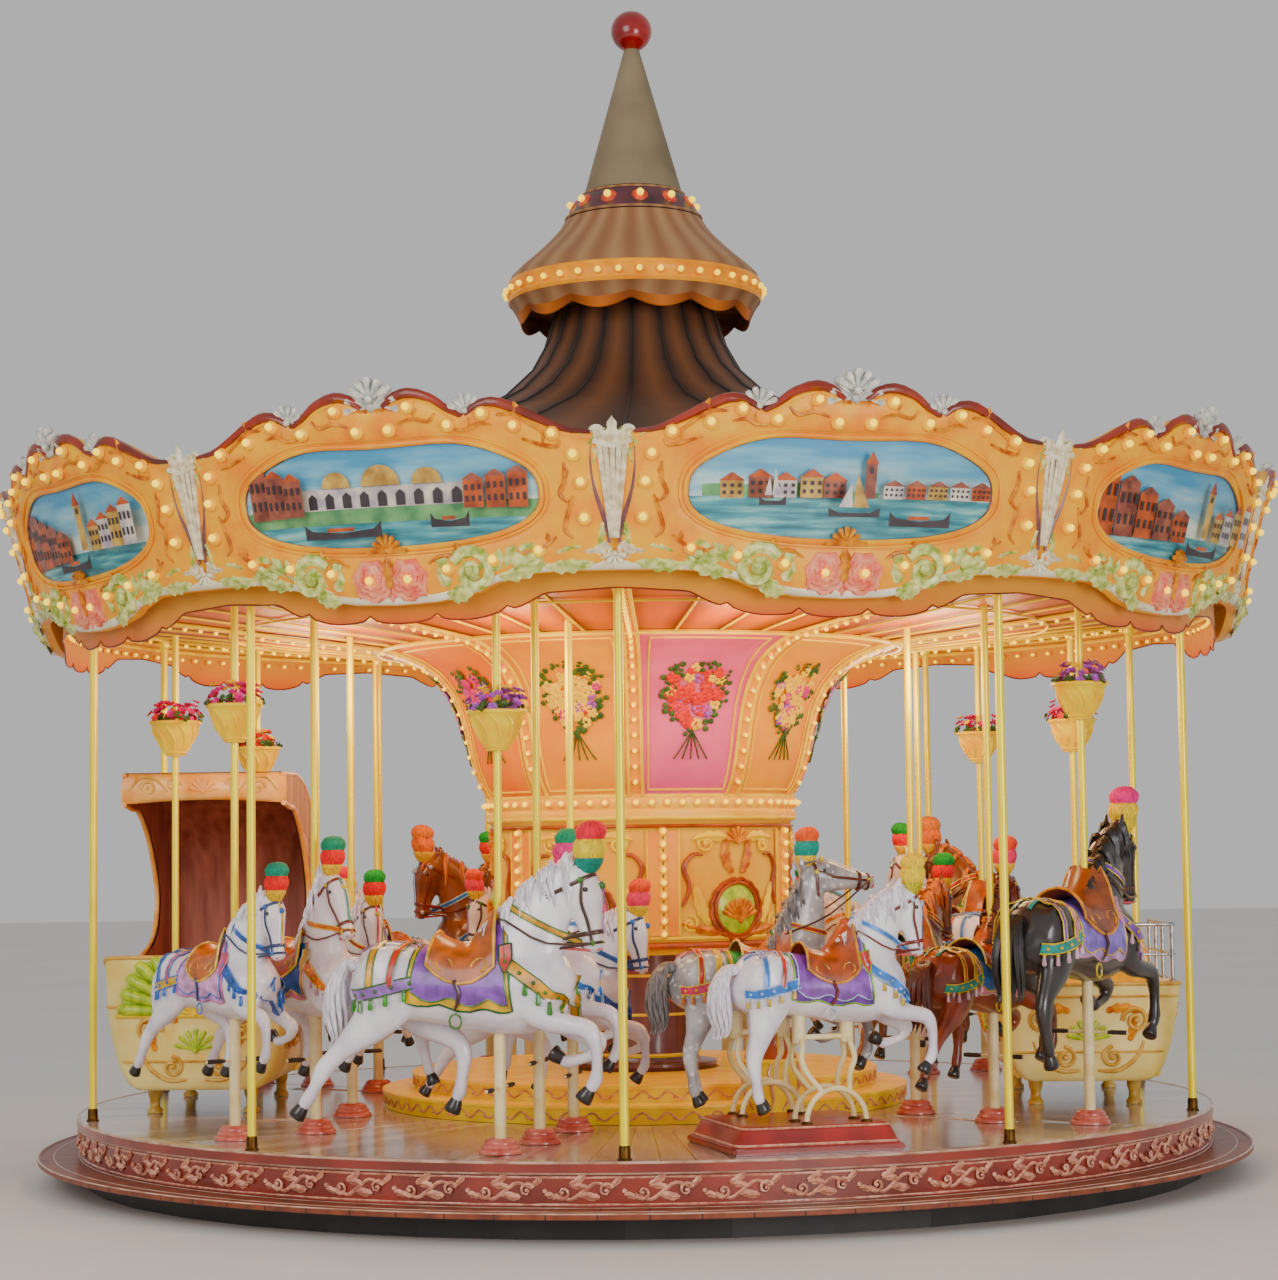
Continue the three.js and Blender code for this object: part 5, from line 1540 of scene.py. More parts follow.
def build_steps():
    """Round steps with a wavy line and beads on each rise."""
    bm = bmesh.new()
    profile = [(0.428, 0.002), (1.486, 0.002), (1.49, 0.08), (1.5, 0.084), (1.498, 0.098), (1.335, 0.1),
               (1.318, 0.104), (1.32, 0.17), (1.33, 0.174), (1.328, 0.189), (0.428, 0.19)]
    add_lathe(bm, above_deck(profile), 120, 0)
    for radius, middle in ((1.489, 0.045), (1.319, 0.14)):
        count = int(2 * pi * radius / 0.13)
        wave = []
        for i in range(count * 8):
            wave.append(on_circle(360 * i / (count * 8), radius + 0.003,
                                  DECK + middle + 0.02 * sin(2 * pi * i / 8)))
        add_tube(bm, wave, 0.0055, 5, closed=True, material=1)
        for i in range(count):
            place = on_circle(360 * (i + 0.5) / count, radius + 0.002, DECK + middle - 0.012)
            add_ball(bm, place, 0.008, 1, 1)
    piece_from(bm, "round_steps", "cream gilt", slot="cream_paint", replaces=("drum_steps",))


def build_tub():
    """Small carved tub on the deck."""
    bm = bmesh.new()
    bowl = [(0.001, 0.002), (0.094, 0.002), (0.108, 0.02), (0.105, 0.034), (0.088, 0.055), (0.092, 0.075),
            (0.125, 0.13), (0.146, 0.20), (0.149, 0.28), (0.142, 0.315), (0.148, 0.33), (0.138, 0.345)]
    upper = [(0.136, 0.345), (0.128, 0.37), (0.116, 0.44), (0.122, 0.485), (0.116, 0.498), (0.098, 0.49),
             (0.10, 0.44), (0.11, 0.36), (0.108, 0.25), (0.09, 0.18), (0.001, 0.165)]
    add_lathe(bm, bowl, 32, 0)
    add_lathe(bm, upper, 32, 1)
    for i in range(10):
        angle = 36 * i
        line = [(on_circle(angle + d, r, z)) for r, z, d in
                ((0.10, 0.08, 0), (0.135, 0.14, 5), (0.152, 0.21, 0), (0.152, 0.28, -5), (0.146, 0.325, 0))]
        add_tube(bm, line, [0.004, 0.008, 0.010, 0.008, 0.004], 6, material=2)
        line = [on_circle(angle + 18, r, z) for r, z in ((0.131, 0.36), (0.119, 0.42), (0.12, 0.48))]
        add_tube(bm, line, [0.004, 0.007, 0.004], 6, material=0)
    tub = piece_from(bm, "carved_bowl", "cream terracotta gilt", slot="cream_paint", replaces=("carved_tub",))
    tub.location = on_circle(TUB_DEG, TUB_CIRCLE, DECK)


# Roof, cupola and spire

ROOF_GORES = 20
GORE_STEPS = 8


def build_roof():
    """Taut sheet in gores with a seam between two."""
    line = ((3.455, 3.221), (2.9, 3.352), (2.0, 3.605), (1.45, 3.78), (1.0, 3.93), (0.78, 4.05),
            (0.62, 4.2), (0.53, 4.36), (0.472, 4.555))
    bm = bmesh.new()
    columns = ROOF_GORES * GORE_STEPS
    rows = []
    for r, z in line:
        row = []
        for j in range(columns):
            sag = 0.016 * r / 3.4 * sin(pi * (j % GORE_STEPS) / GORE_STEPS)
            row.append(on_circle(360 * j / columns, r, DECK + z - sag))
        rows.append(row)
    add_grid(bm, rows, closed=True)
    under = [(r - 0.004, DECK + z - 0.028) for r, z in line]
    add_lathe(bm, [(3.455, DECK + 3.221)] + under, 120, 1)
    for i in range(ROOF_GORES):
        seam = [on_circle(360 / ROOF_GORES * i, r, DECK + z + 0.003) for r, z in line]
        add_tube(bm, seam, 0.007, 5, material=1)
    add_ring(bm, 3.448, DECK + 3.222, 0.012, material=1, count=120)
    piece_from(bm, "roof_sheet", "roof frame", slot="roof_skin", replaces=("canopy_roof",))


def build_bell():
    """Scalloped skirt, ring and bell of the cupola."""
    bm = bmesh.new()
    # Scalloped skirt under the ring
    rows = []
    columns = 24 * 8
    for k in range(6):
        t = k / 5
        row = []
        for j in range(columns):
            lobe = abs(sin(pi * j / 16))
            low = 4.486 + 0.052 * (1 - lobe)
            radius = 0.738 + (0.672 - 0.738) * t ** 0.8
            row.append(on_circle(360 * j / columns, radius, DECK + 4.622 + (low - 4.622) * t))
        rows.append(row)
    add_grid(bm, rows[:4], closed=True, material=0)
    add_grid(bm, rows[3:], closed=True, material=1)
    add_tube(bm, rows[-1], 0.005, 4, closed=True, material=1)
    inside = [(0.664, 4.53), (0.70, 4.61), (0.5, 4.60), (0.42, 4.562)]
    add_lathe(bm, above_deck(inside), 96, 3)
    ring = [(0.70, 4.61), (0.738, 4.62), (0.745, 4.64), (0.735, 4.655), (0.735, 4.705), (0.745, 4.72),
            (0.738, 4.74), (0.70, 4.75)]
    add_lathe(bm, above_deck(ring), 96, 2)
    # The bell in gores
    bell = ((0.735, 4.742), (0.72, 4.775), (0.665, 4.83), (0.60, 4.885), (0.54, 4.94), (0.475, 5.005),
            (0.43, 5.06), (0.404, 5.105))
    rows = []
    for r, z in bell:
        row = []
        for j in range(columns):
            dip = 0.004 * r * (1 - abs(sin(pi * j / 8)))
            row.append(on_circle(360 * j / columns, r - dip, DECK + z))
        rows.append(row)
    add_grid(bm, rows, closed=True, material=0)
    add_lathe(bm, [(0.145, DECK + 5.108), (0.398, DECK + 5.108)], 64, 4)
    piece_from(bm, "bell_and_skirt", "bell copper golden bell spire", slot="roof_skin",
               replaces=("cupola_bell",))


def build_lantern():
    """Band between bell and spire, with its bulbs and those of the ring under the bell."""
    bm = bmesh.new()
    band = [(0.40, 5.111), (0.403, 5.12), (0.392, 5.13), (0.375, 5.16), (0.325, 5.235), (0.305, 5.25),
            (0.30, 5.265), (0.285, 5.27)]
    add_lathe(bm, above_deck(band), 64, 0)
    for r, z in ((0.398, 5.12), (0.30, 5.258)):
        add_ring(bm, r, DECK + z, 0.008, material=1, count=64)
    piece_from(bm, "lantern_ring", "lantern bell", slot="red_paint", replaces=("lantern_band",))
    places = []
    for i in range(40):
        places.append((on_circle(9 * i + 4, 0.738, DECK + 4.68), on_circle(9 * i + 4, 1)))
    add_piece("cupola_bulbs", bulbs_mesh("cupola_bulbs", places, 0.018, 0.026), looks("bulb golden"),
              slot="roof_skin")
    places = [(on_circle(30 * i + 8, 0.352, DECK + 5.19), on_circle(30 * i + 8, 1, 0.6)) for i in range(12)]
    add_piece("lantern_bulbs", bulbs_mesh("lantern_bulbs", places, 0.022, 0.05), looks("bulb rosette"),
              slot="red_paint")


def build_spire():
    """Cone with a ball on top."""
    bm = bmesh.new()
    columns = 20 * 4
    rows = []
    for t in (0, 0.03, 0.1, 0.25, 0.5, 0.75, 1.0):
        radius = 0.288 + (0.042 - 0.288) * t
        rows.append([on_circle(360 * j / columns, radius, DECK + 5.272 + 0.873 * t) for j in range(columns)])
    add_grid(bm, rows, closed=True, material=0)
    piece_from(bm, "spire_cone", "spire", slot="spire_paint", replaces=("spire",))
    bm = bmesh.new()
    add_ball(bm, (0, 0, DECK + 6.249), 0.121, 4, 0)
    add_lathe(bm, [(0.042, DECK + 6.148), (0.056, DECK + 6.152), (0.05, DECK + 6.17)], 24, 1)
    piece_from(bm, "red_ball", "ball spire", slot="red_paint", replaces=("finial_ball",))


# Deck, skirt and running board

def jumper_places():
    """Angle, radius, size and lift of every horse on a pole, with its node's name."""
    for i, group in enumerate(JUMPERS):
        for row, (name, radius) in enumerate(ROWS):
            yield (f"{name}_horse_{i + 1}", section_angle(group["section"]) + group["turns"][row], radius,
                   group["sizes"][row], group["lifts"][row], row, i)


def build_deck():
    """Boarded floor of the turntable."""
    m = MATERIALS
    bm = bmesh.new()
    profile = [(0.16, -0.058), (3.185, -0.058), (3.192, -0.05), (3.192, -0.012), (3.185, -0.002),
               (3.175, 0.0), (3.10, 0.0), (2.5, 0.0), (1.6, 0.0), (0.9, 0.0), (0.16, 0.0)]
    add_lathe(bm, above_deck(profile), ROUND, 0, closed_profile=True)
    deck = piece_from(bm, "boarded_deck", "deck", slot="deck_wood", replaces=("deck",))
    drill_holes(deck)
    deck.material_slots[0].link = "OBJECT"
    deck.material_slots[0].material = m["deck"]


def drill_holes(deck):
    """Holes for the poles of the jumping horses."""
    bm = bmesh.new()
    for _, degrees, radius, *_ in jumper_places():
        x, y, _z = on_circle(degrees, radius)
        drill = [(0.0001, DECK - 0.2), (0.034, DECK - 0.2), (0.034, DECK + 0.2), (0.0001, DECK + 0.2)]
        add_lathe(bm, drill, 20, 0, centre=(x, y, 0))
    drills = new_object("drills", mesh_from("drills", bm))
    cut = deck.modifiers.new("holes", "BOOLEAN")
    cut.operation = "DIFFERENCE"
    cut.object = drills
    apply_modifiers(deck)
    bpy.data.objects.remove(drills)


def build_nosing():
    """Rounded edge of the deck."""
    bm = bmesh.new()
    add_ring(bm, 3.188, DECK - 0.006, 0.009)
    add_ring(bm, 3.186, DECK - 0.052, 0.007)
    band = [(3.186, -0.05), (3.196, -0.048), (3.196, -0.01), (3.186, -0.006)]
    add_lathe(bm, above_deck(band), ROUND, 1)
    piece_from(bm, "deck_nosing", "nosing skirt", slot="deck_wood")


def build_cups():
    """Ribbed collars round the holes in the deck."""
    bm = bmesh.new()
    profile = [(0.0335, 0.002), (0.104, 0.002), (0.105, 0.012), (0.099, 0.021), (0.090, 0.024),
               (0.092, 0.032), (0.086, 0.043), (0.078, 0.046), (0.079, 0.054), (0.072, 0.065),
               (0.062, 0.069), (0.058, 0.074), (0.036, 0.074), (0.0335, 0.07)]
    for _, degrees, radius, *_ in jumper_places():
        x, y, _z = on_circle(degrees, radius)
        add_lathe(bm, above_deck(profile), 28, 0, closed_profile=True, centre=(x, y, 0))
    piece_from(bm, "pole_collars", "cup", slot="deck_wood")


def build_skirt():
    """Carved band round the deck."""

    def surface(u, z, out=0.0):
        return on_circle(degrees_of(u / SKIRT_RADIUS), SKIRT_RADIUS + out, z)

    bm = bmesh.new()
    low, high = 0.1525, DECK - 0.0612
    add_lathe(bm, [(3.162, low), (3.176, low), (3.176, high), (3.162, high)], ROUND, 0, closed_profile=True)
    for z in (low + 0.012, high - 0.01):
        add_ring(bm, 3.173, z, 0.006, material=1)
    units = 54
    step = 2 * pi * SKIRT_RADIUS / units
    middle = (low + high) / 2
    for i in range(units):
        u = i * step
        for sign, turn in ((1, 200), (-1, 20)):
            place = u + step / 2 - sign * (step / 2 - 0.085)
            add_spiral(bm, surface, place, middle - 0.005 * sign, 0.036, turn, 1.2, 0.0085, 1, 5)
            add_leaf(bm, surface, place + sign * 0.03, middle + 0.03 * sign, 20 * sign + 90 * (1 - sign),
                     0.10, 0.016, 1, 40, 2, 0.001)
            add_leaf(bm, surface, place - sign * 0.03, middle - 0.03 * sign, 90 + 60 * sign, 0.06, 0.014, 1,
                     40, 2, 0.001)
        add_scroll(bm, surface, ((u + 0.05, middle - 0.012), (u + 0.12, middle - 0.038), (u + 0.18, middle),
                                 (u + 0.24, middle + 0.038), (u + 0.31, middle + 0.012)), 0.010, 1, 5, 4, 0.0)
        add_leaf(bm, surface, u + 0.17, middle - 0.01, -30, 0.09, 0.016, 1, 50, 2, 0.001)
        add_leaf(bm, surface, u + 0.20, middle + 0.01, 150, 0.09, 0.016, 1, 50, 2, 0.001)
        add_ball(bm, surface(u, middle, 0.0), 0.014, 1, 1)
    piece_from(bm, "carved_skirt", "skirt gilt", 40, 0.55, slot="red_skirt", replaces=("deck_skirt",))


def build_running_board():
    """Low step round the deck with a pale edge."""
    bm = bmesh.new()
    profile = [(3.132, 0.122), (3.40, 0.122), (3.40, 0.149), (3.13, 0.149)]
    add_lathe(bm, profile, ROUND, 0, closed_profile=True)
    edge = [(3.401, 0.122), (3.408, 0.126), (3.409, 0.146), (3.402, 0.151), (3.385, 0.151)]
    add_lathe(bm, edge, ROUND, 0)
    for radius, z, thick in ((3.18, 0.1485, 0.003), (3.32, 0.1485, 0.003), (3.404, 0.149, 0.005)):
        add_ring(bm, radius, z, thick, 5, material=1)
    piece_from(bm, "timber_running_board", "step nosing", slot="step_wood", replaces=("running_board",))


def build_plain_nodes():
    """Nodes of the part that stay as they are, under the looks' materials."""
    m = MATERIALS
    for node, material in (("base_plinth", "frame"), ("center_bearing", "frame"), ("center_mast", "steel")):
        bpy.data.objects[node].material_slots[0].material = m[material]


# Horses. Every form lies in a full-size horse's own frame: x forward from the pole, y to its left.

NEAR, FAR = -1, 1
BODY_VOXEL, BODY_KEEP = 0.0105, 0.08


class Limb:
    """A round limb through stations (x, y, z, depth, width): depth in the plane of travel, width across."""

    def __init__(self, stations):
        self.stations = [Vector(s) for s in stations]

    def values(self, s):
        last = len(self.stations) - 1
        place = min(max(s, 0), 1) * last
        i = min(int(place), last - 1)
        around = [self.stations[min(max(i + k, 0), last)] for k in (-1, 0, 1, 2)]
        return catmull(*around, place - i)

    def direction(self, s):
        along = self.values(min(s + 0.02, 1)) - self.values(max(s - 0.02, 0))
        return Vector((along[0], 0, along[2])).normalized()

    def point(self, s, degrees, lift=0.0):
        """Surface point: 0 degrees is the back, crest or nose side, 90 the left flank, 180 the belly side."""
        here = self.values(s)
        tangent = self.direction(s)
        across = Vector((-tangent.z, 0, tangent.x))
        angle = radians(degrees)
        return (Vector(here[:3]) + across * cos(angle) * (here[3] + lift)
                + Vector((0, 1, 0)) * sin(angle) * (here[4] + lift))


def add_limb(bm, limb, rings=20, sides=16, material=0):
    rows = []
    for i in range(rings + 1):
        rows.append([limb.point(i / rings, 360 * j / sides) for j in range(sides)])
    add_grid(bm, rows, closed=True, caps=True, material=material)


TORSO = Limb([
    (-0.74, 0, 0.82, 0.03, 0.03),
    (-0.70, 0, 0.81, 0.13, 0.11),
    (-0.62, 0, 0.81, 0.18, 0.16),
    (-0.51, 0, 0.81, 0.192, 0.182),
    (-0.38, 0, 0.80, 0.180, 0.176),
    (-0.24, 0, 0.785, 0.182, 0.178),
    (-0.10, 0, 0.775, 0.198, 0.182),
    (0.03, 0, 0.775, 0.216, 0.180),
    (0.14, 0, 0.785, 0.218, 0.170),
    (0.24, 0, 0.79, 0.195, 0.155),
    (0.32, 0, 0.785, 0.145, 0.122),
    (0.375, 0, 0.78, 0.06, 0.055),
])
HEADS = {
    "tucked": {
        "neck": Limb([
            (0.05, 0, 0.86, 0.225, 0.135), (0.12, 0, 0.97, 0.212, 0.122), (0.175, 0, 1.07, 0.180, 0.102),
            (0.225, 0, 1.16, 0.148, 0.086), (0.285, 0, 1.24, 0.118, 0.073), (0.345, 0, 1.30, 0.09, 0.06),
            (0.39, 0, 1.315, 0.06, 0.05),
        ]),
        "head": Limb([
            (0.340, 0, 1.345, 0.045, 0.042), (0.388, 0, 1.292, 0.088, 0.066), (0.416, 0, 1.22, 0.102, 0.070),
            (0.436, 0, 1.15, 0.082, 0.058), (0.452, 0, 1.08, 0.060, 0.047), (0.462, 0, 1.02, 0.052, 0.044),
            (0.468, 0, 0.978, 0.048, 0.047), (0.467, 0, 0.948, 0.024, 0.028),
        ]),
        "ear": ((0.335, 0.036, 1.335), (0.342, 0.045, 1.39), (0.362, 0.047, 1.44)),
        "plume": (0.440, 1.305),
    },
    "upright": {
        "neck": Limb([
            (0.05, 0, 0.87, 0.22, 0.132), (0.085, 0, 0.99, 0.200, 0.116), (0.11, 0, 1.10, 0.170, 0.098),
            (0.125, 0, 1.20, 0.142, 0.082), (0.135, 0, 1.29, 0.116, 0.071), (0.145, 0, 1.37, 0.09, 0.06),
            (0.165, 0, 1.40, 0.06, 0.05),
        ]),
        "head": Limb([
            (0.095, 0, 1.425, 0.05, 0.042), (0.160, 0, 1.378, 0.090, 0.066), (0.213, 0, 1.308, 0.102, 0.070),
            (0.250, 0, 1.24, 0.084, 0.059), (0.283, 0, 1.17, 0.061, 0.048), (0.308, 0, 1.12, 0.053, 0.045),
            (0.325, 0, 1.078, 0.048, 0.047), (0.330, 0, 1.048, 0.024, 0.028),
        ]),
        "ear": ((0.085, 0.036, 1.415), (0.088, 0.045, 1.47), (0.105, 0.047, 1.52)),
        "plume": (0.165, 1.425),
    },
    "raised": {
        "neck": Limb([
            (0.05, 0, 0.87, 0.22, 0.132), (0.095, 0, 1.0, 0.195, 0.114), (0.125, 0, 1.12, 0.165, 0.096),
            (0.15, 0, 1.22, 0.140, 0.082), (0.17, 0, 1.31, 0.116, 0.071), (0.20, 0, 1.39, 0.09, 0.06),
        ]),
        "head": Limb([
            (0.13, 0, 1.42, 0.05, 0.042), (0.20, 0, 1.432, 0.088, 0.062), (0.285, 0, 1.435, 0.102, 0.069),
            (0.37, 0, 1.425, 0.084, 0.058), (0.455, 0, 1.412, 0.062, 0.048), (0.53, 0, 1.402, 0.053, 0.045),
            (0.585, 0, 1.395, 0.047, 0.046), (0.613, 0, 1.392, 0.024, 0.028),
        ]),
        "ear": ((0.145, 0.036, 1.475), (0.12, 0.045, 1.53), (0.11, 0.047, 1.57)),
        "plume": (0.155, 1.475),
    },
}
NEAR_FORELEG = (
    (0.20, 0.085, 0.84, 0.10, 0.055), (0.20, 0.110, 0.72, 0.094, 0.064),
    (0.27, 0.118, 0.645, 0.066, 0.055), (0.38, 0.122, 0.615, 0.050, 0.046),
    (0.472, 0.124, 0.592, 0.048, 0.043), (0.508, 0.124, 0.520, 0.034, 0.032),
    (0.513, 0.124, 0.430, 0.027, 0.027), (0.506, 0.124, 0.365, 0.035, 0.034),
    (0.472, 0.124, 0.310, 0.028, 0.028),
)
FAR_FORELEG = (
    (0.20, 0.085, 0.84, 0.10, 0.055), (0.21, 0.110, 0.70, 0.090, 0.062),
    (0.30, 0.118, 0.605, 0.062, 0.052), (0.39, 0.122, 0.555, 0.048, 0.045),
    (0.452, 0.124, 0.522, 0.046, 0.043), (0.425, 0.124, 0.465, 0.032, 0.031),
    (0.358, 0.124, 0.438, 0.027, 0.027), (0.302, 0.124, 0.425, 0.034, 0.033),
    (0.270, 0.124, 0.440, 0.028, 0.028),
)
GATHERED_HIND_LEG = (
    (-0.50, 0.075, 0.86, 0.13, 0.07), (-0.48, 0.100, 0.74, 0.152, 0.082),
    (-0.42, 0.112, 0.64, 0.112, 0.068), (-0.33, 0.118, 0.575, 0.070, 0.052),
    (-0.245, 0.120, 0.515, 0.050, 0.042), (-0.215, 0.120, 0.450, 0.043, 0.038),
    (-0.225, 0.120, 0.360, 0.029, 0.029), (-0.238, 0.120, 0.285, 0.035, 0.034),
    (-0.258, 0.120, 0.235, 0.028, 0.028),
)
NEAR_HIND_LEGS = {
    "long": (
        (-0.50, 0.075, 0.86, 0.13, 0.07), (-0.53, 0.100, 0.74, 0.150, 0.082),
        (-0.60, 0.112, 0.63, 0.108, 0.068), (-0.70, 0.118, 0.54, 0.068, 0.052),
        (-0.79, 0.120, 0.460, 0.047, 0.041), (-0.845, 0.120, 0.400, 0.047, 0.039),
        (-0.888, 0.120, 0.320, 0.031, 0.030), (-0.926, 0.120, 0.260, 0.036, 0.035),
        (-0.955, 0.120, 0.218, 0.029, 0.029),
    ),
    "short": (
        (-0.50, 0.075, 0.86, 0.13, 0.07), (-0.52, 0.100, 0.74, 0.150, 0.082),
        (-0.575, 0.112, 0.64, 0.110, 0.068), (-0.64, 0.118, 0.56, 0.070, 0.052),
        (-0.685, 0.120, 0.490, 0.050, 0.042), (-0.692, 0.120, 0.420, 0.044, 0.038),
        (-0.672, 0.120, 0.335, 0.030, 0.029), (-0.655, 0.120, 0.268, 0.035, 0.034),
        (-0.640, 0.120, 0.225, 0.029, 0.029),
    ),
    "standing": (
        (-0.50, 0.075, 0.86, 0.13, 0.07), (-0.53, 0.095, 0.74, 0.150, 0.082),
        (-0.565, 0.105, 0.62, 0.110, 0.068), (-0.60, 0.108, 0.50, 0.068, 0.052),
        (-0.640, 0.108, 0.390, 0.050, 0.042), (-0.642, 0.108, 0.320, 0.042, 0.037),
        (-0.630, 0.108, 0.230, 0.030, 0.029), (-0.620, 0.108, 0.155, 0.035, 0.034),
        (-0.605, 0.108, 0.115, 0.029, 0.029),
    ),
}
FAR_STANDING_LEG = (
    (-0.49, 0.075, 0.86, 0.13, 0.07), (-0.49, 0.095, 0.74, 0.150, 0.082),
    (-0.50, 0.105, 0.62, 0.110, 0.068), (-0.525, 0.108, 0.50, 0.068, 0.052),
    (-0.560, 0.108, 0.390, 0.050, 0.042), (-0.560, 0.108, 0.320, 0.042, 0.037),
    (-0.545, 0.108, 0.230, 0.030, 0.029), (-0.533, 0.108, 0.155, 0.035, 0.034),
    (-0.518, 0.108, 0.115, 0.029, 0.029),
)


def leg(side, stations):
    return Limb([(x, side * y, z, depth, width) for x, y, z, depth, width in stations])


def horse_legs(stride):
    near_hind = NEAR_HIND_LEGS[stride]
    far_hind = FAR_STANDING_LEG if stride == "standing" else GATHERED_HIND_LEG
    return (leg(NEAR, NEAR_FORELEG), leg(FAR, FAR_FORELEG), leg(NEAR, near_hind), leg(FAR, far_hind))


def horse_body(name, pose, stride):
    """The carved body in one skin: limbs and muscles fused, softened and thinned out."""
    bm = bmesh.new()
    neck, head, ear = HEADS[pose]["neck"], HEADS[pose]["head"], HEADS[pose]["ear"]
    add_limb(bm, TORSO, 26, 20)
    add_limb(bm, neck, 16, 18)
    add_limb(bm, head, 20, 16)
    for limb in horse_legs(stride):
        add_limb(bm, limb, 30, 12)
    for side in (NEAR, FAR):
        (x0, y0, z0), (x1, y1, z1), (x2, y2, z2) = ear
        add_limb(bm, Limb([(x0, side * y0, z0, 0.026, 0.018), (x1, side * y1, z1, 0.024, 0.014),
                           (x2, side * y2, z2, 0.008, 0.005)]), 6, 8)
        add_ball(bm, head.point(0.30, 105 * side, -0.036), (0.060, 0.036, 0.064))
        add_ball(bm, head.point(0.86, 50 * side, -0.012), (0.021, 0.015, 0.021))
        add_ball(bm, head.point(0.25, 58 * side, -0.006), (0.024, 0.015, 0.022))
        add_ball(bm, TORSO.point(0.80, 100 * side, -0.05), (0.105, 0.072, 0.155))
        add_ball(bm, TORSO.point(0.26, 88 * side, -0.065), (0.165, 0.088, 0.175))
        add_ball(bm, TORSO.point(0.90, 140 * side, -0.03), (0.055, 0.05, 0.075))
    body = new_object(name, mesh_from(name, bm))
    fuse = body.modifiers.new("fuse", "REMESH")
    fuse.mode = "VOXEL"
    fuse.voxel_size = BODY_VOXEL
    soften = body.modifiers.new("soften", "SMOOTH")
    soften.factor = 0.6
    soften.iterations = 5
    thin = body.modifiers.new("thin", "DECIMATE")
    thin.ratio = BODY_KEEP
    apply_modifiers(body)
    mesh = body.data
    mesh.name = name
    bpy.data.objects.remove(body)
    for face in mesh.polygons:
        face.use_smooth = True
    return mesh


class Skin:
    """Finds places on a finished body for what lies on it."""

    def __init__(self, mesh):
        points = [v.co for v in mesh.vertices]
        faces = [tuple(p.vertices) for p in mesh.polygons]
        self.tree = BVHTree.FromPolygons(points, faces)

    def on(self, limb, s, degrees, lift=0.006):
        """The skin's point over a limb's station, lifted off it."""
        start = limb.point(s, degrees, 0.13)
        axis = Vector(limb.values(s)[:3])
        inward = (axis - start).normalized()
        hit, _normal, _index, _distance = self.tree.ray_cast(start, inward, 0.4)
        if hit is None:
            return limb.point(s, degrees, lift)
        return hit - inward * lift


def border_of(grid):
    """The outer points of a grid, once round."""
    far_end, near_side = grid[-1][-2::-1], [row[0] for row in grid[-2:0:-1]]
    return grid[0] + [row[-1] for row in grid[1:]] + far_end + near_side


def add_patch(bm, skin, limb, edges, rows, columns, material, lift=0.008, rim=None, thick=0.0045):
    """Cloth or leather on a limb. Edges gives, for each share along it, s and the two angles it spans."""
    grid = []
    for i in range(rows + 1):
        s, low, high = edges(i / rows)
        grid.append([skin.on(limb, s, low + (high - low) * j / columns, lift) for j in range(columns + 1)])
    add_grid(bm, grid, material=material)
    if rim is not None:
        add_tube(bm, border_of(grid), thick, 4, closed=True, material=rim)


def add_strap(bm, skin, limb, path, width, material, rim=None, lift=0.009, steps=5):
    """A flat strap through (s, degrees) places on a limb; width is in metres."""
    knots = smooth_line([(s, 0, d / 100) for s, d in path], steps)
    line = [skin.on(limb, p.x, p.z * 100, lift) for p in knots]
    rows = []
    for i, here in enumerate(line):
        tangent = (line[min(i + 1, len(line) - 1)] - line[max(i - 1, 0)]).normalized()
        axis = Vector(limb.values(knots[i].x)[:3])
        out = (here - axis).normalized()
        side = tangent.cross(out).normalized()
        out = side.cross(tangent).normalized()
        rows.append([here + side * width * k * 0.5 + out * (0.004 if k == 0 else 0) for k in (-1, 0, 1)])
    add_grid(bm, rows, material=material)
    if rim is not None:
        for end in (0, -1):
            add_tube(bm, [row[end] for row in rows], 0.0042, 4, material=rim)
    return line


def add_tassel(bm, place, length, material, knot):
    """A hanging tuft under a stud."""
    place = Vector(place)
    add_ball(bm, place, 0.011, 1, knot)
    line = [place + Vector((0, 0, -length * t)) for t in (0.1, 0.35, 0.8, 1.0)]
    add_tube(bm, line, [0.007, 0.011, 0.014, 0.010], 6, material=material)


SADDLE, SWIRL, BLANKET, EDGE, BAND, STUD, TASSEL, BRIDLE, PATCH, WITHERS, COLLAR = range(11)


def trappings_mesh(name, body, pose):
    """Everything that a horse wears."""
    bm = bmesh.new()
    skin = Skin(body)
    neck, head = HEADS[pose]["neck"], HEADS[pose]["head"]
    add_blankets(bm, skin)
    add_saddle(bm, skin)
    for side in (NEAR, FAR):
        add_saddle_side(bm, skin, side)
        add_croup_straps(bm, skin, side)
    for side in (NEAR, FAR):
        add_flank_straps(bm, skin, side)
    for side in (NEAR, FAR):
        add_withers_patch(bm, skin, side)
    add_bridle(bm, skin, neck, head)
    return mesh_from(name, bm, 50, 0.6)


def add_blankets(bm, skin):
    """Two blankets with scalloped edges."""

    def blanket(t):
        s = 0.36 + 0.32 * t
        drop = 98 + 12 * abs(sin(2.5 * pi * t))
        return s, -drop, drop

    def under_blanket(t):
        s = 0.345 + 0.35 * t
        drop = 112 + 8 * abs(sin(2.5 * pi * t + 0.6))
        return s, -drop, drop

    add_patch(bm, skin, TORSO, under_blanket, 16, 18, BLANKET, 0.007, rim=EDGE, thick=0.0055)
    add_patch(bm, skin, TORSO, blanket, 14, 16, PATCH, 0.013, rim=STUD)


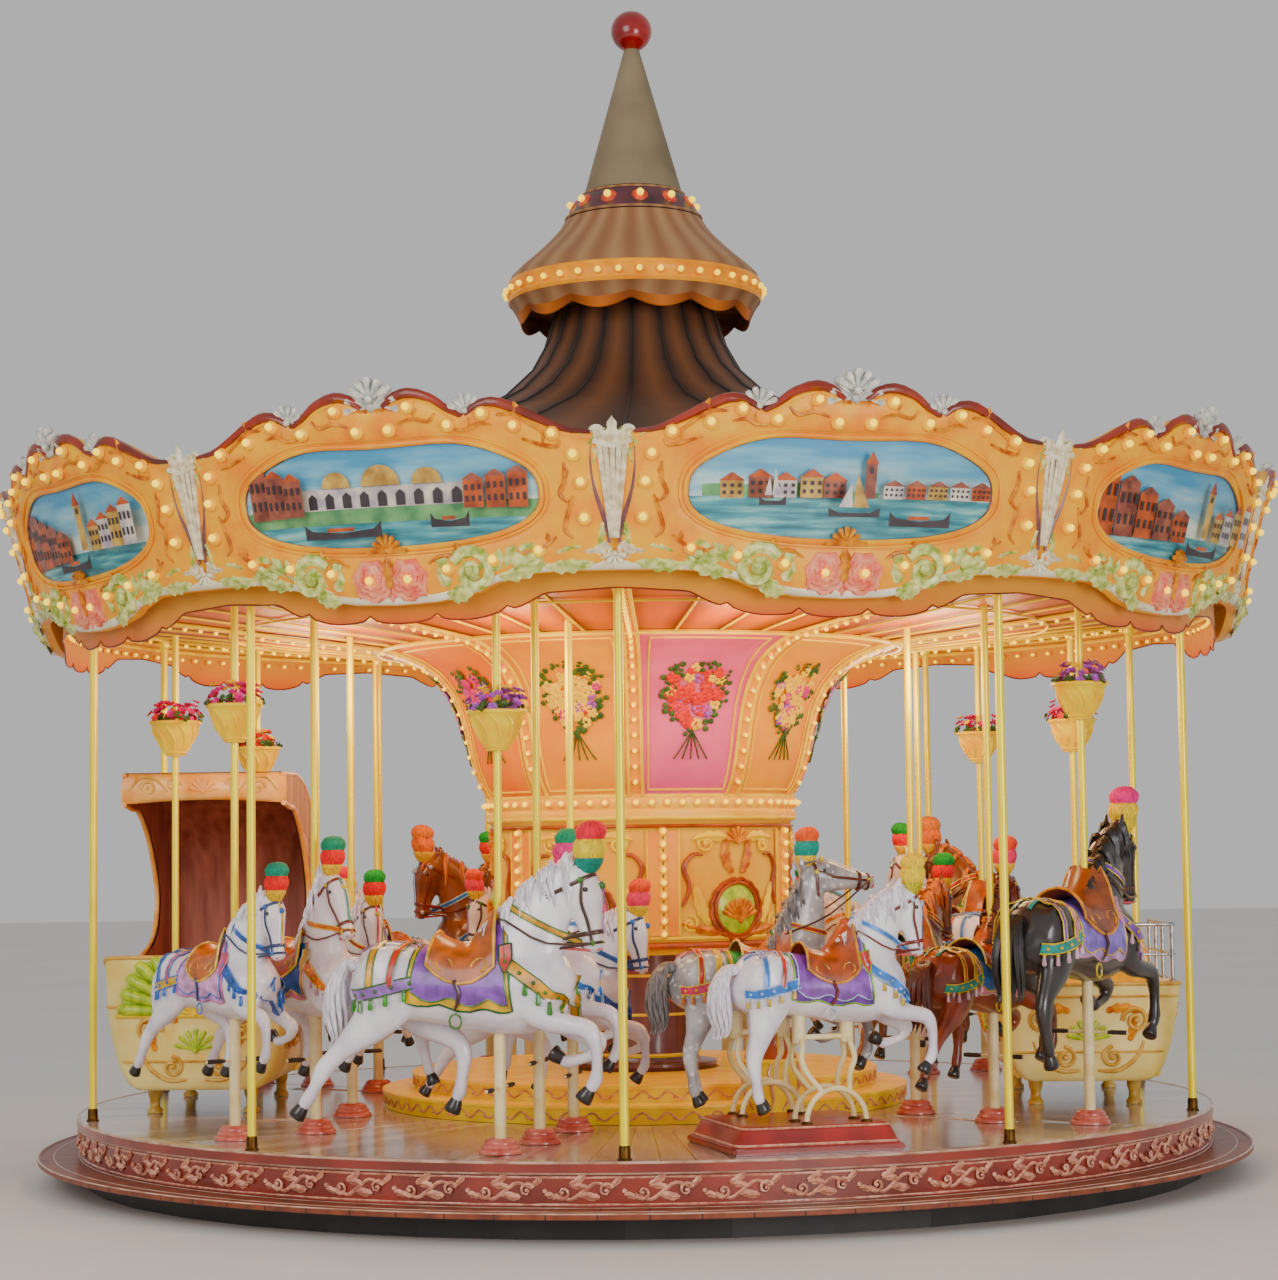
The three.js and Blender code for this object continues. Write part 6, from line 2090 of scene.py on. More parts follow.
def add_saddle(bm, skin):
    """Seat with a raised cantle and pommel."""
    rows = []
    for i in range(12):
        t = i / 11
        s = 0.40 + 0.235 * t
        rise = 0.016 + 0.045 * (abs(2 * t - 1.05) ** 2.2)
        drop = 80 - 22 * abs(2 * t - 1) ** 2
        row = []
        for j in range(17):
            share = 2 * j / 16 - 1
            crown = rise * max(0.0, 1 - abs(share) ** 1.6 * 0.95) + 0.018
            row.append(skin.on(TORSO, s, drop * share, crown))
        rows.append(row)
    add_grid(bm, rows, material=SADDLE)
    add_tube(bm, border_of(rows), 0.008, 6, closed=True, material=SWIRL)


def add_saddle_side(bm, skin, side):
    """Swirls, a strap and a stirrup on one side of the saddle."""
    for s0, bend in ((0.455, 1), (0.585, -1)):
        line = []
        for i in range(17):
            t = i / 16
            angle = pi * 1.45 * t
            reach = 0.034 * (1 - 0.55 * t)
            line.append(skin.on(TORSO, s0 + bend * reach * cos(angle),
                                side * (58 - 420 * reach * sin(angle)), 0.026))
        add_tube(bm, line, [0.008 - 0.004 * abs(i / 8 - 1) for i in range(17)], 6, material=SWIRL)
    flap = [skin.on(TORSO, s, side * d, 0.02)
            for s, d in ((0.50, 76), (0.52, 92), (0.515, 108), (0.505, 118))]
    add_tube(bm, flap, [0.012, 0.009, 0.009, 0.007], 6, material=BRIDLE)
    ring_centre = skin.on(TORSO, 0.505, side * 124, 0.012)
    ring = [ring_centre + Vector((0.03 * cos(a), 0, 0.036 * sin(a) - 0.036))
            for a in [2 * pi * i / 14 for i in range(14)]]
    add_tube(bm, ring, 0.005, 5, closed=True, material=STUD)


def add_croup_straps(bm, skin, side):
    """Two straps over the croup and one along it."""
    for s, material in ((0.30, WITHERS), (0.22, COLLAR)):
        add_strap(bm, skin, TORSO, [(s + 0.01, side * 3), (s, side * 40), (s - 0.012, side * 94)], 0.032,
                  material, rim=STUD, steps=4)
    add_strap(bm, skin, TORSO, [(0.36, side * 12), (0.22, side * 14), (0.12, side * 18)], 0.024, BAND,
              steps=3)


def add_flank_straps(bm, skin, side):
    """Breast collar and rump band of one side, with tassels and studs."""
    chest = add_strap(bm, skin, TORSO, [(0.67, side * 48), (0.76, side * 74), (0.86, side * 96),
                                        (0.95, side * 120), (0.975, side * 176)],
                      0.058, COLLAR, rim=STUD)
    for i in range(2, len(chest) - 3, 3):
        add_tassel(bm, chest[i] + Vector((0.004, side * 0.004, -0.036)), 0.055, TASSEL, STUD)
    for i in range(1, len(chest) - 2, 3):
        add_ball(bm, chest[i] + Vector((0.002, side * 0.006, 0)), 0.011, 1, STUD)
    rump = add_strap(bm, skin, TORSO, [(0.37, side * 84), (0.28, side * 96), (0.18, side * 104),
                                       (0.10, side * 112)],
                     0.056, BAND, rim=STUD)
    for i in range(2, len(rump) - 1, 3):
        add_tassel(bm, rump[i] + Vector((0, side * 0.006, -0.034)), 0.05, TASSEL, STUD)
    for i in range(1, len(rump) - 1, 3):
        add_ball(bm, rump[i] + Vector((0, side * 0.006, 0)), 0.011, 1, STUD)


def add_withers_patch(bm, skin, side):
    """Small cloth before the saddle."""
    add_patch(bm, skin, TORSO, lambda t: (0.655 + 0.055 * t, side * 34, side * (72 - 22 * abs(2 * t - 1))),
              5, 6, WITHERS, 0.016, rim=EDGE)


def add_bridle(bm, skin, neck, head):
    """Collar strap on the neck, brow and nose bands, cheek straps and reins."""
    around = range(0, 361, 45)
    collar = [(0.40, min(max(d, 2), 358)) for d in around]
    add_strap(bm, skin, neck, collar, 0.026, COLLAR, rim=STUD, steps=3)
    for s, width in ((0.17, 0.020), (0.66, 0.022), (0.80, 0.014)):
        add_strap(bm, skin, head, [(s, d) for d in around], width, BRIDLE, steps=3, lift=0.006)
    for side in (NEAR, FAR):
        add_strap(bm, skin, head, [(0.16, side * 60), (0.35, side * 88), (0.55, side * 84),
                                   (0.80, side * 80)], 0.016, BRIDLE, steps=4, lift=0.006)
        add_ball(bm, skin.on(head, 0.17, side * 68, 0.008), (0.017, 0.009, 0.017), 1, STUD)
        add_ball(bm, skin.on(head, 0.80, side * 78, 0.008), (0.015, 0.008, 0.015), 1, STUD)
        bit = skin.on(head, 0.80, side * 80, 0.01)
        rest = skin.on(neck, 0.30, side * 50, 0.03)
        middle = (bit + rest) / 2 + Vector((-0.01, side * 0.03, -0.05))
        withers = skin.on(TORSO, 0.66, side * 20, 0.03)
        line = smooth_line([bit, middle, rest, withers], 6)
        add_tube(bm, line, 0.006, 5, material=BRIDLE)
    add_strap(bm, skin, head, [(0.16, 0), (0.3, 0), (0.5, 0), (0.66, 0)], 0.014, BAND, steps=3, lift=0.007)
    add_ball(bm, skin.on(head, 0.26, 0, 0.008), (0.02, 0.018, 0.022), 1, STUD)


MANE, TAIL_HAIR, HOOF, EYE, MOUTH, PLUME_LOW, PLUME_MIDDLE, PLUME_TIP = range(8)


def add_lock(bm, root, knots, thick, material, sides=4, steps=2):
    """One tapered lock of hair from its root through the offsets."""
    line, here = [Vector(root)], Vector(root)
    for offset in knots:
        here = here + Vector(offset)
        line.append(here)
    path = smooth_line(line, steps)
    count = len(path) - 1
    radii = [thick * (0.5 + 0.5 * sin(pi * min(1, 0.25 + i / count * 0.75))) * (1 - 0.75 * (i / count) ** 2)
             for i in range(count + 1)]
    add_tube(bm, path, radii, sides, material=material)


PLUME = {"height": 0.272, "reach": 0.079, "lean": -0.03}


def hair_mesh(name, body, pose, stride, seed):
    """Mane, forelock, tail, plume, hooves, eyes and mouth."""
    bm = bmesh.new()
    random = Random(seed)
    skin = Skin(body)
    neck, head, plume = HEADS[pose]["neck"], HEADS[pose]["head"], HEADS[pose]["plume"]
    for i in range(24):
        s = 0.10 + 0.86 * i / 23
        side = NEAR if i % 5 else FAR
        wave = 0.02 * sin(i * 1.3)
        degrees = side * (6 + 10 * random.random())
        root = skin.on(neck, s, degrees, -0.004)
        fall = 0.05 + 0.03 * random.random()
        add_lock(bm, root, ((-0.004, side * 0.026, 0.004), (0.002 + wave, side * 0.028, -fall),
                            (0.012 - wave, side * 0.006, -fall * 1.1), (0.004, side * -0.006, -fall * 0.7)),
                 0.020, MANE)
    for i in range(5):
        root = skin.on(head, 0.06 + 0.02 * i, (i - 2) * 16, 0)
        out = head.direction(0.2)
        add_lock(bm, root, (out * 0.03 + Vector((0.012, 0, 0.01)),
                            out * 0.045 + Vector((0.004, (i - 2) * 0.006, 0))), 0.011, MANE)
    for i in range(12):
        angle = 2 * pi * i / 12
        y, x = 0.024 * cos(angle), 0.02 * sin(angle)
        add_lock(bm, (-0.71 + x, y, 0.885 + 0.012 * sin(angle)),
                 ((-0.055, y * 0.5, 0.018), (-0.05 + x, y, -0.10), (0.0 + x, y * 0.6, -0.14),
                  (0.018 - x, -y * 0.3, -0.11), (-0.02, y * 0.2, -0.05)), 0.023, TAIL_HAIR, 5)
    for limb in horse_legs(stride):
        add_hoof(bm, limb)
    for side in (NEAR, FAR):
        add_ball(bm, skin.on(head, 0.255, side * 62, 0.001), (0.013, 0.008, 0.012), 2, EYE)
        add_ball(bm, skin.on(head, 0.90, side * 42, -0.001), (0.008, 0.006, 0.009), 1, MOUTH)
    lip = [skin.on(head, 0.93, d, 0.001) for d in (100, 130, 160, 180, 200, 230, 260)]
    add_tube(bm, lip, 0.007, 6, material=MOUTH)
    add_plume(bm, plume, random)
    return mesh_from(name, bm, 60)


def add_plume(bm, foot, random):
    """Three soft layers of feathers: narrow at the foot, full in the middle and rounded on top."""
    columns = 22
    for layer, material in enumerate((PLUME_LOW, PLUME_MIDDLE, PLUME_TIP)):
        rows = []
        for k in range(8):
            t = k / 7
            share = (layer + t) / 3
            full = min(1.0, 0.38 + 2.0 * share) * (0.84 + 0.16 * sin(pi * t))
            if layer == 2:
                full *= sqrt(max(0.0, 1 - t ** 2.6)) + 0.02
            row = []
            for j in range(columns):
                angle = 2 * pi * j / columns
                curl = 1 + 0.05 * sin(5.5 * angle + 2 * layer) + 0.05 * (random.random() - 0.5)
                reach = PLUME["reach"] * full * curl
                row.append((foot[0] - PLUME["lean"] * share + reach * cos(angle), reach * sin(angle),
                            foot[1] + PLUME["height"] * share + 0.008 * random.random() * (0 < t < 1)))
            rows.append(row)
        add_grid(bm, rows, closed=True, caps=True, material=material)


def add_hoof(bm, limb):
    """A hoof that goes on along the pastern, wider at its sole."""
    end = limb.values(1.0)
    step = limb.direction(0.97)
    centre = Vector(end[:3])
    across = Vector((-step.z, 0, step.x))
    rows = []
    for distance, radius in ((-0.012, 0.027), (0.004, 0.033), (0.03, 0.040), (0.052, 0.043), (0.058, 0.038)):
        ring = []
        for j in range(12):
            angle = 2 * pi * j / 12
            ring.append(centre + step * distance + across * cos(angle) * radius
                        + Vector((0, 1, 0)) * sin(angle) * radius * 0.9)
        rows.append(ring)
    add_grid(bm, rows, closed=True, caps=True, material=HOOF)


ROW_SIZES = (1, 0.82, 0.78)
# Each section's three jumpers, from the outer row inwards, as in the part
JUMPERS = (
    {"section": 1, "turns": (1.1, -2.5, 2.7), "sizes": ROW_SIZES, "lifts": (90, -40, 20),
     "strides": ("short", "long", "long"), "coats": ("black", "red_brown", "brown")},
    {"section": 3, "turns": (5.8, 8, 10), "sizes": ROW_SIZES, "lifts": (-20, 60, -60),
     "strides": ("long", "long", "short"), "coats": ("brown", "white", "white")},
    {"section": 4, "turns": (5.8, 6.7, 9), "sizes": ROW_SIZES, "lifts": (70, -60, 30),
     "strides": ("long", "long", "short"), "coats": ("white", "white", "black")},
    {"section": 5, "turns": (5, 5, 8), "sizes": ROW_SIZES, "lifts": (-30, 40, -50),
     "strides": ("short", "long", "short"), "coats": ("brown", "brown", "white")},
    {"section": 6, "turns": (6, 6, 12), "sizes": ROW_SIZES, "lifts": (-70, 50, -20),
     "strides": ("long", "short", "short"), "coats": ("white", "brown", "white")},
    {"section": 8, "turns": (9.3, 10.4, -8), "sizes": (0.78, 0.82, 0.78), "lifts": (18, 0, -30),
     "strides": ("long", "long", "short"), "coats": ("white", "white", "white")},
    {"section": 9, "turns": (5.8, 7.2, 7.9), "sizes": ROW_SIZES, "lifts": (-70, 20, -90),
     "strides": ("long", "short", "long"), "coats": ("white", "white", "white")},
)
COATS = {
    "white": ("#f4f1f2", "#cfc6d2", 0.0, "#c9c4cf"),
    "grey": ("#c9c7c6", "#7c7a7e", 0.75, "#e4e2e0"),
    "brown": ("#8d5233", "#57301e", 0.0, "#a86a45"),
    "red_brown": ("#8a3f2a", "#551f17", 0.0, "#a3563a"),
    "black": ("#3a3432", "#171413", 0.0, "#4a4340"),
}
MANES = {
    "white": ("#f2eef2", "#b9b0bf"),
    "grey": ("#8a8686", "#4c494b"),
    "brown": ("#e08a4a", "#a4552a"),
    "red_brown": ("#5a2a1e", "#2f1510"),
    "black": ("#1f1b1b", "#0f0d0d"),
}
# One colour for each material of the trappings, from the saddle to the collar
TRAPPINGS = {
    "A": ("#b8653c", "#f0b84a", "#f2c436", "#2f6b46", "#a277c2", "#4f7f3c", "#58a045", "#4a2c1e", "#8a56b4",
          "#d6382f", "#f0ae34"),
    "B": ("#c8713a", "#f3d27a", "#c99ad6", "#f08aa6", "#f2c63c", "#4b7fd0", "#3f78d6", "#2f3f6a", "#e6b0d8",
          "#e0607a", "#3d5fa8"),
    "C": ("#b4583a", "#f7d64a", "#e88aa8", "#f4e3c0", "#3fa08e", "#f7d34e", "#f5c6d8", "#70301f", "#3a6fb6",
          "#f0c03a", "#e8823c"),
    "D": ("#a9522f", "#e6a544", "#6f3f9a", "#a4d23a", "#4f86d9", "#c9dcf4", "#e8c83a", "#7a2c22", "#8a4fb0",
          "#d6402f", "#4f86d9"),
    "E": ("#8c4a2b", "#e8a23c", "#c9a4dd", "#f3b9cf", "#3aa39a", "#f4d44a", "#f7c8d8", "#5d3a2a", "#8f76d0",
          "#f08ab0", "#7f48b4"),
    "F": ("#c2683a", "#f6d88a", "#f29a3e", "#4f9c50", "#e3527e", "#f6e06a", "#f08a3a", "#5d2c1c", "#47a05c",
          "#f2c33c", "#c0392f"),
}
# Lower, middle and upper feathers
PLUMES = {
    "warm": ("#f4c818", "#e8342a", "#2a9070"),
    "pink": ("#2a9080", "#f8dc10", "#ec4050"),
    "green": ("#f0c83e", "#e8382f", "#3fa050"),
    "orange": ("#f4c53a", "#f0803a", "#f08a34"),
    "leafy": ("#ee4f90", "#ee4f90", "#2f9a72"),
    "fire": ("#f6cf3a", "#f0506a", "#ee5a34"),
    "yellow": ("#c8c020", "#f8d80c", "#f8d40c"),
    "mixed": ("#f2d03a", "#2f9a8a", "#ee6a30"),
    "magenta": ("#e8d020", "#f0d020", "#e81f84"),
    "split": ("#f4c818", "#e8342a", "#2a9078"),
}
DRESS = (
    (("E", "magenta"), ("C", "fire"), ("F", "green")),
    (("F", "orange"), ("D", "green"), ("C", "warm")),
    (("C", "pink"), ("F", "warm"), ("B", "yellow")),
    (("D", "orange"), ("E", "green"), ("A", "fire")),
    (("A", "warm"), ("C", "yellow"), ("D", "pink")),
    (("B", "split"), ("C", "warm"), ("F", "green")),
    (("A", "pink"), ("D", "leafy"), ("B", "fire")),
)


def make_horse_materials():
    m = MATERIALS
    for name, (light, dark, dapple, spot) in COATS.items():
        m["coat_" + name] = coat_paint("coat_" + name, light, dark, dapple, spot)
    for name, (light, dark) in MANES.items():
        m["mane_" + name] = hair_paint("mane_" + name, light, dark)
    m["hoof"] = gloss_paint("hoof_black", "#2d2725", "#151211", 20, 0.3, 0.4)
    m["eye"] = gloss_paint("eye_glass", "#1c1512", "#0c0a09", 40, 0.12, 1.0)
    m["mouth"] = gloss_paint("mouth_pink", "#d96a72", "#a83f4a", 40, 0.35, 0.4)
    for key, codes in TRAPPINGS.items():
        for k, code in enumerate(codes):
            m[f"dress_{key}_{k}"] = gloss_paint(f"dress_{key}_{k}", code, darker(code, 0.72), 14, 0.32,
                                                0.35, 160)
    for key, codes in PLUMES.items():
        for k, code in enumerate(codes):
            m[f"plume_{key}_{k}"] = feather_paint(f"plume_{key}_{k}", code)


def darker(code, share):
    return "#" + "".join(f"{int(int(code[i:i + 2], 16) * share):02x}" for i in (1, 3, 5))


def hair_paint(name, light, dark):
    """Carved locks: fine lengthwise grooves, with painted shade in their hollows."""
    paint = Paint(name, 0.42)
    grooves = paint.streaks((60, 60, 9), 1.6, 3)
    paint.colour(paint.ramp(grooves, [(0.35, dark), (0.6, light)]))
    paint.bump(grooves, 0.003, 0.6)
    return paint.coat(0.2).material


def feather_paint(name, code):
    """Soft dyed feathers: fine streaks that run up the plume, with painted shade in their hollows."""
    paint = Paint(name, 0.75)
    streaks = paint.streaks((90, 90, 22), 1.0, 4)
    paint.colour(paint.ramp(streaks, [(0.36, darker(code, 0.8)), (0.6, code)]))
    paint.bump(streaks, 0.006, 0.7)
    return paint.material


def set_in_place(piece, degrees, radius, z, size):
    piece.location = on_circle(degrees, radius, z)
    piece.rotation_euler.z = radians(degrees)
    piece.scale = (size, size, size)


def add_horse(node, body_name, masters, degrees, radius, z, size, coat, dress, plume, slot):
    body_mesh, trap_mesh, hair = masters
    straps = [f"dress_{dress}_{k}" for k in range(11)]
    locks = (["mane_" + coat, "mane_" + coat, "hoof", "eye", "mouth"]
             + [f"plume_{plume}_{k}" for k in range(3)])
    ways = {"body": body_name, "slot": slot}
    pieces = (
        add_piece(f"{node}_body", body_mesh, looks("coat_" + coat), replaces=(node,), **ways),
        add_piece(f"{node}_trappings", trap_mesh, looks(" ".join(straps)), **ways),
        add_piece(f"{node}_hair", hair, looks(" ".join(locks)), **ways),
    )
    for piece in pieces:
        set_in_place(piece, degrees, radius, z, size)


def horse_masters():
    """The meshes of each kind of horse, which all horses of that kind share."""
    masters = {}
    for pose, stride in (("tucked", "long"), ("tucked", "short"), ("upright", "long"), ("upright", "short"),
                         ("tucked", "standing"), ("raised", "standing")):
        name = f"horse_{pose}_{stride}"
        body = horse_body(name, pose, stride)
        masters[pose, stride] = (body, trappings_mesh(name + "_trappings", body, pose),
                                 hair_mesh(name + "_hair", body, pose, stride, len(masters)))
    return masters


def pole_mesh(name, size, basket):
    """Brass pole over the withers, cream tube below, foot bar with grips, and a basket where it has one."""
    rise = RIDE_HEIGHT + (1 - size) * PERCH
    bm = bmesh.new()
    belly, withers = rise + 0.62 * size, rise + 0.96 * size
    low = POLE_SOCKET
    add_lathe(bm, [(0.0001, low), (0.0285, low), (0.0285, belly + 0.02), (0.0001, belly + 0.02)], 20, 1)
    add_lathe(bm, [(0.0001, withers - 0.04), (0.0195, withers - 0.04), (0.0195, POLE_TOP),
                   (0.0001, POLE_TOP)], 20, 0)
    add_lathe(bm, [(0.0195, withers), (0.03, withers + 0.004), (0.03, withers + 0.02),
                   (0.024, withers + 0.03), (0.0195, withers + 0.05)], 20, 0)
    reach = 0.222 * size
    bar = [(0, y, FOOT_BAR) for y in (-reach, -reach + 0.1, 0, reach - 0.1, reach)]
    add_tube(bm, bar, 0.0085, 8, material=1)
    for side in (-1, 1):
        grip = [(0, side * (reach - 0.11 + 0.027 * k), FOOT_BAR) for k in range(5)]
        add_tube(bm, grip, [0.0085, 0.0125, 0.0115, 0.0125, 0.0105], 8, material=2)
    if basket:
        add_basket(bm, 0, 0, Random(3))
    return mesh_from(name, bm, 35)


BLOOMS = 70
BASKET_FLOWERS = ("violet", "magenta", "petal_yellow", "violet", "petal_red", "magenta", "violet")


def basket_paints(flower, other="cream"):
    """Materials of a pole with a basket: its flowers are mostly of one colour."""
    return [MATERIALS[k] for k in ("brass", "tube", "grip", "cream", "leaf", flower, flower, flower, other)]


def add_basket(bm, x, y, random):
    """A lobed hanging pot, full of flowers."""
    rows = []
    for r, z in ((0.024, 1.985), (0.052, 1.985), (0.056, 2.0), (0.074, 2.03), (0.098, 2.08), (0.118, 2.13),
                 (0.128, 2.155), (0.143, 2.165), (0.145, 2.178), (0.136, 2.182), (0.024, 2.172)):
        row = []
        for j in range(40):
            angle = 2 * pi * j / 40
            lobe = 1 + 0.03 * abs(cos(5 * angle)) * (r > 0.05)
            row.append((x + r * lobe * cos(angle), y + r * lobe * sin(angle), z))
        rows.append(row)
    add_grid(bm, rows, closed=True, material=3)
    for i in range(10):
        line = []
        for r, z, d in ((0.070, 2.015, 0), (0.096, 2.065, 10), (0.118, 2.115, 0), (0.130, 2.15, -14)):
            angle = radians(36 * i + d)
            line.append((x + r * cos(angle), y + r * sin(angle), z))
        add_tube(bm, line, [0.004, 0.009, 0.010, 0.004], 6, material=3)
    for radius, z in ((0.142, 2.170), (0.060, 2.003)):
        angles = [2 * pi * k / 24 for k in range(24)]
        band = [(x + radius * cos(angle), y + radius * sin(angle), z) for angle in angles]
        add_tube(bm, band, 0.006, 5, closed=True, material=3)
    for i in range(BLOOMS):
        angle = random.random() * 2 * pi
        high = random.random() ** 0.8 if i % 3 else 0.25 * random.random()
        reach = (0.165 - 0.05 * high) * (0.45 + 0.55 * random.random())
        place = Vector((x + reach * cos(angle), y + reach * sin(angle), 2.18 + 0.105 * high))
        out = Vector((cos(angle) * (1 - 0.5 * high), sin(angle) * (1 - 0.5 * high), 0.3 + high))
        material = 4 if i % 3 == 0 else 5 + (i * 7 + i // 5) % 4
        add_bloom(bm, place, out, 0.02 + 0.006 * random.random(), material, random)


def add_bloom(bm, place, out, size, material, random):
    """A small flower of five round petals, or three leaves where the material is the leaves'."""
    out = Vector(out).normalized()
    side = out.cross(Vector((0.3, 0.2, 1))).normalized()
    up = side.cross(out)
    start = random.random() * 2 * pi
    for k in range(5 if material != 4 else 3):
        angle = start + 2 * pi * k / (5 if material != 4 else 3)
        away = side * cos(angle) + up * sin(angle)
        middle = place + away * size * 0.6
        turn = out.cross(away)
        ring = []
        for j in range(6):
            a = 2 * pi * j / 6
            ring.append(bm.verts.new(middle + (away * cos(a) + turn * sin(a)) * size * 0.55 + out * size
                                     * (0.15 + 0.25 * cos(a))))
        hub = bm.verts.new(middle - out * size * 0.05)
        for j in range(6):
            face = bm.faces.new((hub, ring[j], ring[(j + 1) % 6]))
            face.material_index = material


def build_jumpers(masters):
    """Every horse on a pole, with its pole and the outer row's baskets."""
    poles = {}
    for node, degrees, radius, size, lift, row, group in jumper_places():
        stride = JUMPERS[group]["strides"][row]
        coat = JUMPERS[group]["coats"][row]
        dress, plume = DRESS[group][row]
        pose = "upright" if row == 1 else "tucked"
        z = DECK + lift / 1000
        rise = RIDE_HEIGHT + (1 - size) * PERCH
        slot = {"red_brown": "brown"}.get(coat, coat) + "_paint"
        add_horse(node, node, masters[pose, stride], degrees, radius, z + rise, size, coat, dress, plume,
                  slot)
        kind = (size, row == 0)
        if kind not in poles:
            poles[kind] = pole_mesh(f"pole_{row}_{len(poles)}", size, row == 0)
        pole = add_piece(f"{node}_pole", poles[kind], basket_paints(BASKET_FLOWERS[group]), body=node,
                         slot="brass")
        set_in_place(pole, degrees, radius, z, 1)


# The two standing horses and their base

STAND_PLACES = (
    ("stand_horse_outer", 21.7, 2.85, "tucked", "white", "D", "yellow"),
    ("stand_horse_middle", 18.6, 2.38, "raised", "grey", "F", "mixed"),
)
STAND_CENTRE = (17.5, 2.655)  # degrees and radius
TRESTLE_X = (-0.25, 0.0)
TRESTLE_TOP = 0.53
HOOP_MIDDLE, HOOP_REACH = -0.09, 0.155


def build_stand(masters):
    """Two standing horses on their base and trestles."""
    for node, degrees, radius, pose, coat, dress, plume in STAND_PLACES:
        rise = RIDE_HEIGHT + (1 - STAND_SIZE) * PERCH
        add_horse(node, "turntable", masters[pose, "standing"], degrees, radius, DECK + rise, STAND_SIZE,
                  coat, dress, plume, coat + "_paint")
    build_plinth()
    trestle = trestle_mesh()
    for node, degrees, radius, *_ in STAND_PLACES:
        piece = add_piece(f"{node}_trestle", trestle, looks("tube bronze"), slot="red_paint")
        set_in_place(piece, degrees, radius, DECK, 1)


def build_plinth():
    """Red base under both standing horses."""
    bm = bmesh.new()
    add_block(bm, (-0.425, -0.39, 0.001), (0.425, 0.39, 0.035), 0, 0.008)
    rows = []
    for z, length, width in ((0.03, 0.42, 0.385), (0.05, 0.405, 0.372), (0.105, 0.38, 0.355),
                             (0.12, 0.368, 0.348), (0.128, 0.36, 0.34)):
        rows.append(rounded_plan(length, width, 0.05, z))
    add_grid(bm, rows, closed=True, caps=True, material=0)
    for z, length, width, thick in ((0.045, 0.412, 0.378, 0.007), (0.12, 0.372, 0.350, 0.006)):
        add_tube(bm, rounded_plan(length, width, 0.05, z), thick, 6, closed=True, material=1)
    base = piece_from(bm, "stand_plinth", "stand gilt", slot="red_paint", replaces=("stand_base",))
    set_in_place(base, *STAND_CENTRE, DECK, 1)


def trestle_mesh():
    """Sockets, bent tubes and a hoop at each side of a standing horse."""
    bm = bmesh.new()
    for x in TRESTLE_X:
        add_lathe(bm, [(0.001, 0.505), (0.033, 0.505), (0.033, 0.67), (0.001, 0.67)], 20, 0, centre=(x, 0, 0))
    for side in (-1, 1):
        middle, reach = HOOP_MIDDLE, HOOP_REACH
        hoop = []
        for i in range(15):
            angle = pi * (1 - i / 14)
            hoop.append((middle + reach * cos(angle), side * 0.072, 0.134 + reach * sin(angle)))
        add_tube(bm, hoop, 0.0135, 8, material=0)
        for x, meet in ((TRESTLE_X[0], middle - 0.07), (TRESTLE_X[1], middle + 0.07)):
            away = -1 if meet < middle else 1
            line = smooth_line([(x, side * 0.01, TRESTLE_TOP), (x, side * 0.045, 0.50),
                                (x + away * 0.012, side * 0.064, 0.43),
                                (x - away * 0.015, side * 0.07, 0.36), (meet, side * 0.071, 0.275)], 5)
            add_tube(bm, line, 0.0135, 8, material=0)
        for x in (middle - reach, middle + reach):
            add_lathe(bm, [(0.001, 0.128), (0.028, 0.128), (0.028, 0.134), (0.017, 0.140), (0.001, 0.140)],
                      14, 1, centre=(x, side * 0.072, 0))
    add_tube(bm, [(x, 0, TRESTLE_TOP) for x in (TRESTLE_X[0], -0.125, TRESTLE_X[1])], 0.0145, 10, material=0)
    return mesh_from("trestle", bm)


def rounded_plan(length, width, corner, z):
    """Rounded rectangle as points, half sizes given."""
    ring = []
    for quarter, (sx, sy) in enumerate(((1, 1), (-1, 1), (-1, -1), (1, -1))):
        for k in range(6):
            angle = radians(90 * quarter + 18 * k)
            x = sx * (length - corner) + corner * cos(angle)
            y = sy * (width - corner) + corner * sin(angle)
            ring.append((x, y, z))
        if quarter in (0, 2):
            for k in range(1, 8):
                t = k / 8
                ring.append((sx * (length - corner) * (1 - 2 * t), sy * width, z))
        else:
            for k in range(1, 6):
                t = k / 6
                ring.append((sx * length, sy * (width - corner) * (1 - 2 * t), z))
    return ring


# Boats. Forward is +x and the outer side of the turntable is -y.

BOAT_LENGTH = 0.74
BOAT_POLE = (0.675, -0.125)
STRAIGHT_TOP, STRAIGHT_WIDTH = 0.58, 0.497  # where the sides begin to flare, and how wide they are there
BOAT_LINES = ((0.142, 0.330, 0.725), (0.165, 0.372, 0.736), (0.22, 0.410, 0.739), (0.30, 0.442, 0.74),
              (0.40, 0.468, 0.74), (0.50, 0.487, 0.74), (0.58, 0.500, 0.74))
REAR_RIM = 0.675
FRONT_RIM = 0.88
BENCH = {"back": -0.70, "front": -0.30}


def rim_lift(x):
    return (FRONT_RIM - REAR_RIM) * max(x / BOAT_LENGTH, 0) ** 2


def hull_side(x, z, side, out=0.0):
    """Point on the outside of a long side."""
    width = STRAIGHT_WIDTH
    for (z0, w0, _), (z1, w1, _) in zip(BOAT_LINES, BOAT_LINES[1:]):
        if z <= z1:
            width = w0 + (w1 - w0) * max(0.0, (z - z0) / (z1 - z0))
            break
    else:
        width = STRAIGHT_WIDTH + 0.02 * min(1.0, (z - STRAIGHT_TOP) / 0.1)
    return Vector((x, side * (width + out), z))


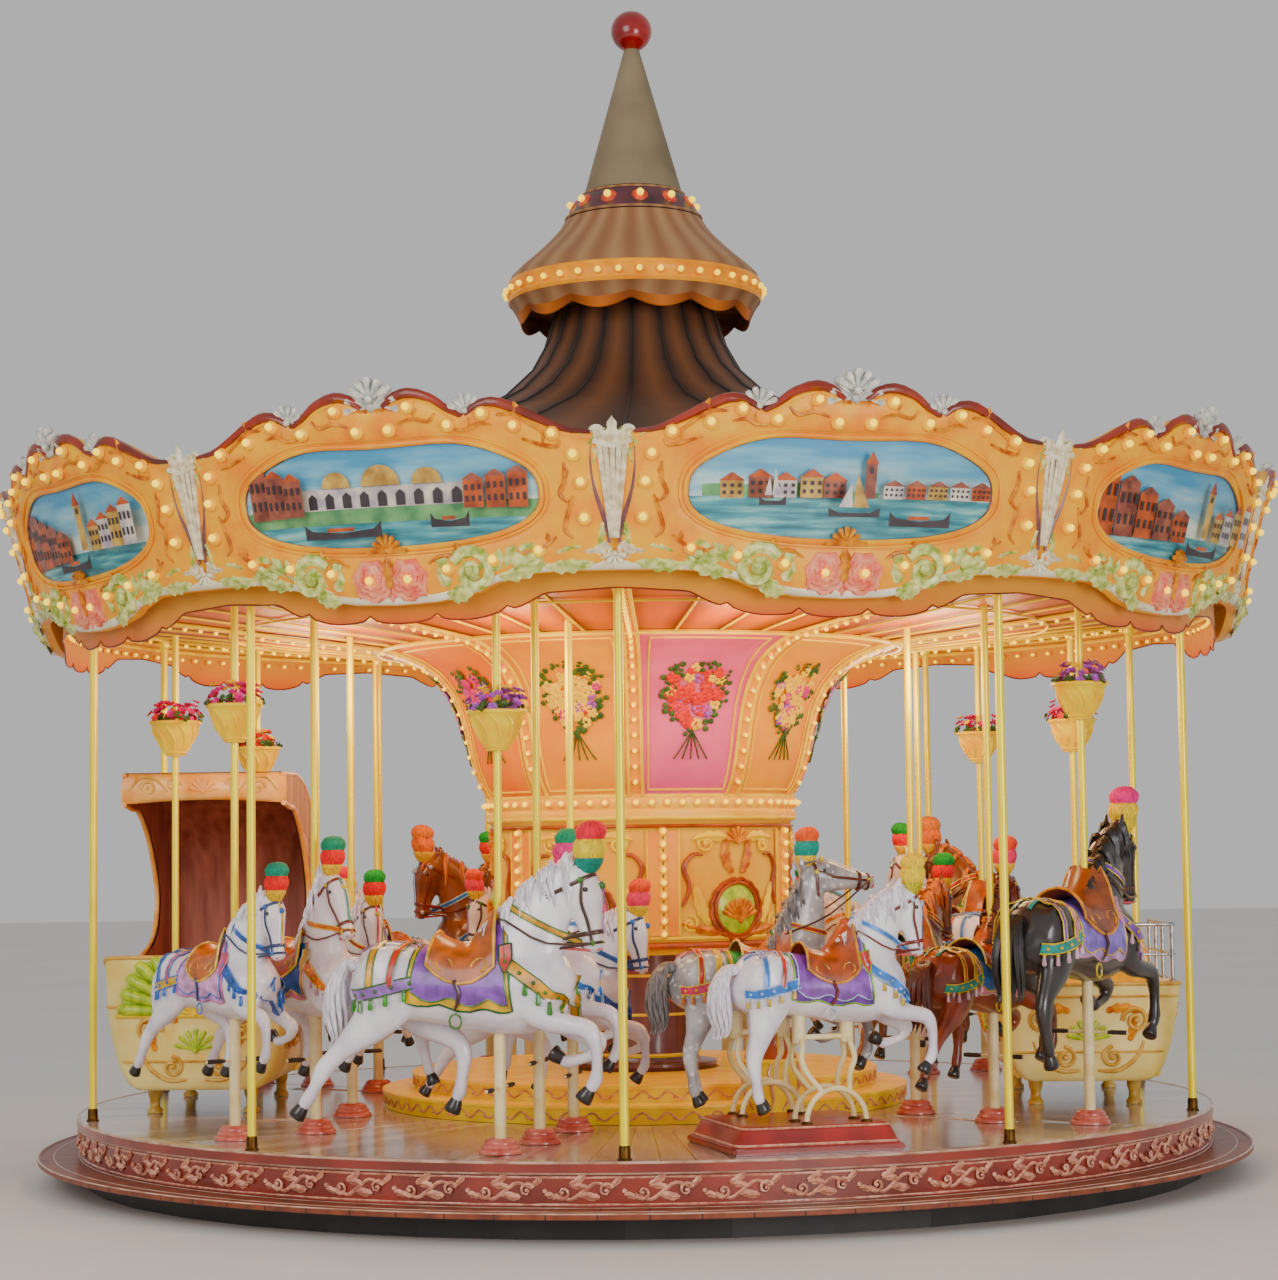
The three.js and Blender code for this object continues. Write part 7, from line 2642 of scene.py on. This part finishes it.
def build_hull_mesh():
    """Planked tub with a rolled rim, an inner skin, a bench and four feet."""
    bm = bmesh.new()
    rows = []
    for z, width, length in BOAT_LINES:
        rows.append(rounded_plan(length, width, 0.05, z))
    for extra, z in ((0.506, 0.63), (0.514, REAR_RIM - 0.012)):
        share = (z - STRAIGHT_TOP) / (REAR_RIM - 0.012 - STRAIGHT_TOP)
        plan = rounded_plan(BOAT_LENGTH, extra, 0.05, z)
        rows.append([(x, y, z + share * rim_lift(x)) for x, y, _ in plan])
    rim = rows[-1]
    for inset, drop in ((0.0, 0.012), (0.04, 0.012), (0.075, 0.0)):
        plan = rounded_plan(BOAT_LENGTH - 0.7 * inset, 0.514 - 1.1 * inset, 0.045, 0)
        rows.append([(x, y, REAR_RIM - 0.012 + drop + rim_lift(x)) for x, y, _ in plan])
    inner = []
    for z, width in ((0.56, 0.42), (0.4, 0.40), (0.26, 0.36), (0.175, 0.325)):
        inner.append(rounded_plan(0.695, width, 0.04, z))
    add_grid(bm, rows, closed=True, material=0)
    add_grid(bm, [rows[-1]] + inner, closed=True, material=1)
    bm.faces.new([bm.verts.new(p) for p in inner[-1]]).material_index = 2
    bottom = [bm.verts.new(p) for p in rows[0]]
    bm.faces.new(bottom[::-1]).material_index = 3
    lip = [(x, y, z + 0.004) for x, y, z in rim]
    add_tube(bm, lip, 0.012, 8, closed=True, material=4)
    for z, width, length in ((0.60, 0.502, 0.742), (0.30, 0.425, 0.741)):
        add_tube(bm, rounded_plan(length, width, 0.05, z), 0.008, 6, closed=True, material=4)
    add_bench(bm)
    add_feet(bm)
    hull_relief(bm)
    return mesh_from("hull", bm, 45, 0.6)


def add_bench(bm):
    """Bench with a cushion."""
    add_block(bm, (BENCH["back"], -0.395, 0.16), (BENCH["front"] - 0.02, 0.395, 0.385), 5, 0.01)
    cushion = []
    for x, half in ((-0.695, 0.40), (-0.66, 0.405), (-0.5, 0.408), (-0.34, 0.405), (-0.305, 0.40)):
        puff = 0.424 if x in (-0.66, -0.5, -0.34) else 0.40
        cushion.append([(x, half * (k / 8 - 1), puff - 0.012 * abs(sin(pi * k / 4)) * 0.5)
                        for k in range(17)])
    add_grid(bm, cushion, material=6)


def add_feet(bm):
    """Four turned feet."""
    for x, y in ((0.52, 0.27), (0.52, -0.27), (-0.52, 0.27), (-0.52, -0.27)):
        foot = [(0.001, 0.002), (0.044, 0.002), (0.044, 0.02), (0.03, 0.034), (0.028, 0.07), (0.038, 0.10),
                (0.042, 0.15), (0.001, 0.15)]
        add_lathe(bm, foot, 16, 4, centre=(x, y, 0))


def hull_relief(bm):
    """Scrolls and leaves along both sides and on both ends."""
    for side in (-1, 1):
        def surface(u, z, out=0.0, side=side):
            return hull_side(u, z, side, out)
        for sign in (-1, 1):
            half = mirrored(surface, sign)
            add_spiral(bm, half, 0.17, 0.45, 0.095, 200, 1.8, 0.012, 4, 6, sign=-1)
            add_spiral(bm, half, 0.42, 0.42, 0.075, 160, 1.6, 0.010, 4, 6, sign=1)
            add_spiral(bm, half, 0.60, 0.50, 0.055, 200, 1.4, 0.009, 4, 6, sign=-1)
            add_scroll(bm, half, ((0.06, 0.36), (0.16, 0.345), (0.28, 0.40), (0.36, 0.49), (0.46, 0.53)),
                       0.011, 4, 6, 6, 0.004)
            add_scroll(bm, half, ((0.40, 0.345), (0.50, 0.36), (0.58, 0.42), (0.66, 0.44)), 0.010, 4, 6, 6,
                       0.004)
            add_leaf(bm, half, 0.26, 0.50, 35, 0.16, 0.028, 7, -60, 3, 0.006)
            add_leaf(bm, half, 0.30, 0.36, -10, 0.14, 0.024, 7, 60, 3, 0.006)
            add_leaf(bm, half, 0.48, 0.54, 20, 0.15, 0.024, 7, -40, 3, 0.006)
        add_shell(bm, surface, 0, 0.40, 0.13, 20, 160, 7, 8, 0.017, 0.006)
    for end in (-1, 1):
        def face(u, z, out=0.0, end=end):
            return Vector((end * (BOAT_LENGTH + out), u, z))
        for sign in (-1, 1):
            half = mirrored(face, sign)
            add_spiral(bm, half, 0.26, 0.47, 0.075, 180, 1.7, 0.014, 4, 8, sign=-1)
            add_spiral(bm, half, 0.13, 0.27, 0.06, 90, 1.5, 0.012, 4, 8, sign=1)
            add_scroll(bm, half, ((0.05, 0.20), (0.16, 0.20), (0.26, 0.27), (0.30, 0.36)), 0.013, 4, 8, 6,
                       0.002)
            add_leaf(bm, half, 0.10, 0.52, 20, 0.2, 0.026, 7, -50, 4, 0.003)
            add_leaf(bm, half, 0.22, 0.36, 60, 0.14, 0.022, 7, 50, 3, 0.003)
        add_shell(bm, face, 0, 0.36, 0.12, 15, 165, 7, 8, 0.015, 0.002)


def front_fan_mesh():
    """Lime fan on the raised front panel of the hooded boat: fifteen ribs side by side over a plain back."""
    bm = bmesh.new()
    foot = 0.56

    def face(u, z, out=0.0):
        return Vector((0.744 + out, u, z))

    tips = []
    for i in range(15):
        angle = radians(4 + 172 * i / 14)
        reach = min(0.43 / max(abs(cos(angle)), 0.05), 0.31 / max(sin(angle), 0.05), 0.43)
        tips.append((reach * cos(angle), reach * sin(angle)))
        line = [face(tips[-1][0] * t, foot + tips[-1][1] * t, 0.002 + 0.006 * t)
                for t in (0.12, 0.4, 0.7, 0.92, 1.0)]
        add_tube(bm, line, [0.010, 0.022, 0.034, 0.036, 0.020], 8, material=0)
    add_grid(bm, [[face(u * t, foot + z * t, 0.006) for u, z in tips] for t in (0.05, 0.5, 0.97)], material=0)
    add_tube(bm, [face(u, foot - 0.008, 0.004) for u in (-0.44, -0.15, 0, 0.15, 0.44)], 0.013, 8, material=1)
    add_shell(bm, face, 0, foot, 0.07, 10, 170, 7, 1, 0.012, 0.014)
    return mesh_from("front_fan", bm, 50)


def build_boats():
    """Both boats with their poles and baskets."""
    hull = build_hull_mesh()
    paints = looks("hull cream hood_in frame scroll_brown cream terracotta board_scroll lime")
    pole = bmesh.new()
    add_lathe(pole, [(0.0001, 0.182), (0.019, 0.182), (0.019, 2.66), (0.0001, 2.66)], 20, 0,
              centre=(*BOAT_POLE, 0))
    add_lathe(pole, [(0.019, 0.183), (0.034, 0.183), (0.034, 0.19), (0.019, 0.20)], 20, 0,
              centre=(*BOAT_POLE, 0))
    add_basket(pole, *BOAT_POLE, Random(11))
    pole = mesh_from("boat_pole", pole, 35)
    for name, section in (("railed_boat", 2), ("hooded_boat", 7)):
        degrees = section_angle(section)
        pieces = [
            add_piece(f"{name}_hull", hull, paints, slot="cream_paint", replaces=(name,)),
            add_piece(f"{name}_brass", pole, basket_paints("magenta", "petal_red"), slot="brass",
                      replaces=(f"{name}_pole",)),
        ]
        if section == 7:
            pieces.append(add_piece("lime_fan", front_fan_mesh(), looks("lime cream"), slot="cream_paint"))
            pieces.append(build_hood())
        else:
            pieces.append(build_rail())
        for piece in pieces:
            set_in_place(piece, degrees, BOAT_CIRCLE, DECK, 1)


HOOD_HALF, HOOD_WALL = 0.457, 0.026
HOOD_BACK = ((-0.735, 0.69), (-0.775, 0.90), (-0.758, 1.30), (-0.62, 1.615), (-0.35, 1.815), (0, 1.895),
             (0.25, 1.898), (0.495, 1.898))
HOOD_FRONT = ((0.30, 0.69), (0.10, 0.83), (-0.30, 0.95), (-0.42, 1.20), (-0.20, 1.50), (0.10, 1.68),
              (0.30, 1.70), (0.495, 1.722))


def hood_curves(steps=5):
    """Back and front edge lines of the hood's side, with as many points each."""
    back = smooth_line([(x, 0, z) for x, z in HOOD_BACK], steps)
    front = smooth_line([(x, 0, z) for x, z in HOOD_FRONT], steps)
    return back, front


def build_hood():
    """Tall hood of one boat."""
    bm = bmesh.new()
    back, front = hood_curves()
    add_hood_walls(bm, back, front)
    add_hood_cornice(bm)
    for side in (-1, 1):
        add_hood_trims(bm, side, back, front)
    return add_piece("hood_shell", mesh_from("hood_shell", bm, 50),
                     looks("hood hood_in cornice scroll_brown"), slot="hood_wood", replaces=("boat_hood",))


def add_hood_walls(bm, back, front):
    """Both side walls and the bent back, each with a lining."""
    half, wall = HOOD_HALF, HOOD_WALL
    for side in (-1, 1):
        for depth, material in ((half, 0), (half - wall, 1)):
            rows = []
            for t in (0, 0.33, 0.66, 1):
                row = []
                for b, f in zip(back, front):
                    base = b + (f - b) * t
                    floor = REAR_RIM + 0.012 + rim_lift(base.x)
                    row.append((base.x, side * depth, max(base.z, floor)))
                rows.append(row)
            add_grid(bm, rows, material=material)
    widths = (-half, -0.3, -0.1, 0.1, 0.3, half)
    outside = [[(p.x, y, p.z) for y in widths] for p in back]
    add_grid(bm, outside, material=0)
    inside = []
    for i, p in enumerate(back):
        ahead = back[min(i + 1, len(back) - 1)] - back[max(i - 1, 0)]
        away = Vector((ahead.z, 0, -ahead.x)).normalized() * 0.032
        inside.append([(min(p.x + away.x, 0.46), y * 0.94, p.z + away.z) for y in widths])
    add_grid(bm, inside, material=1)


def add_hood_cornice(bm):
    """Board over the opening, with a shell and scrolls."""
    half = HOOD_HALF
    rows = []
    for j in range(17):
        y = -half + 2 * half * j / 16
        low = 1.722 + 0.022 * cos(pi * y / (2 * half))
        puff = 0.018 * (1 - (y / half) ** 6)
        rows.append([(0.45, y * 1.02, low), (0.490, y * 1.02, low), (0.492 + puff, y * 1.02, low + 0.02),
                     (0.494 + puff, y * 1.03, 1.80), (0.492 + puff, y * 1.02, 1.86),
                     (0.484, y * 1.01, 1.895), (0.44, y, 1.90)])
    add_grid(bm, rows, material=2)

    def cornice(u, z, out=0.0):
        return Vector((0.510 + min(out, 0.003), u, z))

    add_shell(bm, cornice, 0, 1.785, 0.085, 15, 165, 7, 2, 0.008, 0.0)
    for sign in (-1, 1):
        half_cornice = mirrored(cornice, sign)
        add_spiral(bm, half_cornice, 0.17, 1.83, 0.04, 180, 1.5, 0.008, 3, 6, sign=-1)
        add_spiral(bm, half_cornice, 0.31, 1.81, 0.045, 0, 1.5, 0.009, 3, 6, sign=1)
        add_scroll(bm, half_cornice, ((0.2, 1.79), (0.27, 1.86), (0.36, 1.87), (0.42, 1.80)), 0.009, 3, 6,
                   6, 0.0)


def add_hood_trims(bm, side, back, front):
    """Cream trims along both edges of a side, and scrolls with leaves on it."""
    half = HOOD_HALF
    edge = [(p.x, side * (half - 0.004), max(p.z, REAR_RIM + 0.02 + rim_lift(p.x))) for p in front]
    add_tube(bm, edge, 0.015, 8, material=2)
    spine = [(p.x + 0.012 * (p.x < -0.6), side * (half - 0.006), p.z - 0.012 * (p.z > 1.5)) for p in back]
    add_tube(bm, spine, 0.012, 8, material=2)

    def wall_side(u, z, out=0.0):
        return Vector((u, side * (half + min(out, 0.006) - 0.004), z))

    add_spiral(bm, wall_side, -0.57, 1.02, 0.075, 90, 1.6, 0.010, 3, 6)
    add_spiral(bm, wall_side, -0.52, 1.30, 0.06, 270, 1.6, 0.009, 3, 6)
    add_leaf(bm, wall_side, -0.60, 1.12, 80, 0.2, 0.026, 2, -20, 4, 0.001)
    add_leaf(bm, wall_side, -0.42, 1.42, 40, 0.25, 0.026, 2, -20, 4, 0.001)


RAIL_HEIGHTS = ((0.825, 0.009), (0.988, 0.0115))
RAIL_LENGTH, RAIL_WIDTH = 0.71, 0.49


def build_rail():
    """Two steel bars and posts round the stern and the outer side."""
    bm = bmesh.new()
    length, width = RAIL_LENGTH, RAIL_WIDTH
    for z, thick in RAIL_HEIGHTS:
        line = [(length * 0.35, -width, z), (0, -width, z), (-length * 0.5, -width, z),
                (-length + 0.06, -width, z), (-length + 0.017, -width + 0.017, z),
                (-length, -width + 0.06, z), (-length, 0, z), (-length, width, z)]
        add_tube(bm, line, thick, 10)
    for x, y in ((length * 0.35, -width), (0, -width), (-length * 0.35, -width),
                 (-length + 0.017, -width + 0.017), (-length, 0), (-length, width)):
        foot = REAR_RIM + 0.002 + rim_lift(x)
        add_lathe(bm, [(0.001, foot), (0.0105, foot), (0.0105, 0.988), (0.001, 0.992)], 12, centre=(x, y, 0))
        add_lathe(bm, [(0.001, foot), (0.022, foot), (0.022, foot + 0.006), (0.011, foot + 0.012)], 12,
                  centre=(x, y, 0))
    return piece_from(bm, "steel_rail", "steel", slot="steel", replaces=("boat_rail",))


# Everything in order

make_materials()
make_horse_materials()
build_stage()
build_light()
build_camera()
build_deck()
build_nosing()
build_cups()
build_skirt()
build_running_board()
build_rim()
build_rim_lights()
build_boards()
build_valance()
build_trumpet()
build_ribs()
build_battens()
build_bouquets()
build_drum()
build_core()
build_steps()
build_tub()
build_roof()
build_bell()
build_lantern()
build_spire()
build_plain_nodes()
horses = horse_masters()
build_jumpers(horses)
build_stand(horses)
build_boats()
